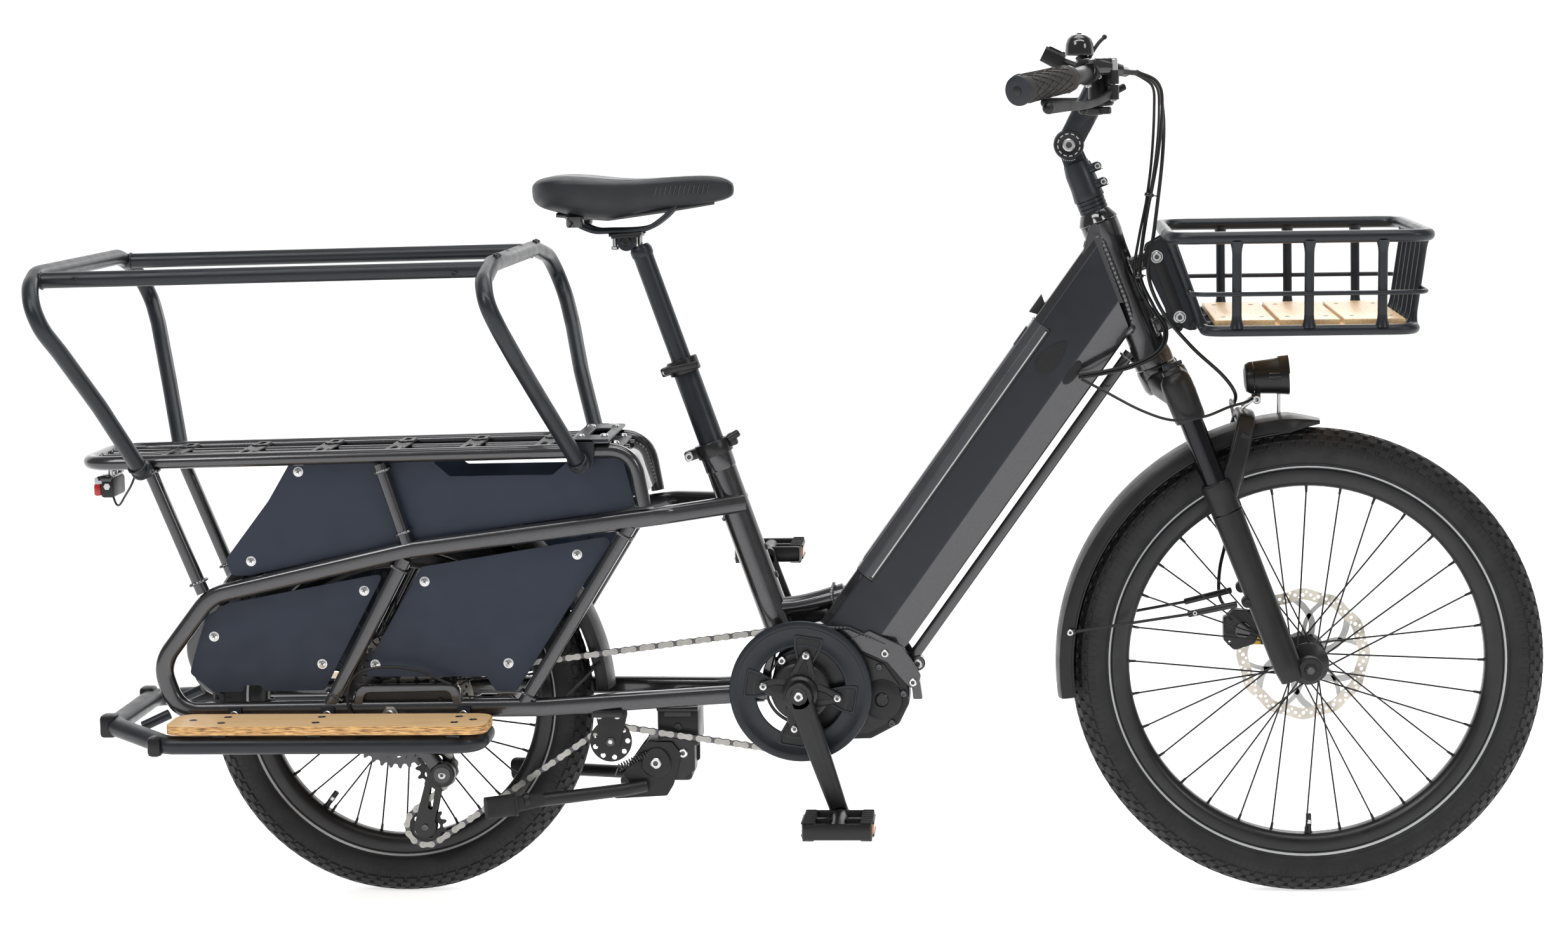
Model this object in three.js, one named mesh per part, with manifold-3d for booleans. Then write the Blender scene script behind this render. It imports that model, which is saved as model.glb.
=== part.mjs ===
// Long-tail electric cargo bicycle: frame, wheels, fork, drive, rack with seat rails, footboards and basket.
// Millimetres, +X to the front wheel, +Y to the rider's left, +Z up, ground at z = 0.
// Inside this file x = 0 is the rear axle; the finished group is moved so that its box is centred on the origin.
import * as THREE from "three";
import { mergeVertices } from "three/addons/utils/BufferGeometryUtils.js";
import Module from "manifold-3d";

const wasm = await Module();
wasm.setup();

// ---------------------------------------------------------------- driving dimensions
const CENTRE_X = 545.8; // middle of the whole length, seen from the rear axle
const GAP = 0.4; // between pieces that are welded or screwed together
const TYRE_WIDTH = 59;
const REAR = { x: 0, z: 262, tyre: 262, bead: 203 }; // 20 inch wheel
const FRONT = { x: 1221, z: 312.5, tyre: 312.5, bead: 253.5 }; // 24 inch wheel
const SPOKES = 32;
const FACETS = 24; // sides of the big wheels
const ROTOR_RADIUS = 90;
const HEAD_ANGLE = 69;
const HEAD_BASE = [1022, 710]; // lower end of the head tube
const HEAD_LENGTH = 204;
const SEAT_ANGLE = 70.9;
const SEAT_BASE = [517, 360];
const SEAT_LENGTH = 266;
const DOWN_ANGLE = 54.3;
const CRANK = { x: 547.5, z: 283, length: 170, angle: -71.6 };
const CHAIN_Y = -50;
const CHAIN_PITCH = 12.7;
const TEETH = { chainring: 42, sprocket: 18, pulley: 13, idler: 10 };
const GUIDE = [52, 178];
const TENSION = [36, 99];
const IDLER = [291, 216];
const TRUSS_Y = 85;
const RAIL_Y = 221; // seat rails
const DECK_Z = 606;
const PANEL_Y = [-74.6, -72.6];
const LEG_Y = 65; // fork legs
const LEG_AHEAD = 17; // fork legs in front of the steering axis
const KICK_PIVOT = [350, 184];
const GRIP_IN = [918, 213, 1092.5];
const GRIP_OUT = [845, 322, 1077];
const BRACKET_BOLTS = [[1024, 855], [1054, 775]];
const BAR_CLAMP = [957, 1092];
const STEM_PIVOT = [910, 1003];

// ---------------------------------------------------------------- looks
const LOOKS = {
  frame_paint: [0x3a3b3f, 0.35, 0.6],
  satin_tube: [0x1f232a, 0.45, 0.3],
  panel_sheet: [0x222832, 0.55, 0.2],
  black_plastic: [0x15161a, 0.5, 0.05],
  tyre_rubber: [0x1b1c1e, 0.85, 0],
  soft_rubber: [0x2c2a29, 0.8, 0],
  black_metal: [0x121317, 0.4, 0.5],
  bright_metal: [0xb9bcc0, 0.3, 1],
  chain_steel: [0x9a9c9f, 0.4, 1],
  bamboo: [0xc99a55, 0.5, 0],
  saddle_cover: [0x171a20, 0.6, 0],
  battery_case: [0x3f4248, 0.4, 0.4],
  lamp_lens: [0xb01818, 0.15, 0],
  hose: [0x0e0f11, 0.45, 0],
};

// ---------------------------------------------------------------- small tools
const radians = (degrees) => (degrees * Math.PI) / 180;
const V = (x, y, z) => new THREE.Vector3(x, y, z);
const flip = (p) => V(p.x, -p.y, p.z);
const side = ([x, z], y) => V(x, y, z);
const root = new THREE.Group();

// A straight axis in the middle plane: at(t, ahead, y) is the point t along it and "ahead" in front of it.
function axis([x, z], angle, forward) {
  const dir = V(forward * Math.cos(radians(angle)), 0, Math.sin(radians(angle)));
  const front = V(Math.abs(dir.z), 0, -Math.sign(dir.x) * Math.abs(dir.x));
  const base = V(x, 0, z);
  const at = (t, ahead = 0, y = 0) =>
    base.clone().addScaledVector(dir, t).addScaledVector(front, ahead).setY(y);
  return { dir, front, at };
}

const HEAD = axis(HEAD_BASE, HEAD_ANGLE, -1);
const SEAT = axis(SEAT_BASE, SEAT_ANGLE, -1);
const DOWN = axis([0, 0], DOWN_ANGLE, 1);

// A three.js geometry as a solid for booleans, faces out.
function solid(geometry) {
  const g = geometry.index ? geometry.toNonIndexed() : geometry.clone();
  g.deleteAttribute("normal");
  g.deleteAttribute("uv");
  const merged = mergeVertices(g, 1e-4);
  const kept = [];
  const index = merged.index.array;
  for (let i = 0; i < index.length; i += 3) {
    const [a, b, c] = [index[i], index[i + 1], index[i + 2]];
    if (a !== b && b !== c && c !== a) kept.push(a, b, c);
  }
  const build = (triVerts) =>
    new wasm.Manifold(
      new wasm.Mesh({ numProp: 3, vertProperties: merged.attributes.position.array, triVerts: new Uint32Array(triVerts) }),
    );
  const made = build(kept);
  return made.volume() < 0 ? build(kept.reverse()) : made;
}

const fuse = (...parts) => wasm.Manifold.union(parts.flat());
const carve = (body, ...tools) => body.subtract(fuse(...tools));
const mirrored = (body) => body.mirror([0, 1, 0]);
const both = (body) => fuse(body, mirrored(body));

function piece(name, body, look) {
  const out = body.asOriginal().simplify(0.2).getMesh();
  const geometry = new THREE.BufferGeometry();
  geometry.setAttribute("position", new THREE.BufferAttribute(out.vertProperties, 3));
  geometry.setIndex(new THREE.BufferAttribute(out.triVerts, 1));
  const flat = geometry.toNonIndexed();
  flat.computeVertexNormals();
  const [color, roughness, metalness] = LOOKS[look];
  const mesh = new THREE.Mesh(flat, new THREE.MeshStandardMaterial({ color, roughness, metalness }));
  mesh.name = name;
  root.add(mesh);
}

function pair(name, body, look) {
  piece(`${name}_right`, body, look);
  piece(`${name}_left`, mirrored(body), look);
}

// Skin over rings of equal length, closed by a flat end on each side or joined into a loop.
function loft(rings, closed = false) {
  const n = rings[0].length;
  const positions = rings.flat().flatMap((p) => [p.x, p.y, p.z]);
  const faces = [];
  const last = closed ? rings.length : rings.length - 1;
  for (let i = 0; i < last; i += 1) {
    const [a, b] = [i * n, ((i + 1) % rings.length) * n];
    for (let j = 0; j < n; j += 1) {
      const k = (j + 1) % n;
      faces.push(a + j, a + k, b + k, a + j, b + k, b + j);
    }
  }
  if (!closed) {
    const end = (rings.length - 1) * n;
    for (let j = 1; j < n - 1; j += 1) faces.push(0, j + 1, j, end, end + j, end + j + 1);
  }
  const geometry = new THREE.BufferGeometry();
  geometry.setAttribute("position", new THREE.Float32BufferAttribute(positions, 3));
  geometry.setIndex(faces);
  return solid(geometry);
}

const round = (r, n = 8) =>
  Array.from({ length: n }, (_, i) => [
    r * Math.cos((2 * Math.PI * (i + 0.5)) / n),
    r * Math.sin((2 * Math.PI * (i + 0.5)) / n),
  ]);
const slab = (w, h) => [[w / 2, h / 2], [-w / 2, h / 2], [-w / 2, -h / 2], [w / 2, -h / 2]];
const soft = (w, h, c) => [
  [w / 2, h / 2 - c], [w / 2 - c, h / 2], [c - w / 2, h / 2], [-w / 2, h / 2 - c],
  [-w / 2, c - h / 2], [c - w / 2, -h / 2], [w / 2 - c, -h / 2], [w / 2, c - h / 2],
];

// A section carried along a line of points. Its first coordinate stays as close to "across" as it can.
function sweep(points, section, { closed = false, across = V(0, 1, 0), scale = () => 1 } = {}) {
  const n = points.length;
  const start = points[1].clone().sub(points[0]).normalize();
  const carried = Math.abs(across.dot(start)) > 0.98 ? V(1, 0, 0) : across.clone();
  const rings = points.map((p, i) => {
    const before = closed ? points[(i + n - 1) % n] : points[Math.max(i - 1, 0)];
    const after = closed ? points[(i + 1) % n] : points[Math.min(i + 1, n - 1)];
    const into = p.clone().sub(before).normalize();
    const out = after.clone().sub(p).normalize();
    const along = into.clone().add(out).normalize();
    const bend = into.lengthSq() && out.lengthSq() ? Math.cos(into.angleTo(out) / 2) : 1;
    carried.addScaledVector(along, -carried.dot(along)).normalize();
    const up = along.clone().cross(carried);
    const turn = out.clone().sub(into);
    const k = scale(i / (n - 1));
    return section.map(([u, v]) => {
      const offset = carried.clone().multiplyScalar(u * k).addScaledVector(up, v * k);
      if (turn.lengthSq() > 1e-6 && bend > 0.5) {
        const t = turn.clone().normalize();
        offset.addScaledVector(t, offset.dot(t) * (1 / bend - 1));
      }
      return p.clone().add(offset);
    });
  });
  return loft(rings, closed);
}

// A line of corners with each corner rounded.
function rounded(points, radius, closed = false, steps = 2) {
  const n = points.length;
  const out = [];
  points.forEach((b, i) => {
    if (!closed && (i === 0 || i === n - 1)) {
      out.push(b.clone());
      return;
    }
    const u = points[(i + n - 1) % n].clone().sub(b);
    const w = points[(i + 1) % n].clone().sub(b);
    const cut = Math.min(radius / Math.tan(u.angleTo(w) / 2), 0.48 * u.length(), 0.48 * w.length());
    const start = b.clone().addScaledVector(u.normalize(), cut);
    const end = b.clone().addScaledVector(w.normalize(), cut);
    out.push(...new THREE.QuadraticBezierCurve3(start, b.clone(), end).getPoints(steps));
  });
  return out;
}

const rod = (a, b, r, n = 8, r2 = r) => sweep([a, b], round(r, n), { scale: (t) => 1 + (r2 / r - 1) * t });
const bar = (a, b, section, across) => sweep([a, b], section, { across });
const pin = ([x, z], y0, y1, r, n = 10) => rod(V(x, y0, z), V(x, y1, z), r, n);

function block([x0, x1], [y0, y1], [z0, z1]) {
  const g = new THREE.BoxGeometry(x1 - x0, y1 - y0, z1 - z0);
  return solid(g.translate((x0 + x1) / 2, (y0 + y1) / 2, (z0 + z1) / 2));
}

// An outline of [x, z] corners, corners rounded by "radius", as a plate between two values of y.
function plate(outline, [y0, y1], radius = 0, holes = []) {
  const corners = outline.map(([x, z]) => V(x, z, 0));
  const shape = new THREE.Shape(radius ? rounded(corners, radius, true, 2) : corners);
  shape.holes = holes.map(([x, z, r]) => new THREE.Path().absarc(x, z, r, 0, 2 * Math.PI, true));
  const g = new THREE.ExtrudeGeometry(shape, { depth: y1 - y0, bevelEnabled: false, curveSegments: 5 });
  return solid(g.rotateX(Math.PI / 2).translate(0, y1, 0));
}

// A profile of [radius, along] turned about an axis; it either ends on the axis or closes on itself.
function turned(profile, n, centre = V(0, 0, 0), direction = V(0, 1, 0)) {
  const points = profile.map(([r, t]) => new THREE.Vector2(r, t));
  if (profile[0][0] > 0) points.push(points[0].clone());
  const g = new THREE.LatheGeometry(points, n);
  g.applyQuaternion(new THREE.Quaternion().setFromUnitVectors(V(0, 1, 0), direction));
  return solid(g.translate(centre.x, centre.y, centre.z));
}

const polar = ({ x, z }, r, degrees, y = 0) =>
  V(x + r * Math.cos(radians(degrees)), y, z + r * Math.sin(radians(degrees)));
const ringOf = (count, make, first = 0) =>
  Array.from({ length: count }, (_, i) => make(first + (360 / count) * i, i));
const pitchRadius = (teeth) => (teeth * CHAIN_PITCH) / (2 * Math.PI);
const centreOf = ({ x, z }) => V(x, 0, z);

// ---------------------------------------------------------------- wheels
function tyre(wheel) {
  const wall = 4;
  const half = TYRE_WIDTH / 2;
  const middle = wheel.tyre - half;
  const from = -130;
  const arc = (r, a0, a1, steps) =>
    Array.from({ length: steps + 1 }, (_, i) => {
      const a = radians(a0 + ((a1 - a0) * i) / steps);
      return [middle + r * Math.cos(a), r * Math.sin(a)];
    });
  return turned(
    [
      [wheel.bead - 1.5, -12.6], [wheel.bead + 5.8, -12.6],
      ...arc(half, from, -from, 5),
      [wheel.bead + 5.8, 12.6], [wheel.bead - 1.5, 12.6], [wheel.bead - 1.5, 8.6],
      ...arc(half - wall, -from, from, 3),
      [wheel.bead - 1.5, -8.6],
    ],
    FACETS,
    centreOf(wheel),
  );
}

function rim({ x, z, bead }) {
  const half = [[bead + 4.6, 15.5], [bead + 4.6, 13.2], [bead - 5, 12.9]];
  const inner = [[bead - 18.4, 8], [bead - 8, 15.5]];
  const low = (p) => p.map(([r, y]) => [r, -y]);
  return turned([...half, ...low(half).reverse(), ...low(inner).reverse(), ...inner], FACETS, V(x, 0, z));
}

function spokes(wheel, flangeRadius, flangeY) {
  const reach = (wheel.bead - 18.4) * Math.cos(Math.PI / FACETS) - 1;
  const crossing = 32;
  return ringOf(SPOKES, (a, i) => {
    const left = i % 2 ? 1 : -1;
    const lean = i % 4 < 2 ? crossing : -crossing;
    const hub = polar(wheel, flangeRadius, a + lean, left * (flangeY + (lean > 0 ? 1.3 : -1.3)));
    return rod(hub, polar(wheel, reach, a, left * 3), 1.2, 3);
  });
}

function rotor(wheel, y, bore) {
  const ring = turned([[ROTOR_RADIUS, y], [ROTOR_RADIUS, y + 1.8], [72, y + 1.8], [72, y]], 20, centreOf(wheel));
  const hub = turned([[32, y], [32, y + 1.8], [bore, y + 1.8], [bore, y]], 12, centreOf(wheel));
  const arms = ringOf(5, (a) =>
    bar(polar(wheel, 29, a, y + 0.9), polar(wheel, 75, a + 24, y + 0.9), slab(1.8, 7)),
  );
  return fuse(ring, hub, arms);
}

function rearWheel() {
  piece("rear_tyre", tyre(REAR), "tyre_rubber");
  piece("rear_rim", rim(REAR), "black_metal");
  const hub = turned(
    [
      [8, -73.4], [11, -73.4], [11, -34], [30, -28], [30, -24], [16, -20],
      [16, 20], [30, 24], [30, 28], [20, 32], [20, 44], [11, 44], [11, 73.4], [8, 73.4],
    ],
    12,
    centreOf(REAR),
  );
  piece("rear_hub", fuse(hub, spokes(REAR, 27, 26)), "black_metal");
  piece("rear_rotor", rotor(REAR, 40.5, 21.6), "bright_metal");
}

function frontWheel() {
  piece("front_tyre", tyre(FRONT), "tyre_rubber");
  piece("front_rim", rim(FRONT), "black_metal");
  const hub = turned(
    [
      [8.2, -53.5], [12, -53.5], [12, -36], [28, -32], [28, -28], [16, -24],
      [16, 24], [28, 28], [28, 32], [20, 36], [20, 48], [12, 48], [12, 53.5], [8.2, 53.5],
    ],
    12,
    centreOf(FRONT),
  );
  piece("front_hub", fuse(hub, spokes(FRONT, 25, 30)), "black_metal");
  piece("front_rotor", rotor(FRONT, 45, 21.6), "bright_metal");
}

// ---------------------------------------------------------------- frame
const DOWN_RANGE = [600, 1300];
const SLOT = { t: [722, 1134], cover: 274, core: 335, half: 31 };
const DOWN_SECTION = [[-24, 248.4], [24, 248.4], [35, 260], [38, 324], [22, 362], [-22, 362], [-38, 324], [-35, 260]];

// A block in the down tube's own directions: along the tube, across it, and below its top line.
function downBlock([t0, t1], half, [s0, s1]) {
  const mid = (s0 + s1) / 2;
  return bar(DOWN.at(t0, mid), DOWN.at(t1, mid), slab(2 * half, s1 - s0), V(0, 1, 0));
}

function downTube([t0, t1] = DOWN_RANGE) {
  const ring = (t) => DOWN_SECTION.map(([y, s]) => DOWN.at(t, s, y));
  return loft([ring(t0), ring(t1)]);
}

const MOTOR = [
  [508, 296], [516, 328], [556, 350], [604, 350], [668, 321], [690, 290], [692, 262], [678, 234],
  [640, 214], [600, 213], [556, 232], [522, 252],
];
const CRADLE_IN = [[503, 270], [505, 298], [513, 332], [556, 353], [606, 353], [670, 324], [695, 291], [697, 270]];
const CRADLE_OUT = [[708, 270], [706, 296], [679, 333], [612, 366], [552, 366], [505, 341], [494, 300], [494, 270]];

function mainFrame() {
  const head = turned(
    [[18, 0], [27, 0], [27, 12], [23.5, 32], [23.5, 172], [25.5, 190], [25.5, HEAD_LENGTH], [18, HEAD_LENGTH]],
    12, HEAD.at(0), HEAD.dir,
  );
  const bore = rod(HEAD.at(-5), HEAD.at(HEAD_LENGTH + 5), 18, 10);
  const beyondHead = bar(HEAD.at(-200, 160), HEAD.at(500, 160), slab(200, 340), V(0, 1, 0));
  const end = V(0.924, 0, -0.383);
  const seam = V(575, 0, 371);
  const belowTube = bar(
    seam.clone().addScaledVector(end, -250).add(V(-57, 0, -138)),
    seam.clone().addScaledVector(end, 250).add(V(-57, 0, -138)),
    slab(200, 300), V(0, 1, 0),
  );
  const slot = [
    downBlock(SLOT.t, 60, [200, SLOT.cover]),
    downBlock(SLOT.t, SLOT.half, [260, SLOT.core]),
  ];
  const port = rod(DOWN.at(1097, 334, -60), DOWN.at(1097, 334, -27), 9, 8);
  const tube = carve(downTube(), beyondHead, belowTube, slot, port);
  const cradle = plate([...CRADLE_IN, ...CRADLE_OUT], [-40, 40]);
  const seatTube = rod(SEAT.at(-22), SEAT.at(SEAT_LENGTH), 20.5, 10);
  const collar = rod(SEAT.at(252), SEAT.at(SEAT_LENGTH + 3), 24.5, 10);
  const ear = fuse(
    bar(SEAT.at(260, -20), SEAT.at(260, -38), slab(22, 15), V(0, 1, 0)),
    rod(SEAT.at(260, -33, -16), SEAT.at(260, -33, 16), 4.5, 8),
  );
  const gusset = rod(V(508, 0, 386), V(602, 0, 405), 16, 8);
  const brace = bar(DOWN.at(664, 379), DOWN.at(1168, 379), slab(18, 15), V(0, 1, 0));
  const braceFoot = rod(V(703, -12, 312), V(703, 12, 312), 10, 8);
  const lug = (t, reach) => bar(HEAD.at(t, 18), HEAD.at(t, reach), slab(40, 22), V(0, 1, 0));
  const lugs = BRACKET_BOLTS.map(([x, z]) => {
    const t = V(x - HEAD_BASE[0], 0, z - HEAD_BASE[1]);
    return lug(t.dot(HEAD.dir), t.dot(HEAD.front) + 9);
  });
  const postBore = rod(SEAT.at(30), SEAT.at(SEAT_LENGTH + 8), 18.2, 10);
  const bolts = BRACKET_BOLTS.map((p) => pin(p, -30, 30, 4.8, 6));
  const body = fuse(head, tube, cradle, seatTube, collar, ear, gusset, brace, braceFoot, lugs);
  piece("main_frame", carve(body, bore, postBore, bolts), "frame_paint");

  const motor = fuse(plate(MOTOR, [-36, 36]), pin([CRANK.x, CRANK.z], -44, 44, 42, 16));
  piece("motor_unit", carve(motor, pin([CRANK.x, CRANK.z], -60, 60, 13, 16)), "black_plastic");

  const t = [SLOT.t[0] + 1, SLOT.t[1] - 1];
  const cover = downTube(t).intersect(downBlock(t, 60, [200, SLOT.cover - 0.6]));
  const core = downBlock([t[0] + 1, t[1] - 1], SLOT.half - 1, [262, SLOT.core - 1]);
  piece("battery", fuse(cover, core), "battery_case");
}

// Right-hand side frame of the long tail: a loop of box tube with three braces, a strut and the axle plate.
const STAY = [
  V(470, -6, 531), V(372, -TRUSS_Y, 525), V(33, -TRUSS_Y, 482), V(-240, -TRUSS_Y, 421),
  V(-312, -TRUSS_Y, 328), V(-290, -TRUSS_Y, 264), V(201, -TRUSS_Y, 268), V(430, -37, 274), V(492.6, -34, 277),
];
const BRACES = [
  [V(-6, -TRUSS_Y, 597), V(28, -TRUSS_Y, 490), 16],
  [V(24, -TRUSS_Y, 470), V(-82, -TRUSS_Y, 272), 20],
  [V(327, -TRUSS_Y, 512), V(178, -TRUSS_Y, 272), 18],
  [V(-318, -TRUSS_Y, 596), V(-250, -TRUSS_Y, 425), 17],
];
const DECK_RAIL = [V(346, -TRUSS_Y, 538), V(333, -TRUSS_Y, 613), V(-407, -TRUSS_Y, 600)];
const deckLoop = (r) => sweep(rounded([...DECK_RAIL, ...DECK_RAIL.map(flip).reverse()], 48), round(r, 8));

function truss() {
  const loop = sweep(rounded(STAY, 46), soft(20, 24, 5));
  const braces = BRACES.map(([a, b, w]) => bar(a, b, slab(18, w), V(0, 1, 0)));
  const dropout = plate([[-52, 254], [-44, 298], [90, 300], [100, 254]], [-94, -76], 12);
  const axle = fuse(pin([REAR.x, REAR.z], -80, -0.3, 7.2), pin([REAR.x, REAR.z], -102, -90, 10, 6));
  const inner = pin([REAR.x, REAR.z], -77, -73.8, 13);
  const seatTube = rod(SEAT.at(-22), SEAT.at(SEAT_LENGTH - 10), 20.5 + GAP, 10);
  return carve(fuse(loop, braces, dropout, axle, inner), deckLoop(9.5 + GAP), seatTube);
}

function trusses() {
  const bracket = fuse(
    plate([[262, 258], [318, 258], [300, 206], [282, 206]], [-61, -58], 4),
    pin(IDLER, -61, -46, 4, 8),
    block([276, 306], [-79, -58], [252, 262]),
  );
  piece("rear_truss_right", fuse(truss(), bracket), "frame_paint");
  const caliper = carve(
    fuse(
      block([34, 92], [34, 52], [300, 352]),
      block([66, 90], [46, 78], [278, 304]),
    ),
    block([20, 82], [39.5, 43.3], [270, 380]),
  );
  piece("rear_truss_left", fuse(mirrored(truss()), caliper), "frame_paint");
}

function rack() {
  const slats = Array.from({ length: 6 }, (_, i) => {
    const x = -297 + 101 * i;
    const z = DECK_Z + 4 + (x * 13) / 740;
    return block([x - 11, x + 11], [-TRUSS_Y + 2, TRUSS_Y - 2], [z - 3, z]);
  });
  const inner = both(rod(V(-405, -28, 600), V(322, -28, 608), 6, 8));
  const web = sweep([V(306, 0, 606), V(326, 0, 596), V(343, 0, 556)], slab(138, 4));
  piece("rack_deck", fuse(deckLoop(9.5), slats, inner, web), "frame_paint");
}

const PANELS = {
  upper_panel: {
    outline: [
      [-213, 446], [-221, 468], [-160, 547], [-128, 600], [60, 600], [86, 578], [224, 579], [249, 601], [318, 601],
      [334, 534], [30, 492], [-190, 446],
    ],
    screws: [[-118, 586], [-186, 466]],
  },
  rear_panel: {
    outline: [
      [-220, 409], [-6, 449], [-92, 290], [-176, 289], [-178, 297], [-202, 297], [-204, 288], [-244, 288],
      [-275, 314], [-266, 345], [-250, 392],
    ],
    screws: [[-34, 425], [-240, 364], [-94, 326]],
  },
  front_panel: {
    outline: [[44, 457], [292, 496], [298, 488], [168, 288], [140, 288], [128, 308], [-32, 308], [-38, 318]],
    screws: [[48, 437], [254, 472], [-22, 325], [158, 326]],
  },
};

function panels() {
  Object.entries(PANELS).forEach(([name, { outline, screws }]) => {
    const heads = screws.map((p) => pin(p, PANEL_Y[0] - 2, PANEL_Y[0] + 1, 5, 6));
    pair(name, fuse(plate(outline, PANEL_Y, 6), heads), "panel_sheet");
  });
}

// ---------------------------------------------------------------- passenger rails
const FRONT_HOOP = [V(264, -110, 598), V(228, -206, 693), V(209, -274, 750), V(194, -313, 792), V(181, -322, 824), V(173, -294, 850), V(168, -190, 866)];
const REAR_HOOP = [V(-322, -110, 594), V(-354, -182, 686), V(-384, -250, 763), V(-399, -277, 795), V(-411, -274, 823), V(-420, -250, 847), V(-425, -200, 861)];
const hoop = (points, r) => sweep(rounded([...points, ...points.map(flip).reverse()], 30), round(r, 8), { across: V(1, 0, 0) });

function rails() {
  const tabs = both(fuse(
    block([246, 282], [-100, -96], [586, 628]),
    pin([264, 598], -112, -96, 13, 12),
  ));
  const top = carve(
    block([250, 302], [-100, 100], [624.5, 628.5]),
    block([270, 290], [-40, 40], [620, 632]),
  );
  const bolts = [[260, 56], [294, 38]].map(([x, y]) => both(rod(V(x, y, 626), V(x, y, 633), 5, 6)));
  piece("rail_front_hoop", fuse(hoop(FRONT_HOOP, 11), tabs, top, bolts), "satin_tube");
  const sides = both(rod(V(-424, -RAIL_Y, 854), V(162, -RAIL_Y + 4, 861), 10.5, 8));
  const feet = both(pin([-322, 594], -116, -96, 13, 12));
  piece("rail_rear_hoop", carve(fuse(hoop(REAR_HOOP, 11), sides, feet), hoop(FRONT_HOOP, 11 + GAP)), "satin_tube");
}

// ---------------------------------------------------------------- footboards and tail bumper
const BOARD = { x: [-282, 144], y: [112, 202], z: [253.5, 265.5] };

function footboards() {
  const z = 238;
  const half = [V(128, -104, z), V(128, -184, z), V(-282, -186, z), V(-374, -104, z + 10)];
  const loop = sweep(rounded([...half, ...half.map(flip).reverse()], 32), soft(24, 28, 7), { across: V(0, 0, 1) });
  const arms = [-210, -84, 100].map((x) =>
    both(fuse(
      bar(V(x, -190, z + 12), V(x, -98, z + 12), slab(16, 6), V(1, 0, 0)),
      block([x - 8, x + 8], [-101, -98 + GAP], [z + 9, 272]),
    )),
  );
  const stops = both(fuse(
    block([-392, -368], [-120, -88], [z - 8, z + 30]),
    block([-306, -286], [-206, -176], [z - 16, z + 14]),
  ));
  piece("footboard_frame", fuse(loop, arms, stops), "satin_tube");
  const [[x0, x1], [y0, y1], [z0, z1]] = [BOARD.x, BOARD.y, BOARD.z];
  const outline = rounded([V(x0, -y1, 0), V(x1, -y1, 0), V(x1, -y0, 0), V(x0, -y0, 0)], 26, true);
  const board = new THREE.ExtrudeGeometry(new THREE.Shape(outline), { depth: z1 - z0, bevelEnabled: false });
  pair("footboard", solid(board.translate(0, 0, z0)), "bamboo");
}

// ---------------------------------------------------------------- mudguards and lights
function guard(wheel, radius, from, to, half, steps) {
  const arc = (a0, a1, r) =>
    Array.from({ length: steps + 1 }, (_, i) => polar(wheel, r, a0 + ((a1 - a0) * i) / steps));
  const outer = sweep(arc(from, to, radius - 6), [[half, 7], [half - 9, 14], [9 - half, 14], [-half, 7], [-half, -3], [half, -3]]
    .map(([u, v]) => [u, -v + 6]));
  const inner = sweep(arc(from - 4, to + 4, radius - 6), [[half - 2.5, 6], [half - 10, 11.5], [10 - half, 11.5], [2.5 - half, 6], [2.5 - half, -30], [half - 2.5, -30]]
    .map(([u, v]) => [u, -v + 6]));
  return carve(outer, inner);
}

function mudguards() {
  const rear = guard(REAR, 286, 4, 150, 36, 12);
  const strap = block([-4, 14], [-12, 12], [548.5, 605.5]);
  piece("rear_mudguard", fuse(rear, strap), "black_plastic");
  const front = guard(FRONT, 329, 86, 189, 37, 10);
  const stays = both(fuse(
    rod(V(909, -35.5, 358), V(1066, -52, 384), 2.2, 6),
    rod(V(1064, -52, 384), V(1126, -60, 398), 4.5, 8),
  ));
  piece("front_mudguard", fuse(front, stays), "black_plastic");
}

function headlight() {
  const body = turned([[0, -30], [21, -28], [24, -10], [26, 26], [0, 28]], 16, V(1169, 0, 693), V(0.998, 0, 0.06));
  const foot = rod(V(1185, 0, 675), V(1185, 0, 643.5), 2.6, 8);
  const eye = pin([1155, 664], -17, 17, 5, 8);
  const neck = rod(V(1155, 0, 664), V(1160, 0, 680), 6, 8);
  const wires = both(rod(V(1155, -15, 664), V(1136, -15, 652.4), 2.2, 6));
  piece("headlight", fuse(body, foot, eye, neck, wires), "black_plastic");
}

function rearLight() {
  const body = block([-408, -380], [-30, 30], [546, 574]);
  const bracket = block([-394, -386], [-9, 9], [570, 592]);
  const lens = block([-412, -406], [-22, 22], [548, 566]);
  const wire = sweep(
    rounded([V(-384, -20, 548), V(-380, -24, 536), V(-362, -44, 552), V(-342, -66, 577), V(-338, -70, 585)], 8),
    round(1.8, 6),
  );
  piece("rear_light", fuse(body, bracket, lens, wire), "lamp_lens");
}

// ---------------------------------------------------------------- front fork
const leg = (z) => HEAD.at((z - 710 - LEG_AHEAD * HEAD.front.z) / HEAD.dir.z, LEG_AHEAD, -LEG_Y);

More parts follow.
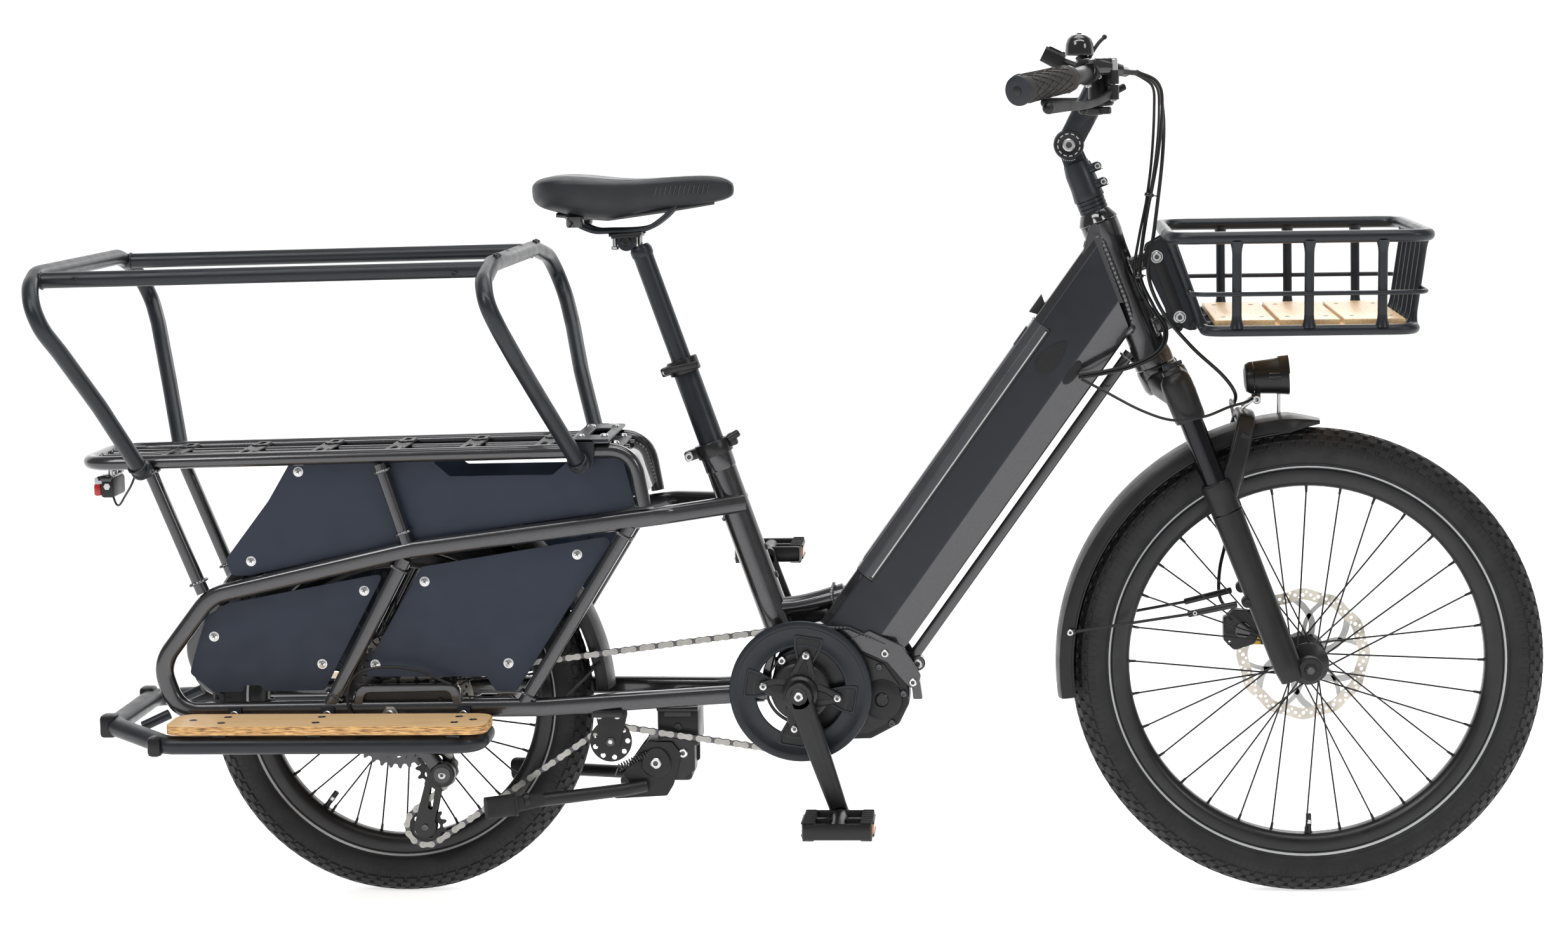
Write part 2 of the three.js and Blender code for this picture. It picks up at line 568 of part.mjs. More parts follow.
function fork() {
  const steerer = rod(HEAD.at(-30), HEAD.at(266), 14.3, 10);
  const seat = turned([[0, -34], [24, -32], [27, -6], [27, -0.6], [0, -0.6]], 14, HEAD.at(0), HEAD.dir);
  const shoulder = sweep(
    [HEAD.at(-22, 4, 0), HEAD.at(-30, 8, -30), HEAD.at(-42, LEG_AHEAD, -LEG_Y)],
    soft(44, 34, 9), { across: HEAD.front.clone() },
  );
  const socket = rod(HEAD.at(-16, LEG_AHEAD, -LEG_Y), leg(643), 20.5, 12);
  const stanchion = rod(leg(650), leg(452), 15.5, 12);
  piece("fork_crown", fuse(steerer, seat, both(fuse(shoulder, socket, stanchion))), "black_metal");

  const tube = sweep(
    [leg(558), leg(530), leg(470), leg(390), V(leg(340).x, -68, 340), V(leg(316).x, -70, 316), V(leg(298).x, -70, 298)],
    round(1, 10).map(([u, v]) => [u * 0.86, v]),
    { across: V(0, 1, 0), scale: (t) => [20.6, 20.4, 19.6, 18.6, 18, 17.5, 14][Math.round(t * 6)] },
  );
  const boss = pin([FRONT.x, FRONT.z], -78, -55, 16, 12);
  const stay = pin([1139, 402], -72, -58, 8, 8);
  const arch = sweep(
    rounded([V(1109, -LEG_Y, 548), V(1134, -58, 630), V(1138, -34, 644), V(1138, 34, 644), V(1134, 58, 630), V(1109, LEG_Y, 548)], 20),
    soft(22, 11, 3), { across: V(1, 0, 0) },
  );
  const bore = rod(leg(580), leg(408), 16.2, 12);
  const shafts = pin([FRONT.x, FRONT.z], -70, 70, 7.2, 12);
  const caliper = carve(
    fuse(block([1116, 1160], [38.5, 54], [322, 372]), block([1140, 1172], [49, 62], [330, 362])),
    block([1126, 1180], [43.8, 48], [300, 380]),
  );
  const lowers = carve(fuse(both(fuse(tube, boss, stay)), arch), both(bore));
  piece("fork_lowers", fuse(lowers, shafts, caliper), "black_metal");
}

// ---------------------------------------------------------------- handlebar
function stem() {
  const pivot = side(STEM_PIVOT, 0);
  const stack = turned(
    [[0, 205], [27, 205], [22.5, 214], [19, 218], [19, 274], [16, 282], [0, 282]],
    12, HEAD.at(0), HEAD.dir,
  );
  const knuckle = fuse(pin(STEM_PIVOT, -9, 9, 19, 14), bar(HEAD.at(270), HEAD.at(304), slab(18, 30), V(0, 1, 0)));
  const ears = [255, 277].map((t) =>
    fuse(rod(HEAD.at(t, 24, -13), HEAD.at(t, 24, 13), 6.5, 10), bar(HEAD.at(t, 12), HEAD.at(t, 25), slab(16, 11), V(0, 1, 0))),
  );
  const cut = [rod(HEAD.at(190), HEAD.at(267), 14.3 + GAP, 10), pin(STEM_PIVOT, -20, 20, 4.9, 8)];
  piece("stem_base", carve(fuse(stack, knuckle, ears), cut), "satin_tube");

  const clamp = side(BAR_CLAMP, 0);
  const reach = clamp.clone().sub(pivot);
  const on = (k) => pivot.clone().addScaledVector(reach, k);
  const arm = fuse(
    both(fuse(pin(STEM_PIVOT, -20, -9.5, 20, 14), pin(STEM_PIVOT, -23, -19, 9, 8))),
    pin(STEM_PIVOT, -20, 20, 4, 8),
    bar(on(0.26), on(0.9), soft(40, 34, 11), V(0, 1, 0)),
    both(bar(on(0.06).setY(-14.75), on(0.4).setY(-14.75), slab(10.5, 32), V(0, 1, 0))),
    pin(BAR_CLAMP, -22, 22, 18, 14),
  );
  const cradle = carve(arm, pin(BAR_CLAMP, -30, 30, 12.2, 8), bar(on(-0.2), on(0.24), slab(19, 60), V(0, 1, 0)));
  piece("stem_arm", fuse(cradle, pin(STEM_PIVOT, -12, 12, 4, 8)), "satin_tube");
}

const BAR_HALF = [V(BAR_CLAMP[0], -48, BAR_CLAMP[1]), V(934, -150, 1098)];
const gripPoint = (k) =>
  V(...GRIP_IN.map((v, i) => (v + (GRIP_OUT[i] - v) * k) * (i === 1 ? -1 : 1)));

function handlebar() {
  const half = [gripPoint(0.96), gripPoint(0), ...BAR_HALF.slice().reverse()];
  const tube = sweep(rounded([...half, ...half.map(flip).reverse()], 60), round(11, 8), { across: V(0, 0, 1) });
  const lever = both(fuse(
    bar(V(930, -165, 1098), V(934, -151, 1099), round(16, 10), V(0, 0, 1)),
    bar(V(936, -158, 1104), V(975, -118, 1099), slab(24, 26), V(0, 0, 1)),
    rod(V(972, -121, 1099), V(990, -96, 1096), 7, 8),
    rod(V(966, -138, 1098), V(966, -138, 1082), 7, 8),
  ));
  const pod = fuse(
    rod(V(949, -112, 1100), V(951, -112, 1054), 16, 10),
    bar(V(944, -112, 1096), V(944, -112, 1086), slab(20, 24), V(1, 0, 0)),
  );
  const bell = fuse(
    turned([[0, 1146], [12, 1144.5], [18, 1138], [18.5, 1119], [0, 1119]], 12, V(924, -72, 0), V(0, 0, 1)),
    rod(V(924, -72, 1122), V(944, -76, 1098), 7, 8),
    rod(V(936, -72, 1124), V(956, -62, 1142), 2.8, 6),
  );
  const display = fuse(
    bar(V(902, 142, 1112), V(878, 142, 1124), slab(46, 22), V(0, 1, 0)),
    rod(V(898, 142, 1112), V(936, 142, 1098), 8, 8),
  );
  piece("handlebar", fuse(tube, lever, pod, bell, display), "black_metal");

  const inner = rod(gripPoint(-0.2), gripPoint(0.965), 12.3, 8);
  const sleeve = rod(gripPoint(0.16), gripPoint(1.02), 16.5, 12, 19);
  pair("grip", carve(sleeve, inner), "soft_rubber");

  const blade = fuse(
    sweep(rounded([V(966, -138, 1070), V(944, -172, 1060), V(880, -300, 1056)], 20), slab(7, 12), { across: V(1, 0, 0) }),
    rod(V(966, -138, 1081.5), V(966, -138, 1062), 7, 8),
    rod(V(881, -301, 1047), V(881, -301, 1063), 8, 8),
  );
  pair("brake_lever", blade, "black_metal");
  const trigger = bar(V(951, -121, 1048), V(925, -150, 1048), slab(9, 6), V(0, 0, 1));
  piece("shift_lever", fuse(trigger, rod(V(951, -112, 1053), V(951, -112, 1044), 13, 10)), "black_plastic");
}

// ---------------------------------------------------------------- seat
function seat() {
  const lever = fuse(
    rod(SEAT.at(378, -20, -20), SEAT.at(378, -20, 16), 4.5, 8),
    bar(SEAT.at(378, -12), SEAT.at(378, -26), slab(20, 12), V(0, 1, 0)),
    bar(SEAT.at(378, -20, -19), SEAT.at(372, 12, -21), slab(5, 9), V(0, 1, 0)),
  );
  const lower = fuse(rod(SEAT.at(120), SEAT.at(384), 17.2, 14), rod(SEAT.at(370), SEAT.at(385), 21, 14), lever);
  piece("seatpost_lower", carve(lower, rod(SEAT.at(150), SEAT.at(400), 14, 14)), "satin_tube");
  const head = fuse(
    pin([322, 884], -15, 15, 13, 12),
    block([300, 340], [-29, 29], [882, 893.8]),
  );
  piece("seatpost_upper", fuse(rod(SEAT.at(300), SEAT.at(552), 13.6, 14), head), "satin_tube");

  const shell = [
    [197, 24, 934, 962], [206, 56, 928, 970], [232, 80, 922, 974], [268, 82, 914, 973], [306, 66, 914, 968],
    [346, 42, 922, 966], [390, 27, 930, 968], [432, 22, 934, 969], [458, 17, 938, 965], [467, 9, 944, 958],
  ];
  const rings = shell.map(([x, w, low, high]) =>
    Array.from({ length: 10 }, (_, i) => {
      const a = radians(36 * i + 18);
      const power = (v) => Math.sign(v) * Math.abs(v) ** 0.62;
      return V(x, w * power(Math.cos(a)), (low + high) / 2 + ((high - low) / 2) * power(Math.sin(a)));
    }),
  );
  const wires = both(sweep(
    rounded([V(238, -30, 930), V(284, -22, 898), V(352, -22, 901), V(396, -14, 940)], 14),
    round(3.4, 6),
  ));
  piece("saddle", fuse(loft(rings), wires), "saddle_cover");
}

// ---------------------------------------------------------------- drive
// Points of a chain over wheels, in travel order; turn is +1 where the wheel turns with the cranks.
function chainLine(wheels) {
  const n = wheels.length;
  const leave = wheels.map((w, i) => {
    const next = wheels[(i + 1) % n];
    const k = next.turn * next.r - w.turn * w.r;
    const [dx, dz] = [next.x - w.x, next.z - w.z];
    return Math.atan2(dz, dx) + Math.asin(k / Math.hypot(dx, dz));
  });
  return wheels.flatMap((w, i) => {
    const [from, to] = [leave[(i + n - 1) % n], leave[i]];
    let sweepAngle = (from - to) * w.turn;
    while (sweepAngle < 0) sweepAngle += 2 * Math.PI;
    while (sweepAngle > 2 * Math.PI) sweepAngle -= 2 * Math.PI;
    const steps = Math.max(1, Math.ceil(sweepAngle / 0.33));
    return Array.from({ length: steps + 1 }, (_, j) => {
      const a = from - (w.turn * sweepAngle * j) / steps;
      return V(w.x - w.turn * w.r * Math.sin(a), CHAIN_Y, w.z + w.turn * w.r * Math.cos(a));
    });
  });
}

function drive() {
  const circle = ([x, z], teeth, turn) => ({ x, z, r: pitchRadius(teeth), turn });
  const line = chainLine([
    circle([CRANK.x, CRANK.z], TEETH.chainring, 1),
    circle(IDLER, TEETH.idler, -1),
    circle(TENSION, TEETH.pulley, 1),
    circle(GUIDE, TEETH.pulley, -1),
    circle([REAR.x, REAR.z], TEETH.sprocket, 1),
  ]);
  piece("chain", sweep(line, slab(6, 7.6), { closed: true }), "chain_steel");

  const wheelOf = (centre, teeth, bore) =>
    turned(
      [[pitchRadius(teeth) - 4.7, -2.2], [pitchRadius(teeth) - 4.7, 2.2], [bore, 2.2], [bore, -2.2]],
      12, side(centre, CHAIN_Y),
    );
  piece("guide_pulley", wheelOf(GUIDE, TEETH.pulley, 3.6), "black_plastic");
  piece("tension_pulley", wheelOf(TENSION, TEETH.pulley, 3.6), "black_plastic");
  piece("idler_wheel", wheelOf(IDLER, TEETH.idler, 4.6), "black_plastic");

  const steps = [[-35.5, -39, 79], [-39, -46.4, 52], [-46.4, -53.6, 31.4], [-53.6, -66, 21]];
  const profile = steps.flatMap(([y0, y1, r]) => [[r, y0], [r, y1]]);
  piece("cassette", turned([[11.8, -35.5], ...profile, [11.8, -66]], 16, centreOf(REAR)), "bright_metal");

  const arm = bar(V(16, -68, 246), V(64, -68, 178), soft(14, 26, 5), V(0, 1, 0));
  const knuckle = pin([64, 174], -77, -59, 17, 14);
  const cage = [[-59.5, -56.5], [-44, -41.5]].map(([y0, y1]) =>
    fuse(
      bar(V(...[GUIDE[0], (y0 + y1) / 2, GUIDE[1]]), V(...[TENSION[0], (y0 + y1) / 2, TENSION[1]]), slab(y1 - y0, 15), V(0, 1, 0)),
      pin(GUIDE, y0, y1, 13, 12),
      pin(TENSION, y0, y1, 16, 12),
    ),
  );
  const pins = [pin(GUIDE, -58, -42, 3, 8), pin(TENSION, -58, -42, 3, 8)];
  const cable = sweep(
    rounded([V(20, -72, 236), V(-2, -88, 222), V(-40, -99, 244), V(-58, -101, 282), V(-40, -101, 322), V(20, -101, 326), V(84, -101, 302)], 24, false, 1),
    round(2, 5),
  );
  piece("derailleur", fuse(arm, knuckle, cage, pins, cable), "black_plastic");
}

function cranks() {
  const centre = [CRANK.x, CRANK.z];
  const end = (turn) => polar(CRANK, CRANK.length, CRANK.angle + turn);
  const crankArm = (turn, y0, y1) => {
    const tip = end(turn);
    const mid = (y0 + y1) / 2;
    return fuse(
      pin(centre, y0, y1, 17, 14),
      pin([tip.x, tip.z], y0, y1, 12, 12),
      loft([[10, 0.06], [15, 0.12], [11, 0.94]].map(([w, k]) => {
        const across = V(-Math.sin(radians(CRANK.angle + turn)), 0, Math.cos(radians(CRANK.angle + turn)));
        const at = side(centre, mid).lerp(tip.clone().setY(mid), k);
        return slab(y1 - y0, 2 * w).map(([u, v]) => at.clone().addScaledVector(across, v).add(V(0, u, 0)));
      })),
    );
  };
  const spindle = pin(centre, -90, 80, 12, 14);
  const rightTip = end(0);
  const leftTip = end(180);
  const stub = (tip, y0, y1) => pin([tip.x, tip.z], y0, y1, 5, 10);
  piece("crank_arm_right", fuse(crankArm(0, -98, -84), spindle, stub(rightTip, -190, -90)), "black_metal");
  const left = fuse(crankArm(180, 84, 98), stub(leftTip, 90, 190), pin(centre, 80.4, 86, 15, 14));
  piece("crank_arm_left", left, "black_metal");

  const toothed = pitchRadius(TEETH.chainring) - 5.6;
  const disc = turned([[62, -52], [toothed, -51], [toothed, -49], [62, -48]], FACETS, side(centre, 0));
  const ring = turned([[60, -60], [95, -60], [95, -56.5], [60, -56.5]], FACETS, side(centre, 0));
  const arms = ringOf(4, (a) => bar(polar(CRANK, 14, a, -62), polar(CRANK, 78, a, -60), slab(8, 26), V(0, 1, 0)), -9.5);
  const posts = ringOf(4, (a) => {
    const p = polar(CRANK, 70, a);
    return pin([p.x, p.z], -61, -49, 5, 6);
  }, -9.5);
  const boss = pin(centre, -80, -56, 24, 14);
  const chainring = carve(fuse(disc, ring, arms, posts, boss), pin(centre, -90, -40, 12 + GAP, 14));
  piece("chainring", chainring, "black_metal");

  const pedal = (tip) => {
    const outer = block([tip.x - 46, tip.x + 46], [-196, -104], [tip.z - 13, tip.z + 13]);
    const windows = [-1, 1].map((k) =>
      block([tip.x + k * 24 - 11, tip.x + k * 24 + 11], [-186, -114], [tip.z - 20, tip.z + 20]),
    );
    return carve(outer, windows, pin([tip.x, tip.z], -191, -90, 5.5, 10));
  };
  piece("pedal_right", pedal(rightTip), "black_plastic");
  piece("pedal_left", mirrored(pedal(leftTip)), "black_plastic");
}

// ---------------------------------------------------------------- basket
const BASKET = { top: [1036, 1362, 189, 887], bottom: [1080, 1345, 180, 768] };

function basket() {
  const rect = ([x0, x1, y, z]) => [V(x0, -y, z), V(x1, -y, z), V(x1, y, z), V(x0, y, z)];
  const rimTop = sweep(rounded(rect(BASKET.top), 34, true), round(8, 6), { closed: true, across: V(0, 0, 1) });
  const rimLow = sweep(rounded(rect(BASKET.bottom), 28, true), slab(12, 12), { closed: true, across: V(0, 0, 1) });
  const mid = BASKET.bottom.map((v, i) => v + (BASKET.top[i] - v) * 0.4);
  const wire = sweep(
    rounded(rect([mid[0], mid[1] + 6, mid[2] + 5, mid[3]]), 30, true, 2),
    round(3, 4), { closed: true, across: V(0, 0, 1) },
  );
  const sideBars = both(fuse([1119, 1210, 1302].map((x) =>
    rod(V(x, -BASKET.bottom[2], BASKET.bottom[3]), V(x, -BASKET.top[2], BASKET.top[3]), 6.4, 5))));
  const frontBars = both(fuse([24, 74, 124].map((y) =>
    bar(V(BASKET.bottom[1], -y, BASKET.bottom[3]), V(BASKET.top[1], -y, BASKET.top[3]), slab(9, 8)))));
  const rearBars = both(fuse([24, 76, 130].map((y) =>
    bar(V(BASKET.bottom[0], -y, BASKET.bottom[3]), V(BASKET.top[0], -y, BASKET.top[3]), slab(9, 8)))));
  const floorBars = both(rod(V(BASKET.bottom[0], -62, 767), V(BASKET.bottom[1], -62, 767), 5, 4));
  const cheek = both(plate(
    [[1006, 848], [1010, 870], [1042, 888], [1084, 772], [1070, 756], [1040, 768], [1036, 784]], [-24, -20.6], 6,
  ));
  const bolts = BRACKET_BOLTS.map((p) => fuse(pin(p, -27, 27, 4, 6), both(pin(p, -27.5, -22, 8, 6))));
  piece("basket", fuse(rimTop, rimLow, wire, sideBars, frontBars, rearBars, floorBars, cheek, bolts), "satin_tube");
  const slats = [0, 1, 2].map((i) => block([1092 + 82 * i, 1169 + 82 * i], [-165, 165], [773, 781]));
  const battens = both(block([1096, 1330], [-120, -104], [769, 774]));
  piece("basket_floor", fuse(slats, battens), "bamboo");
}

// ---------------------------------------------------------------- kickstand
function kickstand() {
  const lowerBlock = plate([[336, 214], [398, 214], [398, 158], [374, 158], [336, 172]], [-38, 38], 6);
  const tongue = carve(lowerBlock, pin(KICK_PIVOT, -60, 60, 6.6, 12));
  const top = block([352, 408], [-38, 38], [205, 256]);
  const cross = block([352, 408], [-46, 46], [254, 259]);
  piece("kickstand_mount", fuse(tongue, top, cross), "black_metal");

  const leg = fuse(
    pin(KICK_PIVOT, -47, -38.6, 20, 14),
    sweep(
      rounded([V(348, -47.5, 178), V(318, -60, 168), V(180, -112, 146)], 30),
      round(8.5, 10), { across: V(0, 0, 1) },
    ),
    sweep([V(196, -106, 148), V(150, -124, 142), V(131, -131, 141)], soft(24, 30, 7), { across: V(0, 1, 0) }),
  );
  piece("kickstand_legs", fuse(both(leg), pin(KICK_PIVOT, -45, 45, 6, 12)), "black_metal");
}

// ---------------------------------------------------------------- hoses and wires
const ROUTES = {
  cable_bundle: [4.2, [
    V(996, -88, 1096), V(1030, -62, 1080), V(1036, -36, 1046), V(1028, -30, 975), V(1006, -34, 880), V(1000, -35, 830),
    V(1016, -36, 782), V(1040, -40, 752), V(1024, -44, 730), V(975, -46, 708), V(920, -44, 700),
  ]],
  front_brake_hose: [2.5, [
    V(996, 88, 1096), V(1034, 56, 1080), V(1046, 4, 1044), V(1042, -24, 985), V(1020, -44, 890), V(1012, -46, 835),
    V(1030, -46, 785), V(1068, -46, 738), V(1108, -40, 700), V(1125, -34, 676), V(1126, -8, 660), V(1124, 44, 656),
    V(1132, 84, 622), V(1134, 93, 560), V(1122, 92, 470), V(1112, 86, 425), V(1110, 76, 392), V(1116, 60, 378),
    V(1128, 49, 375.6),
  ]],
  headlight_wire: [2, [
    V(924, -52, 697), V(953, -60, 682), V(1001, -82, 658), V(1042, -95, 646), V(1082, -92, 650), V(1116, -68, 660),
    V(1140, -36, 663), V(1149, -22, 666),
  ]],
};

function cords() {
  Object.entries(ROUTES).forEach(([name, [r, points]]) => {
    const line = new THREE.CatmullRomCurve3(points, false, "centripetal").getPoints(points.length * 2);
    piece(name, sweep(line, round(r, 5), { across: V(0, 1, 0) }), "hose");
  });
}

// ---------------------------------------------------------------- assembly
mainFrame();
trusses();
rack();
panels();
rails();
footboards();
mudguards();
headlight();
rearLight();
fork();
stem();
handlebar();
seat();
rearWheel();
frontWheel();
drive();
cranks();
basket();
kickstand();
cords();
root.position.x = -CENTRE_X;

export default root;
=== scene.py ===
"""Long-tail electric cargo bicycle: the detailed pieces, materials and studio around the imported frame.

Lengths below are in millimetres from the rear axle, x forward, y to the rider's left, z up from the ground.
"""
import math

import bmesh
import bpy
from mathutils import Matrix, Quaternion, Vector


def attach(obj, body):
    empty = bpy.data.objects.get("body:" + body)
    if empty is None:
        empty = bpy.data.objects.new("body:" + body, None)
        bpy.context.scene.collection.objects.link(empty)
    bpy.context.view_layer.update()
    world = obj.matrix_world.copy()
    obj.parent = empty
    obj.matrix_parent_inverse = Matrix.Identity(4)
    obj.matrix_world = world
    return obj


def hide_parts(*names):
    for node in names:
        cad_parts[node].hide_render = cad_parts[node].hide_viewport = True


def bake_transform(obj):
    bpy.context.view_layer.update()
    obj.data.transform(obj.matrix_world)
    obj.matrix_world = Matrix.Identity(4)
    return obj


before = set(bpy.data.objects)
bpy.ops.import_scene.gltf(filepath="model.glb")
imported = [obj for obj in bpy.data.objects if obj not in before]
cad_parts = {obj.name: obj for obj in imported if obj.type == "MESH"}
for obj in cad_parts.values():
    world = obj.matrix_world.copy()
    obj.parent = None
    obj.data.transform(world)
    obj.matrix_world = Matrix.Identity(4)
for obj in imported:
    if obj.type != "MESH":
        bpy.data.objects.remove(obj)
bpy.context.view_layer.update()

# ---------------------------------------------------------------- driving dimensions
CENTRE_X = 545.8  # middle of the whole length, seen from the rear axle
REAR = dict(x=0, z=262, tyre=262, bead=203)
FRONT = dict(x=1221, z=312.5, tyre=312.5, bead=253.5)
CRANK = dict(x=547.5, z=283, length=170, angle=-71.6)
CHAIN_Y, CHAIN_PITCH = -50, 12.7
GUIDE, TENSION, IDLER = (52, 178), (36, 99), (291, 216)
TRUSS_Y, RAIL_Y, LEG_Y, LEG_AHEAD = 85, 221, 65, 17
KICK_PIVOT, STEM_PIVOT, BAR_CLAMP = (350, 184), (910, 1003), (957, 1092)
GRIP_IN, GRIP_OUT = (918, 213, 1092.5), (845, 322, 1077)
BAR_BORE = 11.1  # inner radius of everything clamped to the bar
BLOCK_HEIGHT, BLOCK_SHARE, RIB_HALF = 3.0, 0.40, 0.0042 * 262  # tread: height, share of the pitch, half a rib's width
CAMERA = dict(place=(0.3113, -4.5185, 1.1101), yaw=-4.189, pitch=6.766, roll=-0.982,
              lens=78.04)  # metres, degrees, mm
FAR_CLIP = 60
BRACKET_BOLTS = [(1024, 855), (1054, 775)]


def V(x, y, z):
    return Vector((x, y, z))


def flip(p):
    return V(p[0], -p[1], p[2])


def metres(p):
    return ((p[0] - CENTRE_X) / 1000, p[1] / 1000, p[2] / 1000)


def straight(base, angle, forward):
    """A line in the middle plane: at(t, ahead, y) is t along it and "ahead" in front of it."""
    a = math.radians(angle)
    along = V(forward * math.cos(a), 0, math.sin(a))
    front = V(along.z, 0, -along.x)

    def at(t, ahead=0, y=0):
        p = V(base[0], 0, base[1]) + along * t + front * ahead
        return V(p.x, y, p.z)

    return along, front, at


HEAD_DIR, HEAD_FRONT, head = straight((1022, 710), 69, -1)
SEAT_DIR, SEAT_FRONT, seat = straight((517, 360), 70.9, -1)
DOWN_DIR, DOWN_FRONT, down = straight((0, 0), 54.3, 1)


# ---------------------------------------------------------------- materials
class Nodes:
    """Short names for building one material."""

    def __init__(self, name, base, rough, metal, **sockets):
        self.mat = bpy.data.materials.new(name)
        self.mat.use_nodes = True
        self.tree = self.mat.node_tree
        self.bsdf = self.tree.nodes["Principled BSDF"]
        self.set(Base_Color=(*base, 1), Roughness=rough, Metallic=metal, **sockets)
        self.coords = self.node("ShaderNodeTexCoord").outputs["Object"]
        self.height = None

    def set(self, **sockets):
        for key, value in sockets.items():
            self.bsdf.inputs[key.replace("_", " ")].default_value = value

    def node(self, kind, **inputs):
        n = self.tree.nodes.new(kind)
        for key, value in inputs.items():
            socket = n.inputs[key.replace("_", " ")]
            if isinstance(value, bpy.types.NodeSocket):
                self.tree.links.new(value, socket)
            else:
                socket.default_value = value
        return n

    def stretched(self, scale, turn=(0, 0, 0)):
        n = self.node("ShaderNodeMapping", Vector=self.coords, Scale=scale, Rotation=turn)
        return n.outputs["Vector"]

    def noise(self, scale, detail=3, vector=None, rough=0.5):
        n = self.node("ShaderNodeTexNoise", Vector=vector or self.coords, Scale=scale, Detail=detail, Roughness=rough)
        return n.outputs["Fac"]

    def ramp(self, fac, stops):
        n = self.node("ShaderNodeValToRGB", Fac=fac)
        n.color_ramp.elements.remove(n.color_ramp.elements[0])
        for i, (pos, value) in enumerate(stops):
            e = n.color_ramp.elements[0] if i == 0 else n.color_ramp.elements.new(pos)
            e.position = pos
            e.color = (value, value, value, 1) if isinstance(value, (int, float)) else (*value, 1)
        return n.outputs["Color"]

    def math(self, kind, a, b=0.0):
        n = self.tree.nodes.new("ShaderNodeMath")
        n.operation = kind
        for socket, value in zip(n.inputs, (a, b)):
            if isinstance(value, bpy.types.NodeSocket):
                self.tree.links.new(value, socket)
            else:
                socket.default_value = value
        return n.outputs[0]

    def link(self, key, output):
        self.tree.links.new(output, self.bsdf.inputs[key])
        return self

    def bump(self, output, strength, distance=0.001):
        n = self.node("ShaderNodeBump", Height=output, Strength=strength, Distance=distance)
        if self.height:
            self.tree.links.new(self.height, n.inputs["Normal"])
        self.height = n.outputs["Normal"]
        return self.link("Normal", self.height)


def shades(base, spread):
    return [tuple(c * k for c in base) for k in (1 - spread, 1, 1 + spread)]


def painted(name, base, rough, metal, spread=0.12, grain=900, bump=0.02, **sockets):
    """A coated or moulded surface: slow shade drift, grain, and uneven gloss."""
    m = Nodes(name, base, rough, metal, **sockets)
    low, mid, high = shades(base, spread)
    m.link("Base Color", m.ramp(m.noise(14, 4), [(0.3, low), (0.5, mid), (0.72, high)]))
    m.link("Roughness", m.ramp(m.noise(38, 5), [(0.3, rough * 0.82), (0.7, min(rough * 1.18, 1))]))
    return m.bump(m.noise(grain, 3), bump, 0.0006)


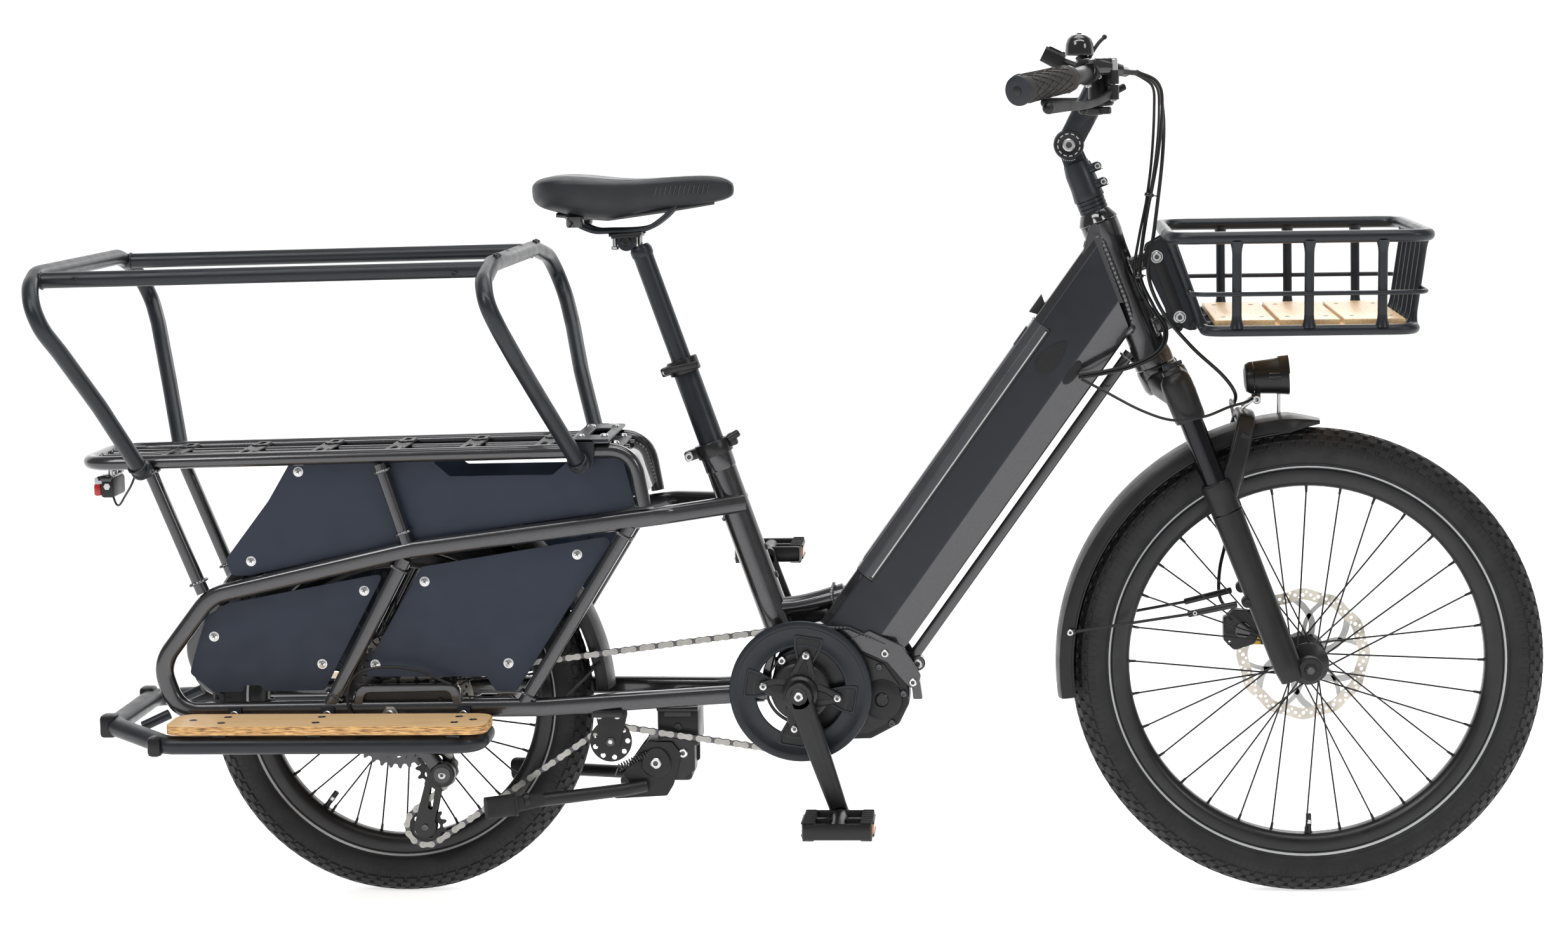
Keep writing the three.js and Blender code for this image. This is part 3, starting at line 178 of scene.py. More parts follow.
def make_materials():
    made = {}
    base = (0.052, 0.052, 0.055)
    m = Nodes("graphite_paint", base, 0.24, 0.85, Coat_Weight=0.8, Coat_Roughness=0.05)
    flakes = m.node("ShaderNodeTexVoronoi", Vector=m.coords, Scale=2600).outputs["Color"]
    spark = m.node("ShaderNodeSeparateColor", Color=flakes).outputs[0]
    m.link("Base Color", m.ramp(spark, [(0.0, (0.042, 0.042, 0.045)), (0.8, base), (1.0, (0.082, 0.081, 0.084))]))
    m.link("Roughness", m.ramp(m.noise(55, 5), [(0.3, 0.20), (0.7, 0.28)]))
    m.bump(m.noise(60, 2), 0.02, 0.0004)
    made["paint"] = m.mat
    rows = [
        ("satin", (0.0095, 0.0115, 0.0155), 0.34, 0.0, 0.12, 1300, 0.05),
        ("sheet", (0.0130, 0.0195, 0.0360), 0.44, 0.0, 0.10, 1100, 0.06),
        ("plastic", (0.0085, 0.0085, 0.0095), 0.42, 0.0, 0.15, 1600, 0.08),
        ("gloss_black", (0.006, 0.006, 0.007), 0.12, 0.0, 0.10, 300, 0.01),
        ("guard_blue", (0.0085, 0.0110, 0.0150), 0.36, 0.0, 0.12, 1200, 0.05),
        ("anodised", (0.0085, 0.0085, 0.0095), 0.32, 0.2, 0.15, 900, 0.03),
        ("fork_black", (0.0065, 0.0065, 0.0075), 0.40, 0.0, 0.12, 1200, 0.05),
        ("battery_grey", (0.072, 0.073, 0.080), 0.32, 0.6, 0.08, 1500, 0.04),
        ("rubber_foot", (0.012, 0.012, 0.0135), 0.7, 0.0, 0.15, 700, 0.1),
        ("cable", (0.006, 0.006, 0.0065), 0.34, 0.0, 0.15, 900, 0.02),
        ("grip", (0.034, 0.030, 0.028), 0.66, 0.0, 0.16, 1800, 0.12),
        ("grip_cap", (0.016, 0.019, 0.025), 0.45, 0.0, 0.10, 900, 0.04),
        ("sole", (0.009, 0.0095, 0.0115), 0.5, 0.0, 0.14, 1500, 0.12),
        ("lens_red", (0.42, 0.02, 0.02), 0.12, 0.0, 0.10, 300, 0.02),
        ("amber", (0.75, 0.16, 0.01), 0.16, 0.0, 0.12, 900, 0.1),
        ("stanchion", (0.025, 0.025, 0.028), 0.07, 0.9, 0.05, 300, 0.0),
        ("pad_gold", (0.42, 0.27, 0.05), 0.32, 0.9, 0.10, 800, 0.04),
        ("light_grey", (0.42, 0.43, 0.45), 0.4, 0.0, 0.06, 800, 0.04),
        ("facet", (0.016, 0.017, 0.0215), 0.36, 0.35, 0.06, 2200, 0.03),
        ("weld", (0.12, 0.12, 0.125), 0.22, 0.85, 0.10, 500, 0.03),
        ("alloy", (0.50, 0.50, 0.49), 0.42, 0.35, 0.06, 900, 0.04),
    ]
    for key, color, rough, metal, spread, grain, bump in rows:
        made[key] = painted(key, color, rough, metal, spread, grain, bump).mat
    made["gloss_black"].node_tree.nodes["Principled BSDF"].inputs["Coat Weight"].default_value = 0.6
    m = painted("tread", (0.0105, 0.0105, 0.0115), 0.62, 0, 0.18, 1400, 0.12)
    made["tread"] = m.bump(m.noise(60, 5), 0.12, 0.0008).mat
    made["stripe"] = painted("stripe", (0.62, 0.63, 0.64), 0.34, 0.35, 0.08, 2200, 0.1).mat
    for key, color, rough in [("steel", (0.55, 0.55, 0.55), 0.24), ("bronze", (0.52, 0.48, 0.42), 0.28),
                              ("chain", (0.34, 0.33, 0.31), 0.36), ("dark_steel", (0.09, 0.09, 0.095), 0.34)]:
        m = painted(key, color, rough, 1.0, 0.16, 700, 0.05)
        made[key] = m.bump(m.noise(1, 3, m.stretched((90, 90, 2600))), 0.04, 0.0005).mat
    for key, along in [("bamboo_x", (14, 420, 420)), ("bamboo_y", (420, 14, 420))]:
        m = Nodes(key, (0.62, 0.36, 0.13), 0.42, 0, Coat_Weight=0.25, Coat_Roughness=0.25)
        streaks = m.noise(1, 5, m.stretched(along), 0.6)
        dim = 0.82 if key == "bamboo_y" else 1.0
        tone = [(at, [dim * c for c in rgb]) for at, rgb in
                [(0.25, (0.62, 0.36, 0.15)), (0.5, (0.78, 0.52, 0.26)), (0.75, (0.86, 0.62, 0.36))]]
        m.link("Base Color", m.ramp(streaks, tone))
        made[key] = m.bump(streaks, 0.12, 0.0008).mat
    m = Nodes("ply_edge", (0.5, 0.3, 0.12), 0.55, 0)
    layers = m.noise(1, 2, m.stretched((60, 60, 900)))
    m.link("Base Color", m.ramp(layers, [(0.36, (0.16, 0.075, 0.03)), (0.5, (0.52, 0.28, 0.09)),
                                         (0.62, (0.70, 0.44, 0.18))]))
    made["ply_edge"] = m.bump(layers, 0.3, 0.001).mat
    m = painted("saddle", (0.0105, 0.0115, 0.0145), 0.46, 0, 0.10, 2400, 0.14)
    made["saddle"] = m.bump(m.noise(700, 4), 0.16, 0.0006).mat
    m = painted("saddle_gloss", (0.012, 0.013, 0.016), 0.26, 0, 0.10, 2400, 0.05)
    made["saddle_gloss"] = m.mat
    m = painted("clear_lens", (0.75, 0.77, 0.80), 0.08, 0, 0.04, 300, 0.02, Transmission_Weight=0.7, IOR=1.49)
    made["clear_lens"] = m.mat
    for key in ("satin", "sheet", "plastic", "guard_blue", "fork_black", "rubber_foot", "cable", "tread", "saddle",
                "sole", "grip", "grip_cap"):
        made[key].node_tree.nodes["Principled BSDF"].inputs["Specular IOR Level"].default_value = 0.36
    return made


MAT = make_materials()


# ---------------------------------------------------------------- mesh tools
def circle(r, n=16, r2=None):
    return [(r * math.cos(2 * math.pi * i / n), (r2 or r) * math.sin(2 * math.pi * i / n)) for i in range(n)]


def squircle(w, h, c, n=4):
    """A box section w by h with corners of radius c."""
    out = []
    for k, (sx, sy) in enumerate([(1, 1), (-1, 1), (-1, -1), (1, -1)]):
        for i in range(n + 1):
            a = math.pi / 2 * (k + i / n)
            out.append((sx * (w / 2 - c) + c * math.cos(a), sy * (h / 2 - c) + c * math.sin(a)))
    return out


def rounded(points, radius, closed=False, steps=8):
    """A line of corners with each corner rounded."""
    points = [Vector(p) for p in points]
    n = len(points)
    radii = radius if isinstance(radius, (list, tuple)) else [radius] * n
    out = []
    for i, b in enumerate(points):
        if not closed and i in (0, n - 1):
            out.append(b.copy())
            continue
        u, w = points[i - 1] - b, points[(i + 1) % n] - b
        cut = min(radii[i] / math.tan(u.angle(w) / 2), 0.48 * u.length, 0.48 * w.length)
        p, q = b + u.normalized() * cut, b + w.normalized() * cut
        for k in range(steps + 1):
            t = k / steps
            out.append(p * (1 - t) ** 2 + b * 2 * t * (1 - t) + q * t * t)
    return out


def spline(points, per=8, closed=False):
    """A smooth line through the points."""
    pts = [Vector(p) for p in points]
    n = len(pts)
    out = []
    for i in range(n if closed else n - 1):
        p1, p2 = pts[i], pts[(i + 1) % n]
        p0 = pts[i - 1] if closed or i > 0 else p1 * 2 - p2
        p3 = pts[(i + 2) % n] if closed or i + 2 < n else p2 * 2 - p1
        for k in range(per):
            t = k / per
            out.append(0.5 * (2 * p1 + (p2 - p0) * t + (2 * p0 - 5 * p1 + 4 * p2 - p3) * t * t
                              + (3 * p1 - p0 - 3 * p2 + p3) * t ** 3))
    return out if closed else out + [pts[-1].copy()]


def rounded_loop(points, radius, steps=5):
    return [(q.x, q.y) for q in rounded([V(u, v, 0) for u, v in points], radius, True, steps)]


class Piece:
    """One named piece: mesh data gathered in millimetres, made into an object by done()."""

    def __init__(self, name, body, *stands_for, slot=None):
        self.name, self.body, self.stands_for, self.slot = name, body, stands_for, slot
        self.verts, self.faces, self.looks, self.keys = [], [], [], []

    def add(self, verts, faces, look):
        start = len(self.verts)
        self.verts += [tuple(v) for v in verts]
        self.faces += [tuple(start + i for i in f) for f in faces]
        if look not in self.keys:
            self.keys.append(look)
        self.looks += [self.keys.index(look)] * len(faces)
        return self

    def sweep(self, points, section, look, closed=False, across=(0, 1, 0), scale=None):
        """A section carried along a line; scale(t) gives its size at t from 0 to 1."""
        pts = [Vector(p) for p in points]
        n, m = len(pts), len(section)
        carried = Vector(across)
        if abs(carried.normalized().dot((pts[1] - pts[0]).normalized())) > 0.98:
            carried = V(1, 0, 0) if abs((pts[1] - pts[0]).normalized().x) < 0.9 else V(0, 0, 1)
        verts = []
        for i, p in enumerate(pts):
            before = pts[i - 1] if closed or i else pts[0]
            after = pts[(i + 1) % n] if closed or i < n - 1 else pts[-1]
            into, out = (p - before), (after - p)
            into = into.normalized() if into.length > 1e-6 else out.normalized()
            out = out.normalized() if out.length > 1e-6 else into
            along = (into + out).normalized()
            bend = max(math.cos(into.angle(out, 0) / 2), 0.5)
            carried = (carried - along * carried.dot(along)).normalized()
            up = along.cross(carried)
            turn = out - into
            t = i / max(n - 1, 1)
            k = scale(t) if scale else 1
            ku, kv = k if isinstance(k, tuple) else (k, k)
            for u, v in section:
                off = carried * (u * ku) + up * (v * kv)
                if turn.length > 1e-4:
                    w = turn.normalized()
                    off = off + w * (off.dot(w) * (1 / bend - 1))
                verts.append(p + off)
        faces = []
        for i in range(n if closed else n - 1):
            a, b = i * m, (i + 1) % n * m
            for j in range(m):
                k = (j + 1) % m
                faces.append((a + j, a + k, b + k, b + j))
        if not closed:
            faces.append(tuple(reversed(range(m))))
            faces.append(tuple((n - 1) * m + j for j in range(m)))
        return self.add(verts, faces, look)

    def tube(self, points, r, look, n=16, closed=False, scale=None, across=(0, 1, 0)):
        return self.sweep(points, circle(r, n), look, closed, across, scale)

    def rod(self, a, b, r, look, n=20, r2=None, edge=0.6):
        """A straight round bar with broken edges."""
        a, b = Vector(a), Vector(b)
        length = (b - a).length
        r2 = r if r2 is None else r2
        edge = min(edge, length / 3, r / 2)
        profile = [(0, 0), (r - edge, 0), (r, edge), (r2, length - edge), (r2 - edge, length), (0, length)]
        return self.lathe(profile, a, b - a, look, n)

    def lathe(self, profile, centre, axis, look, n=32, closed=False, start=0.0, turn=360.0):
        """A profile of (radius, along) turned about an axis; closed joins its last point to its first."""
        q = V(0, 0, 1).rotation_difference(Vector(axis).normalized())
        centre = Vector(centre)
        whole = turn >= 360
        rows = n if whole else n + 1
        verts, faces, rings = [], [], []
        for r, t in profile:
            if r <= 1e-6:
                rings.append([len(verts)] * rows)
                verts.append(centre + q @ V(0, 0, t))
                continue
            ring = []
            for i in range(rows):
                a = math.radians(start + turn * i / n)
                ring.append(len(verts))
                verts.append(centre + q @ V(r * math.cos(a), r * math.sin(a), t))
            rings.append(ring)
        pairs = list(zip(rings, rings[1:]))
        if closed:
            pairs.append((rings[-1], rings[0]))
        for lo, hi in pairs:
            for i in range(rows if whole else rows - 1):
                k = (i + 1) % rows
                face = [lo[i], lo[k], hi[k], hi[i]]
                face = [v for j, v in enumerate(face) if v not in face[:j]]
                if len(face) > 2:
                    faces.append(tuple(face))
        if not whole:
            faces.append(tuple(ring[0] for ring in rings))
            faces.append(tuple(reversed([ring[-1] for ring in rings])))
        return self.add(verts, faces, look)

    def plate(self, outline, depth, look, radius=0.0, holes=(), bevel=0.8, place=None, steps=6):
        """A flat outline of (u, v) with rounded corners and holes, from depth[0] to depth[1].

        It stands in the x-z plane with its depth along y, unless place, a 4x4 matrix, puts it elsewhere.
        """
        curve = bpy.data.curves.new("outline", "CURVE")
        curve.dimensions, curve.fill_mode = "2D", "BOTH"
        loops = [rounded([V(u, v, 0) for u, v in outline], radius, True, steps) if radius
                 else [V(u, v, 0) for u, v in outline]]
        for hole in holes:
            if len(hole) == 3 and not hasattr(hole[0], "__len__"):
                u, v, r = hole
                loops.append([V(u + x, v + y, 0) for x, y in circle(r, 20)])
            else:
                loops.append([V(u, v, 0) for u, v in hole])
        for loop in loops:
            s = curve.splines.new("POLY")
            s.points.add(len(loop) - 1)
            for point, p in zip(s.points, loop):
                point.co = (p.x, p.y, 0, 1)
            s.use_cyclic_u = True
        half = (depth[1] - depth[0]) / 2
        bevel = min(bevel, half * 0.8)
        curve.extrude = half - bevel
        curve.bevel_depth = bevel
        curve.bevel_resolution = 1
        curve.offset = -bevel
        holder = bpy.data.objects.new("outline", curve)
        mesh = bpy.data.meshes.new_from_object(holder)
        upright = Matrix(((1, 0, 0, 0), (0, 0, 1, (depth[0] + depth[1]) / 2), (0, 1, 0, 0), (0, 0, 0, 1)))
        matrix = upright if place is None else place @ Matrix.Translation((0, 0, (depth[0] + depth[1]) / 2))
        verts = [matrix @ v.co for v in mesh.vertices]
        self.add(verts, [tuple(p.vertices) for p in mesh.polygons], look)
        bpy.data.objects.remove(holder)
        bpy.data.meshes.remove(mesh)
        bpy.data.curves.remove(curve)
        return self

    def box(self, x, y, z, look, bevel=1.5, place=None, steps=2):
        bm = bmesh.new()
        bmesh.ops.create_cube(bm, size=1)
        size = [max(b - a, 0.01) for a, b in (x, y, z)]
        middle = [(a + b) / 2 for a, b in (x, y, z)]
        for v in bm.verts:
            v.co = Vector([c * s for c, s in zip(v.co, size)])
        bevel = min(bevel, min(size) * 0.45)
        bmesh.ops.bevel(bm, geom=bm.edges[:], offset=bevel, segments=steps, affect="EDGES", profile=0.5)
        verts = [v.co + Vector(middle) for v in bm.verts]
        if place is not None:
            verts = [place @ v for v in verts]
        bm.verts.index_update()
        self.add(verts, [tuple(v.index for v in f.verts) for f in bm.faces], look)
        bm.free()
        return self

    def ball(self, centre, r, look, n=16, squash=(1, 1, 1)):
        rows = [(r * math.sin(math.pi * i / n), -r * math.cos(math.pi * i / n)) for i in range(n + 1)]
        rows[0], rows[-1] = (0, -r), (0, r)
        start = len(self.verts)
        self.lathe(rows, (0, 0, 0), (0, 0, 1), look, n * 2)
        c = Vector(centre)
        for i in range(start, len(self.verts)):
            v = self.verts[i]
            self.verts[i] = tuple(c[k] + v[k] * squash[k] for k in range(3))
        return self

    def bead(self, points, r, look="weld", closed=True, pitch=5.0):
        """A weld seam: a rippled roll of metal along a line."""
        pts = [Vector(p) for p in points]
        loop = pts + [pts[0]] if closed else pts
        total = sum((b - a).length for a, b in zip(loop, loop[1:]))
        count = max(int(total / pitch), 4)
        step, out, need, run = total / (count * 4), [], 0.0, 0.0
        for a, b in zip(loop, loop[1:]):
            length = (b - a).length
            while need <= run + length + 1e-6 and len(out) < count * 4 + (0 if closed else 1):
                out.append(a.lerp(b, (need - run) / max(length, 1e-6)))
                need += step
            run += length
        sizes = [1.0, 0.93, 0.8, 0.93]
        n = len(out)
        return self.sweep(out, circle(r, 8), look, closed, scale=lambda t: sizes[round(t * (n - 1)) % 4])

    def done(self, angle=32, flipped=False):
        mesh = bpy.data.meshes.new(self.name)
        sign = -1 if flipped else 1
        verts = [metres((x, sign * y, z)) for x, y, z in self.verts]
        faces = [tuple(reversed(f)) for f in self.faces] if flipped else self.faces
        mesh.from_pydata(verts, [], faces)
        mesh.validate()
        for key in self.keys:
            mesh.materials.append(MAT[key])
        if len(mesh.polygons) == len(self.looks):
            mesh.polygons.foreach_set("material_index", self.looks)
        bm = bmesh.new()
        bm.from_mesh(mesh)
        bmesh.ops.recalc_face_normals(bm, faces=bm.faces[:])
        bm.to_mesh(mesh)
        bm.free()
        mesh.shade_smooth()
        mesh.set_sharp_from_angle(angle=math.radians(angle))
        obj = bpy.data.objects.new(self.name, mesh)
        bpy.context.scene.collection.objects.link(obj)
        if self.body:
            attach(obj, self.body)
        if self.stands_for:
            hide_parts(*self.stands_for)
        return obj


def polar(wheel, r, degrees, y=0.0):
    a = math.radians(degrees)
    return V(wheel["x"] + r * math.cos(a), y, wheel["z"] + r * math.sin(a))


def bar_ring(p, half, shoulder, outer, at, direction):
    """A clamp ring around the handlebar with chamfered edges."""
    profile = [(BAR_BORE, -half), (shoulder, -half), (outer, 1 - half), (outer, half - 1), (shoulder, half),
               (BAR_BORE, half)]
    p.lathe(profile, at, direction, "anodised", 36, closed=True)


def hex_bolt(p, at, direction, r, look="steel", depth=4.0):
    """A round head with a hexagon socket, standing on the surface at "at"."""
    at, direction = Vector(at), Vector(direction).normalized()
    r0 = r * 0.48
    profile = [(0, depth * 0.35), (r0, depth * 0.35), (r0, depth), (r * 0.82, depth), (r, depth * 0.7), (r, 0),
               (0, 0)]
    p.lathe(profile[1:-1], at, direction, look, 24)
    q = V(0, 0, 1).rotation_difference(direction)
    floor = [at + q @ V(x, y, depth * 0.35) for x, y in circle(r0, 6)]
    p.add(floor, [tuple(range(6))], "dark_steel" if look == "steel" else look)


def screw_head(p, at, direction, r, look="steel", depth=1.6):
    """A washer and a flat head with a cross recess."""
    at, direction = Vector(at), Vector(direction).normalized()
    p.lathe([(0, 0), (r * 1.3, 0), (r * 1.3, 0.8), (r, 0.9), (r * 0.95, depth), (r * 0.6, depth * 1.35),
             (0, depth * 1.45)],
            at, direction, look, 24)
    q = V(0, 0, 1).rotation_difference(direction)
    for k in (0, 1):
        turn = Matrix.Translation(at) @ (q @ Quaternion((0, 0, 1), math.pi / 2 * k + 0.5)).to_matrix().to_4x4()
        p.box((-r * 0.55, r * 0.55), (-r * 0.11, r * 0.11), (depth * 1.3, depth * 1.55), "dark_steel", 0.1, turn, 1)


# ---------------------------------------------------------------- camera, floor and light
def make_camera():
    data = bpy.data.cameras.new("camera")
    data.sensor_width, data.lens = 36.0, CAMERA["lens"]
    data.clip_end = FAR_CLIP
    yaw, pitch, roll = (math.radians(CAMERA[a]) for a in ("yaw", "pitch", "roll"))
    ahead = V(math.sin(yaw) * math.cos(pitch), math.cos(yaw) * math.cos(pitch), -math.sin(pitch))
    right = ahead.cross(V(0, 0, 1)).normalized()
    up = right.cross(ahead)
    right2 = right * math.cos(roll) + up * math.sin(roll)
    up2 = up * math.cos(roll) - right * math.sin(roll)
    cam = bpy.data.objects.new("camera", data)
    turn = Matrix((right2, up2, -ahead)).transposed().to_4x4()
    cam.matrix_world = Matrix.Translation(V(*CAMERA["place"])) @ turn
    bpy.context.scene.collection.objects.link(cam)
    bpy.context.scene.camera = cam


def make_studio():
    # one pale sheet: flat under the bicycle, and curving up far behind it
    profile = [(-30, 0), (6, 0)] + [(6 + 5 * math.sin(a),
                                     5 - 5 * math.cos(a)) for a in (math.pi / 2 * k / 12 for k in range(1,
                                             13))] + [(11, 16)]
    floor_mesh = bpy.data.meshes.new("floor")
    n = len(profile)
    floor_mesh.from_pydata([(x, y, z) for x in (-30, 30) for y, z in profile], [],
                           [(i, n + i, n + i + 1, i + 1) for i in range(n - 1)])
    floor_mesh.shade_smooth()
    floor = bpy.data.objects.new("floor", floor_mesh)
    bpy.context.scene.collection.objects.link(floor)
    m = Nodes("floor", (0.9, 0.9, 0.9), 0.95, 0, Specular_IOR_Level=0.1, Emission_Color=(1, 1, 1, 1),
              Emission_Strength=0.66)
    m.link("Base Color", m.ramp(m.noise(2, 2), [(0.3, (0.89, 0.89, 0.89)), (0.7, (0.91, 0.91, 0.91))]))
    floor_mesh.materials.append(m.mat)
    world = bpy.data.worlds.new("studio")
    world.use_nodes = True
    world.node_tree.nodes["Background"].inputs["Color"].default_value = (1, 1, 1, 1)
    world.node_tree.nodes["Background"].inputs["Strength"].default_value = 0.32
    bpy.context.scene.world = world
    lamps = [
        ("key", (-2.6, -3.6, 3.8), 1.4, 60),
        ("fill", (3.6, -3.2, 2.6), 1.1, 30),
        ("top", (0.2, 0.2, 4.0), 2.4, 55),
        ("back", (1.2, 4.2, 3.0), 1.8, 40),
        ("strip", (0.0, -1.5, 3.2), 4.0, 42),
    ]
    for name, place, size, watts in lamps:
        data = bpy.data.lights.new(name, "AREA")
        data.size, data.energy = size, watts
        if name == "strip":
            data.shape, data.size_y = "RECTANGLE", 0.35
        lamp = bpy.data.objects.new(name, data)
        lamp.location = place
        lamp.rotation_euler = (V(0, 0, 0.55) - Vector(place)).to_track_quat("-Z", "Y").to_euler()
        bpy.context.scene.collection.objects.link(lamp)
    bpy.context.scene.view_settings.view_transform = "Standard"


make_camera()
make_studio()


# ---------------------------------------------------------------- wheels
def tyre(name, body, node, wheel, knobs):
    """A casing with a round crown, tread blocks on crown and shoulders, and a reflective stripe on each wall."""
    p = Piece(name, body, node, slot="tyre_rubber")
    half, wall = 29.5, 4.0
    middle = wheel["tyre"] - half
    bead = wheel["bead"]

    def arc(r, a0, a1, steps):
        return [(middle + r * math.cos(math.radians(a0 + (a1 - a0) * i / steps)),
                 r * math.sin(math.radians(a0 + (a1 - a0) * i / steps))) for i in range(steps + 1)]

    body_r = half - 2.4
    outer = [(bead - 1.5, -12.4), (bead + 3.0, -13.4), (bead + 6.2, -14.6)] + arc(body_r, -128, 128, 26)
    outer += [(bead + 6.2, 14.6), (bead + 3.0, 13.4), (bead - 1.5, 12.4), (bead - 1.5, 9)]
    inner = arc(half - wall - 2, 128, -128, 10)
    p.lathe(outer + inner + [(bead - 1.5, -9)], (wheel["x"], 0, wheel["z"]), (0, 1, 0), "tread", 128, closed=True)
    # raised ribs on the wall beside the stripe
    for s in (-1, 1):
        for r, w, h in [(bead + 13.5, 1.0, 0.5), (bead + 5.6, 0.8, 0.7)]:
            y = s * math.sqrt(max(body_r ** 2 - (r - middle) ** 2, 0)) if abs(r - middle) < body_r else s * 15
            p.lathe([(r - w, y - s * 0.5), (r, y + s * h), (r + w, y - s * 0.2)], (wheel["x"], 0, wheel["z"]),
                    (0, 1, 0),
                    "tread", 128)
    stripe = []
    for r in (bead + 6.9, bead + 7.6, bead + 8.8, bead + 9.6):
        stripe.append((r, math.sqrt(body_r ** 2 - (r - middle) ** 2) + 0.25))
    for s in (-1, 1):
        p.lathe([(r, s * y) for r, y in stripe], (wheel["x"], 0, wheel["z"]), (0, 1, 0), "stripe", 128)
    # tread blocks: rows across the crown, each a low block standing on the casing
    rows = [(-47, 13, 0.0), (-27, 15, 0.5), (-9, 13, 0.0), (9, 13, 0.5), (27, 15, 0.0), (47, 13, 0.5), (-63, 9, 0.5),
            (63, 9, 0.0)]
    for angle, width, phase in rows:
        a = math.radians(angle)
        r0, y0 = middle + (body_r - 0.6) * math.cos(a), (body_r - 0.6) * math.sin(a)
        tall = BLOCK_HEIGHT - 0.6 * abs(angle) / 63
        out = (math.cos(a), math.sin(a))
        over = (-math.sin(a), math.cos(a))
        slant = 0.22 if angle > 0 else -0.22
        for i in range(knobs):
            t = 2 * math.pi * (i + phase) / knobs
            step = 2 * math.pi / knobs
            span = step * BLOCK_SHARE
            verts = []
            for up, shrink in ((0, 1.0), (tall, 0.86)):
                for u, v in ((-1, -1), (1, -1), (1, 1), (-1, 1)):
                    across = v * width / 2 * shrink
                    ang = t + u * span * shrink + slant * across / wheel["tyre"]
                    rr = r0 + out[0] * up + over[0] * across
                    yy = y0 + out[1] * up + over[1] * across
                    verts.append(V(wheel["x"] + rr * math.cos(ang), yy, wheel["z"] + rr * math.sin(ang)))
            p.add(verts, [(4, 5, 6, 7), (0, 1, 5, 4), (1, 2, 6, 5), (2, 3, 7, 6), (3, 0, 4, 7)], "tread")
    # fine cross ribs on the shoulder, below the blocks
    for s in (-1, 1):
        for i in range(knobs * 2):
            t = 2 * math.pi * i / (knobs * 2)
            verts = []
            for ang0, up in ((76, -0.3), (92, -0.3), (76, 0.8), (92, 0.5)):
                a = math.radians(ang0)
                rr, yy = middle + (body_r + up) * math.cos(a), s * (body_r + up) * math.sin(a)
                for u in (-1, 1):
                    ang = t + u * RIB_HALF / wheel["tyre"]
                    verts.append(V(wheel["x"] + rr * math.cos(ang), yy, wheel["z"] + rr * math.sin(ang)))
            p.add(verts, [(4, 5, 7, 6), (0, 1, 5, 4), (2, 6, 7, 3), (0, 4, 6, 2), (1, 3, 7, 5)], "tread")
    return p.done(30)


def rim(name, body, node, wheel, valve=None):
    """A double wall rim with hooked edges, spoke eyelets and the valve."""
    p = Piece(name, body, node, slot="black_metal")
    b = wheel["bead"]
    profile = [(b + 4.4, 15.3), (b + 4.4, 14.0), (b + 1, 13.4), (b - 5, 13.4), (b - 7, 9), (b - 7, -9),
               (b - 5, -13.4),
               (b + 1, -13.4), (b + 4.4, -14.0), (b + 4.4, -15.3), (b + 2, -15.6), (b - 8, -15.6), (b - 12, -14.2),
               (b - 17, -9.6), (b - 18.4, -7), (b - 18.4, 7), (b - 17, 9.6), (b - 12, 14.2), (b - 8, 15.6),
               (b + 2, 15.6)]
    p.lathe(profile, (wheel["x"], 0, wheel["z"]), (0, 1, 0), "anodised", 128, closed=True)
    for i in range(32):
        a = 360 / 32 * i
        at = polar(wheel, b - 18.2, a, (3 if i % 2 else -3))
        inward = (polar(wheel, 0, 0) - polar(wheel, 10, a)).normalized()
        p.lathe([(3.4, 0), (3.2, 0.6), (2.0, 0.9), (1.7, 9), (0, 9)], at, inward, "cable", 12)
    if valve is not None:
        at = polar(wheel, b - 17.5, valve)
        inward = (polar(wheel, 0, 0) - polar(wheel, 10, valve)).normalized()
        p.lathe([(5.2, 0), (5.2, 1.5), (3.9, 3), (3.4, 9), (3.8, 10), (3.8, 26), (3.0, 27), (0, 27)], at, inward,
                "cable", 20)
        p.lathe([(3.9, 13), (4.3, 13.5), (4.3, 18), (3.9, 18.5)], at, inward, "steel", 20)
    return p.done(30)


def hub(name, body, node, wheel, profile, flange_r, flange_y):
    """Hub shell, flanges with spoke holes, and crossed spokes with bent elbows."""
    p = Piece(name, body, node, slot="black_metal")
    p.lathe(profile, (wheel["x"], 0, wheel["z"]), (0, 1, 0), "anodised", 48, closed=True)
    reach = wheel["bead"] - 24
    for i in range(32):
        a = 360 / 32 * i
        left = 1 if i % 2 else -1
        lean = 34 if i % 4 < 2 else -34
        y = left * (flange_y + (2.6 if lean > 0 else -2.6))
        hole = polar(wheel, flange_r, a + lean, left * flange_y)
        start = polar(wheel, flange_r, a + lean, y)
        end = polar(wheel, reach, a, left * 3)
        along = (end - start).normalized()
        p.tube([hole, start + (hole - start) * 0.25 + along * 0.6, start + along * 3, end], 1.25, "fork_black", 6)
        p.lathe([(0, 0), (1.9, 0.2), (1.7, 1.2), (0, 1.6)], hole - V(0, (y - left * flange_y) * 0.7, 0),
                (0, -(y - left * flange_y), 0), "dark_steel", 8)
    return p.done(32)


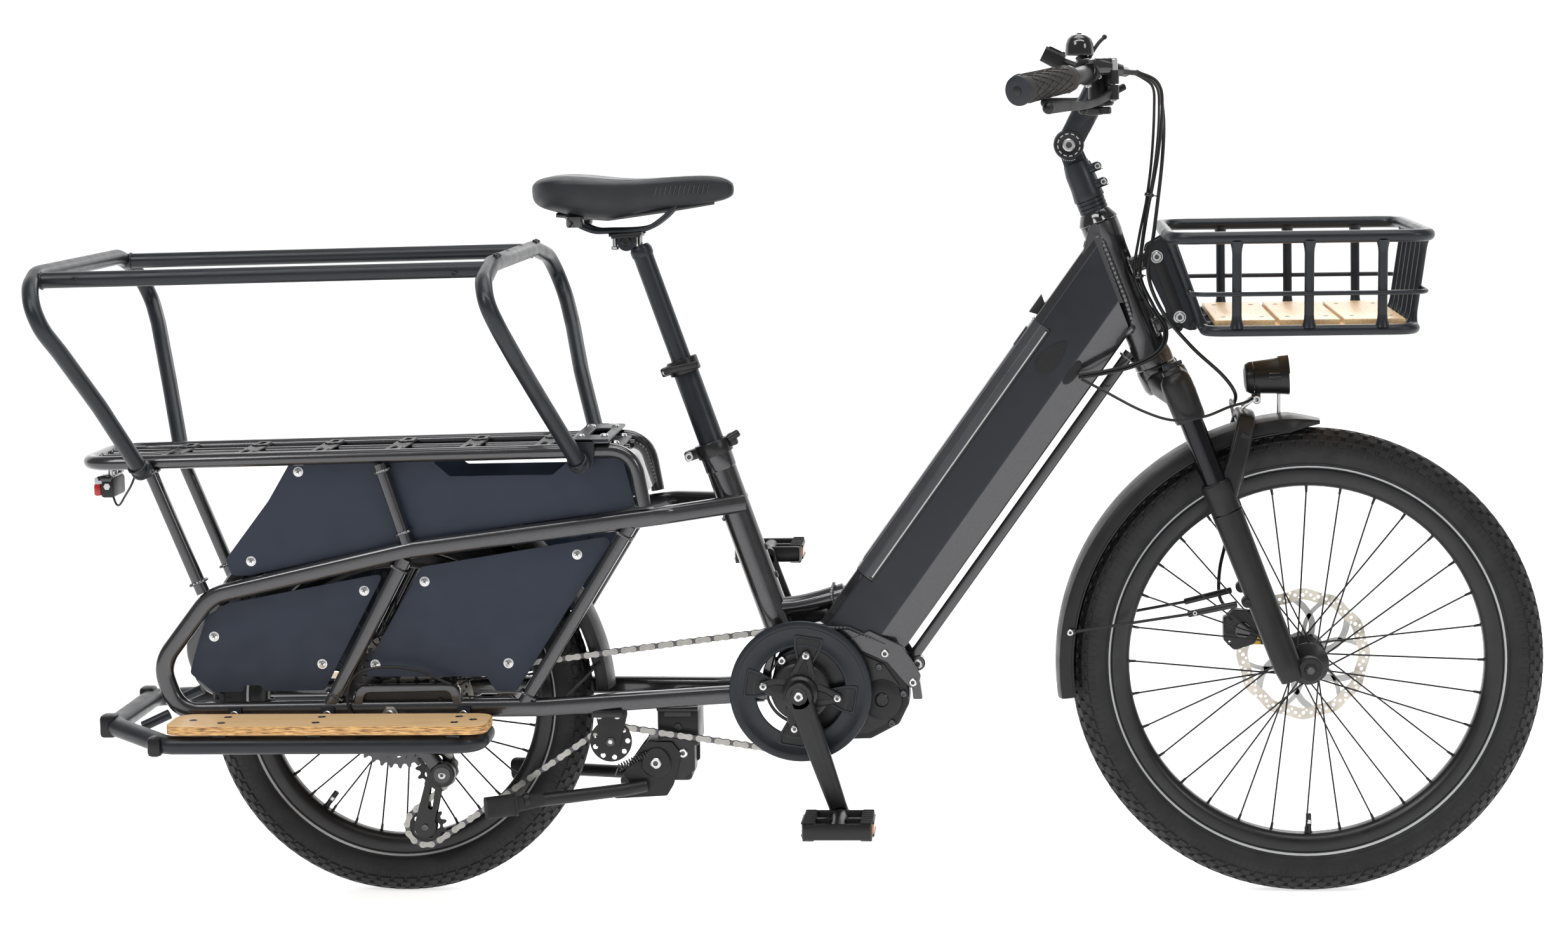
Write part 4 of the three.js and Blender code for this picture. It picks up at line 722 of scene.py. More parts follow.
def rotor(name, body, node, wheel, y, bore):
    """A drilled wave rotor: pale braking band, curved web arms and a bolted carrier."""
    p = Piece(name, body, node, slot="bright_metal")
    outline, holes = [], []
    for i in range(144):
        a = 2.5 * i
        wave = 1.5 * math.cos(math.radians(a * 12))
        outline.append((wheel["x"] + (88.3 + wave) * math.cos(math.radians(a)),
                        wheel["z"] + (88.3 + wave) * math.sin(math.radians(a))))
    inner = []
    for i in range(120):
        a = 3 * i
        wave = 1.2 * math.cos(math.radians(a * 12))
        inner.append((wheel["x"] + (73 + wave) * math.cos(math.radians(a)),
                      wheel["z"] + (73 + wave) * math.sin(math.radians(a))))
    for i in range(24):
        a = math.radians(15 * i)
        for k, (r, size) in enumerate([(85.0, 1.7), (80.6, 2.4), (76.8, 1.7)]):
            b = a + math.radians(3.4 * k - 3)
            holes.append((wheel["x"] + r * math.cos(b), wheel["z"] + r * math.sin(b), size))
        b = a + math.radians(7.8)
        holes.append((wheel["x"] + 81 * math.cos(b), wheel["z"] + 81 * math.sin(b), 2.1))
    p.plate(outline, (y, y + 1.8), "bronze", 0, [inner] + holes, 0.15)
    centre = (wheel["x"], wheel["z"])
    p.plate([(centre[0] + u, centre[1] + v) for u, v in circle(31, 48)], (y - 0.1, y + 1.9), "alloy", 0,
            [[(centre[0] + u, centre[1] + v) for u, v in circle(bore, 32)]], 0.2)
    for i in range(6):
        a = 60 * i + 8
        for da, db, w in ((0, 30, 9.0), (22, 2, 6.0)):
            pts = [polar(wheel, 28, a + da, y + 0.9), polar(wheel, 46, a + da + (db - da) * 0.25, y + 0.9),
                   polar(wheel, 62, a + da + (db - da) * 0.65, y + 0.9), polar(wheel, 75, a + db, y + 0.9)]
            p.sweep(spline(pts, 5), squircle(1.7, w, 0.3, 1), "alloy")
        c = polar(wheel, 22 if bore < 18 else 26, a, y - 0.1)
        hex_bolt(p, c, (0, -1, 0), 3.6, "dark_steel", 2.0)
        c = polar(wheel, 22 if bore < 18 else 26, a, y + 1.9)
        hex_bolt(p, c, (0, 1, 0), 3.6, "dark_steel", 2.0)
    return p.done(30)


def wheels():
    tyre("rear_tyre_tread", "rear_wheel", "rear_tyre", REAR, 84)
    tyre("front_tyre_tread", "front_wheel", "front_tyre", FRONT, 100)
    rim("rear_rim_walls", "rear_wheel", "rear_rim", REAR, 233)
    rim("front_rim_walls", "front_wheel", "front_rim", FRONT, 271)
    hub("rear_hub_spokes", "rear_wheel", "rear_hub", REAR,
        [(8, -73.4), (10.8, -73.4), (11, -36), (24, -33), (30, -29), (30.5, -26), (29, -23.5), (18, -20), (16, -14),
         (16, 14), (18, 20), (29, 23.5), (30.5, 26), (30, 29), (24, 31), (20.5, 33), (20.5, 44), (11, 46),
         (10.8, 73.4),
         (8, 73.4)], 27, 26)
    hub("front_hub_spokes", "front_wheel", "front_hub", FRONT,
        [(8.2, -53.5), (12, -53.5), (12.5, -38), (21, -35.5), (28, -32), (28.5, -30), (27, -27.5), (18, -24),
         (16, -16),
         (16, 16), (18, 24), (27, 27.5), (28.5, 30), (28, 33), (21, 36), (20.5, 40), (20.5, 48), (12.5, 49.5),
         (12, 53.5), (8.2, 53.5)], 25, 30)
    rotor("rear_brake_disc", "rear_wheel", "rear_rotor", REAR, 40.5, 21.4)
    rotor("front_brake_disc", "front_wheel", "front_rotor", FRONT, 45, 21.4)


wheels()


# ---------------------------------------------------------------- main frame
SLOT_RANGE, SLOT_COVER = (722, 1134), 274
DOWN_SECTION = [(-24, 248.4), (24, 248.4), (35, 260), (38, 324), (22, 362), (-22, 362), (-38, 324), (-35, 260)]
MOTOR = [(508, 296), (516, 328), (556, 350), (604, 350), (668, 321), (690, 290), (692, 262), (678, 234), (640, 214),
         (600, 213), (556, 232), (522, 252)]


def softened(section, c=5, n=3):
    """The corners of a section of (y, depth) points, rounded."""
    return [(p.x, p.y) for p in rounded([V(u, v, 0) for u, v in section], c, True, n)]


def down_section(depth0, depth1, inset=0.0):
    """The part of the down tube's section between two depths below its top line."""
    pts = softened(DOWN_SECTION)
    kept = []
    n = len(pts)
    for i, (y, s) in enumerate(pts):
        y2, s2 = pts[(i + 1) % n]
        if depth0 <= s <= depth1:
            kept.append((y - math.copysign(inset, y), s))
        for cut in (depth0, depth1):
            if (s - cut) * (s2 - cut) < 0:
                yy = y + (y2 - y) * (cut - s) / (s2 - s)
                kept.append((yy - math.copysign(inset, yy), cut))
    return kept


def down_loft(p, section, t0, t1, look, ends=(0, 0)):
    """Carries a section of (y, depth) points along the down tube, its ends slanted by ends (t per depth)."""
    rings = []
    for t, slope in ((t0, ends[0]), (t1, ends[1])):
        rings.append([down(t + slope * (s - 248), s, y) for y, s in section])
    n = len(section)
    faces = [(j, (j + 1) % n, n + (j + 1) % n, n + j) for j in range(n)]
    faces += [tuple(reversed(range(n))), tuple(range(n, 2 * n))]
    p.add(rings[0] + rings[1], faces, look)


def ring_around(centre, direction, r, n=40, tilt=None):
    """Points of a circle about a direction; tilt shifts a point along it by tilt(angle)."""
    q = V(0, 0, 1).rotation_difference(Vector(direction).normalized())
    d = Vector(direction).normalized()
    out = []
    for i in range(n):
        a = 2 * math.pi * i / n
        out.append(Vector(centre) + q @ V(r * math.cos(a), r * math.sin(a),
                                          0) + (d * tilt(a) if tilt else V(0, 0, 0)))
    return out


def main_frame():
    p = Piece("main_frame_tubes", "frame", "main_frame", slot="frame_paint")
    # head tube: flared ends, bored through
    p.lathe([(18.2, 0), (26.4, 0), (27, 0.8), (27, 12), (26.2, 16), (24, 26), (23.5, 40), (23.5, 165), (24.4, 178),
             (25.6, 186), (25.6, 203), (24.8, 204), (18.2, 204)], head(0), HEAD_DIR, "paint", 56, closed=True)
    # down tube: three walls below the battery, whole above and below it
    t0, t1 = SLOT_RANGE
    whole = softened(DOWN_SECTION)
    low = [(y, s) for y, s in down_section(SLOT_COVER, 400)]
    low.sort(key=lambda q: math.atan2(q[1] - 300, q[0]))
    # the head end stops on the head tube's axis line
    def head_end(y, s):
        # distance t at which this line of the tube meets the plane just behind the head tube
        base = down(0, s, y)
        plane = head(0, -14)
        return (plane - base).dot(HEAD_FRONT) / DOWN_DIR.dot(HEAD_FRONT)

    def shell(section, ta_of, tb_of):
        """One length of the tube between two ends: paint, with the flat of each side in a duller tone."""
        n = len(section)
        verts = [down(ta_of(y, s), s, y) for y, s in section] + [down(tb_of(y, s), s, y) for y, s in section]
        faces = {"paint": [tuple(reversed(range(n))), tuple(range(n, 2 * n))], "facet": []}
        for j in range(n):
            k = (j + 1) % n
            flat = all(abs(section[i][0]) > 33.6 and 258 < section[i][1] < 330 for i in (j, k))
            faces["facet" if flat else "paint"].append((j, k, n + k, n + j))
        for look in faces:
            p.add(verts, faces[look], look)

    def low_end(y, s):
        # the tube's lower end lies on the slanted seam above the motor cradle
        base = down(0, s, y)
        seam = V(575, 0, 371)
        out = V(-0.383, 0, -0.924)
        return (seam - base).dot(out) / DOWN_DIR.dot(out)

    shell(whole, low_end, lambda y, s: t0)
    shell(low, lambda y, s: t0, lambda y, s: t1)
    shell(whole, lambda y, s: t1, head_end)
    # the gap beside the battery cover: a black strip along each side, painted shade inside the gap
    for side in (-1, 1):
        p.sweep([down(t, SLOT_COVER + 0.2, side * 35.6) for t in (t0 + 2, t1 - 2)], squircle(1.6, 2.8, 0.4, 1),
                "cable")
    # motor cradle: a band around the top of the drive unit, open at the sides
    top = [(494, 268), (493, 290), (497, 312), (509, 340), (530, 357), (552, 366), (612, 366), (679, 333), (706, 296),
           (710, 268), (697, 268), (695, 291), (670, 323.5), (606, 353), (556, 353), (513, 331), (505, 298),
           (503, 268)]
    p.plate(top, (-40, 40), "paint", 3, (), 1.6)
    p.bead([V(x, s * 40.5, z) for s in (-1,) for x, z in [(552, 365), (575, 366), (612, 365.5), (640, 353),
                                                          (660, 343)]], 2.6,
           closed=False)
    p.bead([V(x, 40.5, z) for x, z in [(552, 365), (575, 366), (612, 365.5), (640, 353), (660, 343)]], 2.6,
           closed=False)
    # plate beside the cradle with its bolts
    for s in (-1, 1):
        p.plate([(612, 350), (640, 362), (684, 341), (708, 301), (702, 280), (690, 287), (664, 318), (616, 340)],
                (40 * s - 2, 40 * s + 2), "paint", 5, (), 1.0)
        for x, z in ((697, 292), (660, 331), (522, 322), (540, 352)):
            hex_bolt(p, V(x, s * 42, z), (0, s, 0), 5.5, "steel", 4)
    # seat tube and its collar
    p.lathe([(17.6, 0), (20.5, 0), (20.5, 262), (17.6, 262)], seat(-22), SEAT_DIR, "paint", 48, closed=True)
    p.lathe([(20.4, 228), (21.6, 231), (21.8, 250), (18, 250), (18, 228)], seat(0), SEAT_DIR, "paint", 48,
            closed=True)
    p.lathe([(18, 249), (24.0, 249.4), (24.6, 250.6), (24.6, 267), (23.8, 268.4), (18, 268.8)], seat(0), SEAT_DIR,
            "anodised", 48, closed=True)
    p.box((-11, 11), (-7, 7), (20, 40), "anodised", 2.5, Matrix.Translation(seat(260)) @ SEAT_BACK)
    p.rod(seat(264, 22, -6), seat(268, 40, -6), 5.2, "anodised", 20, edge=1.6)
    p.box((-7, 7), (-9, 9), (22, 34), "anodised", 3,
          Matrix.Translation(seat(262)) @ SEAT_BACK @ Matrix.Rotation(math.pi, 4, "Y"))
    p.rod(seat(260, -33, -18), seat(260, -33, 17), 4.2, "steel")
    hex_bolt(p, seat(260, -33, -17), (0, -1, 0), 6.2, "steel", 5)
    p.rod(seat(260, -33, 15), seat(260, -33, 22), 6.5, "anodised", 6)
    # short top tube from the seat tube to the down tube, glossy and slightly bowed
    line = [V(497, 0, 387), V(545, 0, 391), V(606, 0, 406)]
    p.sweep(spline(line, 6), circle(15, 28, 13), "paint", scale=lambda t: 1.0 + 0.15 * (2 * t - 1) ** 2)
    p.bead(ring_around(V(511, 0, 388.5), V(1, 0, 0.06), 16.6, tilt=lambda a: -2.5 * math.cos(2 * a)), 2.5)
    p.bead(ring_around(V(592, 0, 402.5), V(1, 0, 0.24), 16.8, tilt=lambda a: 3 * math.cos(2 * a)), 2.5)
    # gusset web between that tube and the cradle
    p.plate([(507, 380), (580, 392), (590, 372), (560, 366), (527, 356), (512, 340)], (-4, 4), "paint", 8, (), 1.5)
    # lower brace: a slim box tube under the down tube
    p.sweep([down(664, 379), down(1168, 379)], squircle(18, 15, 4), "paint")
    p.rod(V(703, -13, 312), V(703, 13, 312), 10, "paint", 28, edge=1.5)
    hex_bolt(p, V(703, -13, 312), (0, -1, 0), 6.4, "steel", 4)
    hex_bolt(p, V(703, 13, 312), (0, 1, 0), 6.4, "steel", 4)
    p.bead([down(1160, 379 + v, u) for u, v in squircle(20, 17, 4)], 2.2)
    # basket lugs on the head tube
    for x, z in BRACKET_BOLTS:
        rel = V(x - 1022, 0, z - 710)
        t, reach = rel.dot(HEAD_DIR), rel.dot(HEAD_FRONT)
        p.sweep([head(t, 16), head(t, reach - 2), head(t, reach + 9)], squircle(40, 22, 5), "paint",
                scale=lambda k: (1, 1) if k < 0.9 else (0.96, 0.8))
        p.bead([head(t + v, 23.5 if abs(u) < 8 else 18, u) for u, v in squircle(42, 25, 8)], 2.3)
    # weld seam where the down tube meets the head tube
    seam = []
    for y, s in softened(DOWN_SECTION, 8, 4):
        q = down(head_end(y, s), s, y)
        back = math.sqrt(max(24.5 ** 2 - min(abs(y), 24.4) ** 2, 0))
        seam.append(head((q - head(0)).dot(HEAD_DIR), -back - 1.0 if back > 3 else -3,
                         y * (24.5 / 38 if abs(y) > 24 else 1)))
    p.bead([q + V(0, math.copysign(1.6, q.y), 0) - HEAD_FRONT * 1.5 for q in seam], 4.8, pitch=6.5)
    # cheeks that taper the wide tube onto the head tube
    for s in (-1, 1):
        ts = [(q - head(0)).dot(HEAD_DIR) for q in (down(head_end(38, 324), 324), down(head_end(24, 248.4), 248.4))]
        p.plate([(-5, 4), (26, 0), (26, 112), (16, 110), (-5, 80)], (-1.5, 1.5), "paint", 3, (), 0.8,
                Matrix.Translation(head(min(ts) - 6, -30, s * 26)) @ HEAD_PLANE)
    # cable port low on the head end of the down tube
    port = Matrix.Translation(down(1104, 329, -35.4)) @ DOWN_PLANE
    p.plate(circle(8.5, 32, 19), (-5, 2.4), "fork_black", 0, (), 1.6, port)
    p.plate(circle(5.5, 32, 15), (-6, 2.8), "cable", 0, (), 0.4, port)
    # charge port cover: a teardrop outline on the side
    tear = []
    for i in range(36):
        a = 2 * math.pi * i / 36
        w = 12.5 * (1 - 0.42 * math.sin(a))
        tear.append((w * math.cos(a), 27 * math.sin(a)))
    where = Matrix.Translation(down(1106, 296, -37.2)) @ DOWN_PLANE @ Matrix.Rotation(-0.12, 4, "Z")
    p.plate(tear, (-1.2, 1.4), "fork_black", 0, (), 0.6, where)
    p.plate([(u * 0.8, v * 0.84) for u, v in tear], (1.2, 1.8), "fork_black", 0, (), 0.4, where)
    # battery lock button above the cover
    down_loft(p, softened([(-9, 238), (9, 238), (11, 250), (-11, 250)], 3), 1139, 1157, "plastic", (0.35, -0.7))
    # battery lock: a small barrel on the left side
    p.rod(down(1120, 300, 36), down(1120, 300, 43), 9, "anodised", 28, edge=1.2)
    p.rod(down(1120, 300, 43), down(1120, 300, 44.5), 5, "steel", 20)
    # bottle bosses' plugs on the seat tube
    for t in (70, 110):
        hex_bolt(p, seat(t, 20, 0), SEAT_FRONT, 4.6, "anodised", 2.5)
    return p.done(34)


# Planes for plates: u is ahead of the axis (or along y), v along it, depth towards +y.
def plane_of(along, front):
    return Matrix((front, along, front.cross(along))).transposed().to_4x4()


HEAD_PLANE = plane_of(HEAD_DIR, HEAD_FRONT)
DOWN_PLANE = plane_of(DOWN_DIR, DOWN_FRONT)
SEAT_BACK = Matrix((V(0, 1, 0), SEAT_DIR, -SEAT_FRONT)).transposed().to_4x4()


def battery():
    p = Piece("battery_pack", "battery_pack", "battery", slot="battery_case")
    t0, t1 = SLOT_RANGE[0] + 1.2, SLOT_RANGE[1] - 1.2
    cover = [q for q in down_section(200, SLOT_COVER - 0.8)]
    cover.sort(key=lambda q: math.atan2(q[1] - 262, q[0]))
    down_loft(p, cover, t0, t1, "battery_grey")
    # dark case below the cover, seen through the gap
    down_loft(p, softened([(-29, 274), (29, 274), (29, 333), (-29, 333)], 5), t0 + 2, t1 - 2, "plastic")
    # raised lid panel, its seam and the hand recess
    down_loft(p, [(-18, 247.2), (18, 247.2), (20, 249.4), (-20, 249.4)], t0 + 14, t1 - 34, "battery_grey")
    down_loft(p, softened([(-11, 246), (11, 246), (13, 249.5), (-13, 249.5)], 1.2), t1 - 44, t1 - 16, "plastic",
              (0.4, -0.4))
    # a thin pale line along each side of the cover, a painted highlight on its lower edge
    for s in (-1, 1):
        p.sweep([down(t, 270.6, s * 35.7) for t in (t0 + 4, t1 - 4)], squircle(1.2, 1.8, 0.4, 1), "alloy")
        # dark strips across the cover near each end, painted shade in the end seams
        for t in (t0 + 3, t1 - 3):
            p.sweep([down(t, d, s * y) for y, d in ((22, 247.9), (33.8, 259.6), (35.6, 272.5))],
                    squircle(1.0, 1.2, 0.2, 1),
                    "gloss_black")
    return p.done(34)


def motor():
    p = Piece("motor_housing", "frame", "motor_unit", slot="black_plastic")
    p.plate(MOTOR, (-36, 36), "plastic", 9, [(CRANK["x"], CRANK["z"], 14)], 3.0)
    for s in (-1, 1):
        inner = [(CRANK["x"] + 25 + (x - CRANK["x"] - 25) * 0.9, CRANK["z"] - 6 + (z - CRANK["z"] + 6) * 0.9) for x,
                 z in MOTOR]
        p.plate(inner, (36 * s - 2, 36 * s + 2), "anodised", 9, [(CRANK["x"], CRANK["z"], 15)], 1.4)
        p.lathe([(13.6, 30), (13.6, 44), (24, 44), (27, 42), (31, 40), (38, 39), (41.5, 37), (42, 30)],
                V(CRANK["x"], 0, CRANK["z"]), (0, s, 0), "plastic", 56, closed=True)
        p.lathe([(46, 30), (46, 38.6), (49, 38.6), (49, 30)], V(CRANK["x"], 0, CRANK["z"]), (0, s, 0), "anodised",
                56, closed=True)
        for i in range(14):
            a = -62 + 11 * i
            if -62 <= a <= 60:
                c = polar(CRANK, 58, a)
                d = polar(CRANK, 90 - abs(a) * 0.14, a)
                p.sweep([V(c.x, s * 37, c.z), V(d.x, s * 37, d.z)], squircle(3.0, 3.2, 0.8, 2), "plastic")
        # big cover at the nose, with its rim and boss
        p.lathe([(10, 36), (10, 41), (24, 41), (27, 39.5), (28, 36)], V(655, 0, 268), (0, s, 0), "plastic", 48,
                closed=True)
        p.lathe([(0, 38), (9, 38), (9, 40), (7, 41.2), (0, 41.2)], V(655, 0, 268), (0, s, 0), "anodised", 36)
        for x, z in ((600, 223), (668, 236), (684, 276), (652, 312)):
            hex_bolt(p, V(x, s * 38, z), (0, s, 0), 4.6, "dark_steel", 3.4)
    # plug and short lead at the back
    p.box((504, 522), (-10, 10), (262, 276), "plastic", 3)
    return p.done(30)


# ---------------------------------------------------------------- tail: side frames, deck, panels
STAY = [(470, -14, 531), (372, -TRUSS_Y, 525), (33, -TRUSS_Y, 482), (-240, -TRUSS_Y, 421), (-312, -TRUSS_Y, 328),
        (-290, -TRUSS_Y, 264), (201, -TRUSS_Y, 268), (430, -37, 274), (497, -33, 277)]
BRACES = [((-6, 597), (28, 490), 16), ((24, 470), (-82, 272), 20), ((327, 512), (178, 272), 18),
          ((-318, 596), (-250, 425), 17)]


def strut_end_bead(p, at, direction, w, h):
    """A weld seam around the end of a box strut."""
    d = Vector(direction).normalized()
    side = V(-d.z, 0, d.x)
    p.bead([at + side * v + V(0, u, 0) for u, v in squircle(w + 1.5, h + 4, 5)], 2.3)


def truss(name, node, flipped):
    p = Piece(name, "frame", node, slot="frame_paint")
    p.sweep(rounded(STAY, [0, 40, 60, 60, 50, 40, 60, 60, 0], steps=10), squircle(20, 24, 7, 4), "paint")
    for (x0, z0), (x1, z1), w in BRACES:
        a, b = V(x0, -TRUSS_Y, z0), V(x1, -TRUSS_Y, z1)
        p.sweep([a, b], squircle(18, w, 6, 4), "paint")
        d = (b - a).normalized()
        for at, s in ((a, 1), (b, -1)):
            if z0 > 590 and s == 1:
                strut_end_bead(p, at + d * 10, d, 18, w)
            else:
                strut_end_bead(p, at + d * s * 15.5, d, 18, w)
    # dropout: a rounded pocket with a raised rim, the axle plate and its nut
    p.plate([(-54, 252), (-46, 299), (92, 301), (102, 252)], (-94, -76), "paint", 16,
            [rounded_loop([(-40, 262), (-34, 289), (80, 291), (88, 262)], 9)], 2.0)
    p.plate([(-44, 256), (-38, 294), (84, 296), (92, 256)], (-84, -77), "anodised", 10, (), 0.8)
    p.rod(V(0, -98, 262), V(0, -80, 262), 11, "steel", 6, edge=1.4)
    p.rod(V(0, -105, 262), V(0, -98, 262), 6.2, "steel", 24, edge=1.5)
    p.lathe([(0, 0), (15, 0), (15, 2), (0, 2)], V(0, -86, 262), (0, -1, 0), "steel", 36)
    p.rod(V(0, -80, 262), V(0, -0.6, 262), 7.0, "dark_steel", 24)
    p.rod(V(0, -79, 262), V(0, -73.9, 262), 13, "anodised", 32)
    for x, z in ((28, 275), (66, 277)):
        hex_bolt(p, V(x, -84.5, z), (0, -1, 0), 4.5, "anodised", 3)
    # slanted plate by the seat tube with the weld around it
    p.bead([seat(176 + v, -20 if abs(u) < 9 else -17, u) for u, v in squircle(21, 26, 7)], 2.5)
    if flipped:
        rear_caliper(p)
    else:
        # idler bracket below the lower tube
        p.plate([(270, 262), (317, 262), (302, 205), (281, 205)], (-62, -58.4), "fork_black", 9, (), 0.6)
        p.rod(V(IDLER[0], -64, IDLER[1]), V(IDLER[0], -44, IDLER[1]), 3.9, "steel")
        hex_bolt(p, V(IDLER[0], -62, IDLER[1]), (0, -1, 0), 6, "dark_steel", 3)
        p.box((270, 310), (-80, -58), (252, 262), "anodised", 2)
        for x in (278, 302):
            hex_bolt(p, V(x, -70, 252), (0, 0, -1), 4.2, "steel", 3)
    # bottom bosses where the board arms meet, with screw heads
    for x in (-210, -84, 100):
        hex_bolt(p, V(x, -95, 266), (0, -1, 0), 5.4, "anodised", 3)
    return p.done(32, flipped)


def rear_caliper(p):
    """A small two-piston brake around the disc, drawn on the right: body halves, pads, piston cap and bolts."""
    for x, y in (((34, 92), (-39.2, -34)), ((36, 92), (-54, -43.6))):
        p.box(x, y, (302, 350), "gloss_black", 5)
    p.box((66, 90), (-79, -46), (280, 304), "anodised", 3)
    p.box((46, 80), (-43.8, -39), (338, 352), "anodised", 1)
    p.rod(V(60, -58, 326), V(60, -53, 326), 12, "anodised", 32)
    for x, z in ((44, 312), (84, 342)):
        hex_bolt(p, V(x, -54, z), (0, -1, 0), 4.2, "steel", 3)


def rack():
    p = Piece("rack_deck_tubes", "frame", "rack_deck", slot="frame_paint")
    rail = [V(346, -TRUSS_Y, 538), V(333, -TRUSS_Y, 613), V(-407, -TRUSS_Y, 600)]
    loop = rail + [flip(q) for q in reversed(rail)]
    p.tube(rounded(loop, 48, steps=10), 9.5, "paint", 20)
    for y in (-28, 28):
        p.tube([V(-400, y, 600), V(322, y, 608)], 6, "paint", 16)
        p.bead(ring_around(V(-396, y, 600), V(1, 0, 0), 7, 20), 1.8)
    for i in range(6):
        x = -297 + 101 * i
        z = 610 + x * 13 / 740
        # stepped, slotted plate: raised at the middle, feet on the side tubes
        pts = [V(x, -TRUSS_Y + 3, z - 1), V(x, -70, z + 1.5), V(x, -40, z + 1.5), V(x, 40, z + 1.5),
               V(x, 70, z + 1.5),
               V(x, TRUSS_Y - 3, z - 1)]
        p.sweep(pts, squircle(24, 3.0, 1.0, 2), "fork_black", across=(1, 0, 0))
        for s in (-1, 1):
            p.plate([(-11, -22), (11, -22), (9, 22), (-9, 22)], (-1.2, 1.2), "fork_black", 5,
                    [rounded_loop([(-4, -14), (4, -14), (4, 14), (-4, 14)], 3.6)], 0.5,
                    Matrix.Translation(V(x + 2, s * 52, z + 3.6)))
            p.bead([V(x + u, s * (TRUSS_Y - 6), z + 0.4) for u in (-12, -4, 4, 12)], 1.9, closed=False)
            hex_bolt(p, V(x, s * 28, z + 2.6), (0, 0, 1), 4.4, "anodised", 2.5)
    # curved web at the front end
    line = rounded([V(300, 0, 606.5), V(330, 0, 603), V(345, 0, 552)], 26, steps=8)
    p.sweep(line, squircle(138, 4, 1.5, 2), "paint")
    for s in (-1, 1):
        p.bead([q + V(0, s * 70, 0) for q in line], 2.2, closed=False)
    # front plate with a slot window and dome bolts
    p.plate([(236, -62), (316, -62), (316, 62), (236, 62)], (0, 4), "satin", 10,
            [rounded_loop([(262, -24), (284, -24), (284, 24), (262, 24)], 6)], 0.9,
            Matrix.Translation(V(0, 0, 612.5)))
    for x, y in ((248, 44), (304, 44), (248, -44), (304, -44)):
        p.lathe([(6.5, 0), (6.4, 1.6), (4.6, 4.0), (0, 5.0)], V(x, y, 616.4), (0, 0, 1), "steel", 24)
    # light mount under the tail of the deck
    p.box((-392, -372), (-12, 12), (586, 597), "anodised", 2)
    for s in (-1, 1):
        p.rod(V(-386, s * 30, 594.5), V(-386, s * 30, 590), 4, "steel")
    return p.done(32)


PANELS = {
    "upper_panel": (
        [(-213, 446), (-221, 468), (-160, 547), (-128, 600), (60, 600), (86, 578), (224, 579), (249, 601), (318, 601),
         (334, 534), (30, 492), (-190, 446)], [(-118, 586), (-186, 466)]),
    "rear_panel": (
        [(-220, 409), (-6, 449), (-92, 290), (-176, 289), (-178, 297), (-202, 297), (-204, 288), (-244, 288),
         (-275, 314),
         (-266, 345), (-250, 392)], [(-34, 425), (-240, 364), (-94, 326)]),
    "front_panel": (
        [(44, 457), (292, 496), (298, 488), (168, 288), (140, 288), (128, 308), (-32, 308), (-38, 318)],
        [(48, 437), (254, 472), (-22, 325), (158, 326)]),
}


def panels():
    for name, (outline, screws) in PANELS.items():
        for label, flipped in (("right", False), ("left", True)):
            p = Piece(f"{name}_sheet_{label}", "frame", f"{name}_{label}", slot="panel_sheet")
            p.plate(outline, (-74.6, -72.6), "sheet", 7, (), 0.5)
            for x, z in screws:
                screw_head(p, V(x, -74.4, z), (0, -1, 0), 5.2)
                p.rod(V(x, -72.8, z), V(x, -70.5, z), 4.2, "dark_steel", 6, edge=0.3)
            p.done(30, flipped)


# ---------------------------------------------------------------- rails, boards
FRONT_HOOP = [(264, -110, 598), (228, -206, 693), (209, -274, 750), (194, -313, 792), (181, -322, 824),
              (173, -294, 850), (168, -190, 866)]
REAR_HOOP = [(-322, -110, 594), (-354, -182, 686), (-384, -250, 763), (-399, -277, 795), (-411, -274, 823),
             (-420, -250, 847),
             (-425, -200, 861)]


def hoop_line(points):
    return rounded([V(*q) for q in points] + [flip(q) for q in reversed(points)], 90, steps=7)


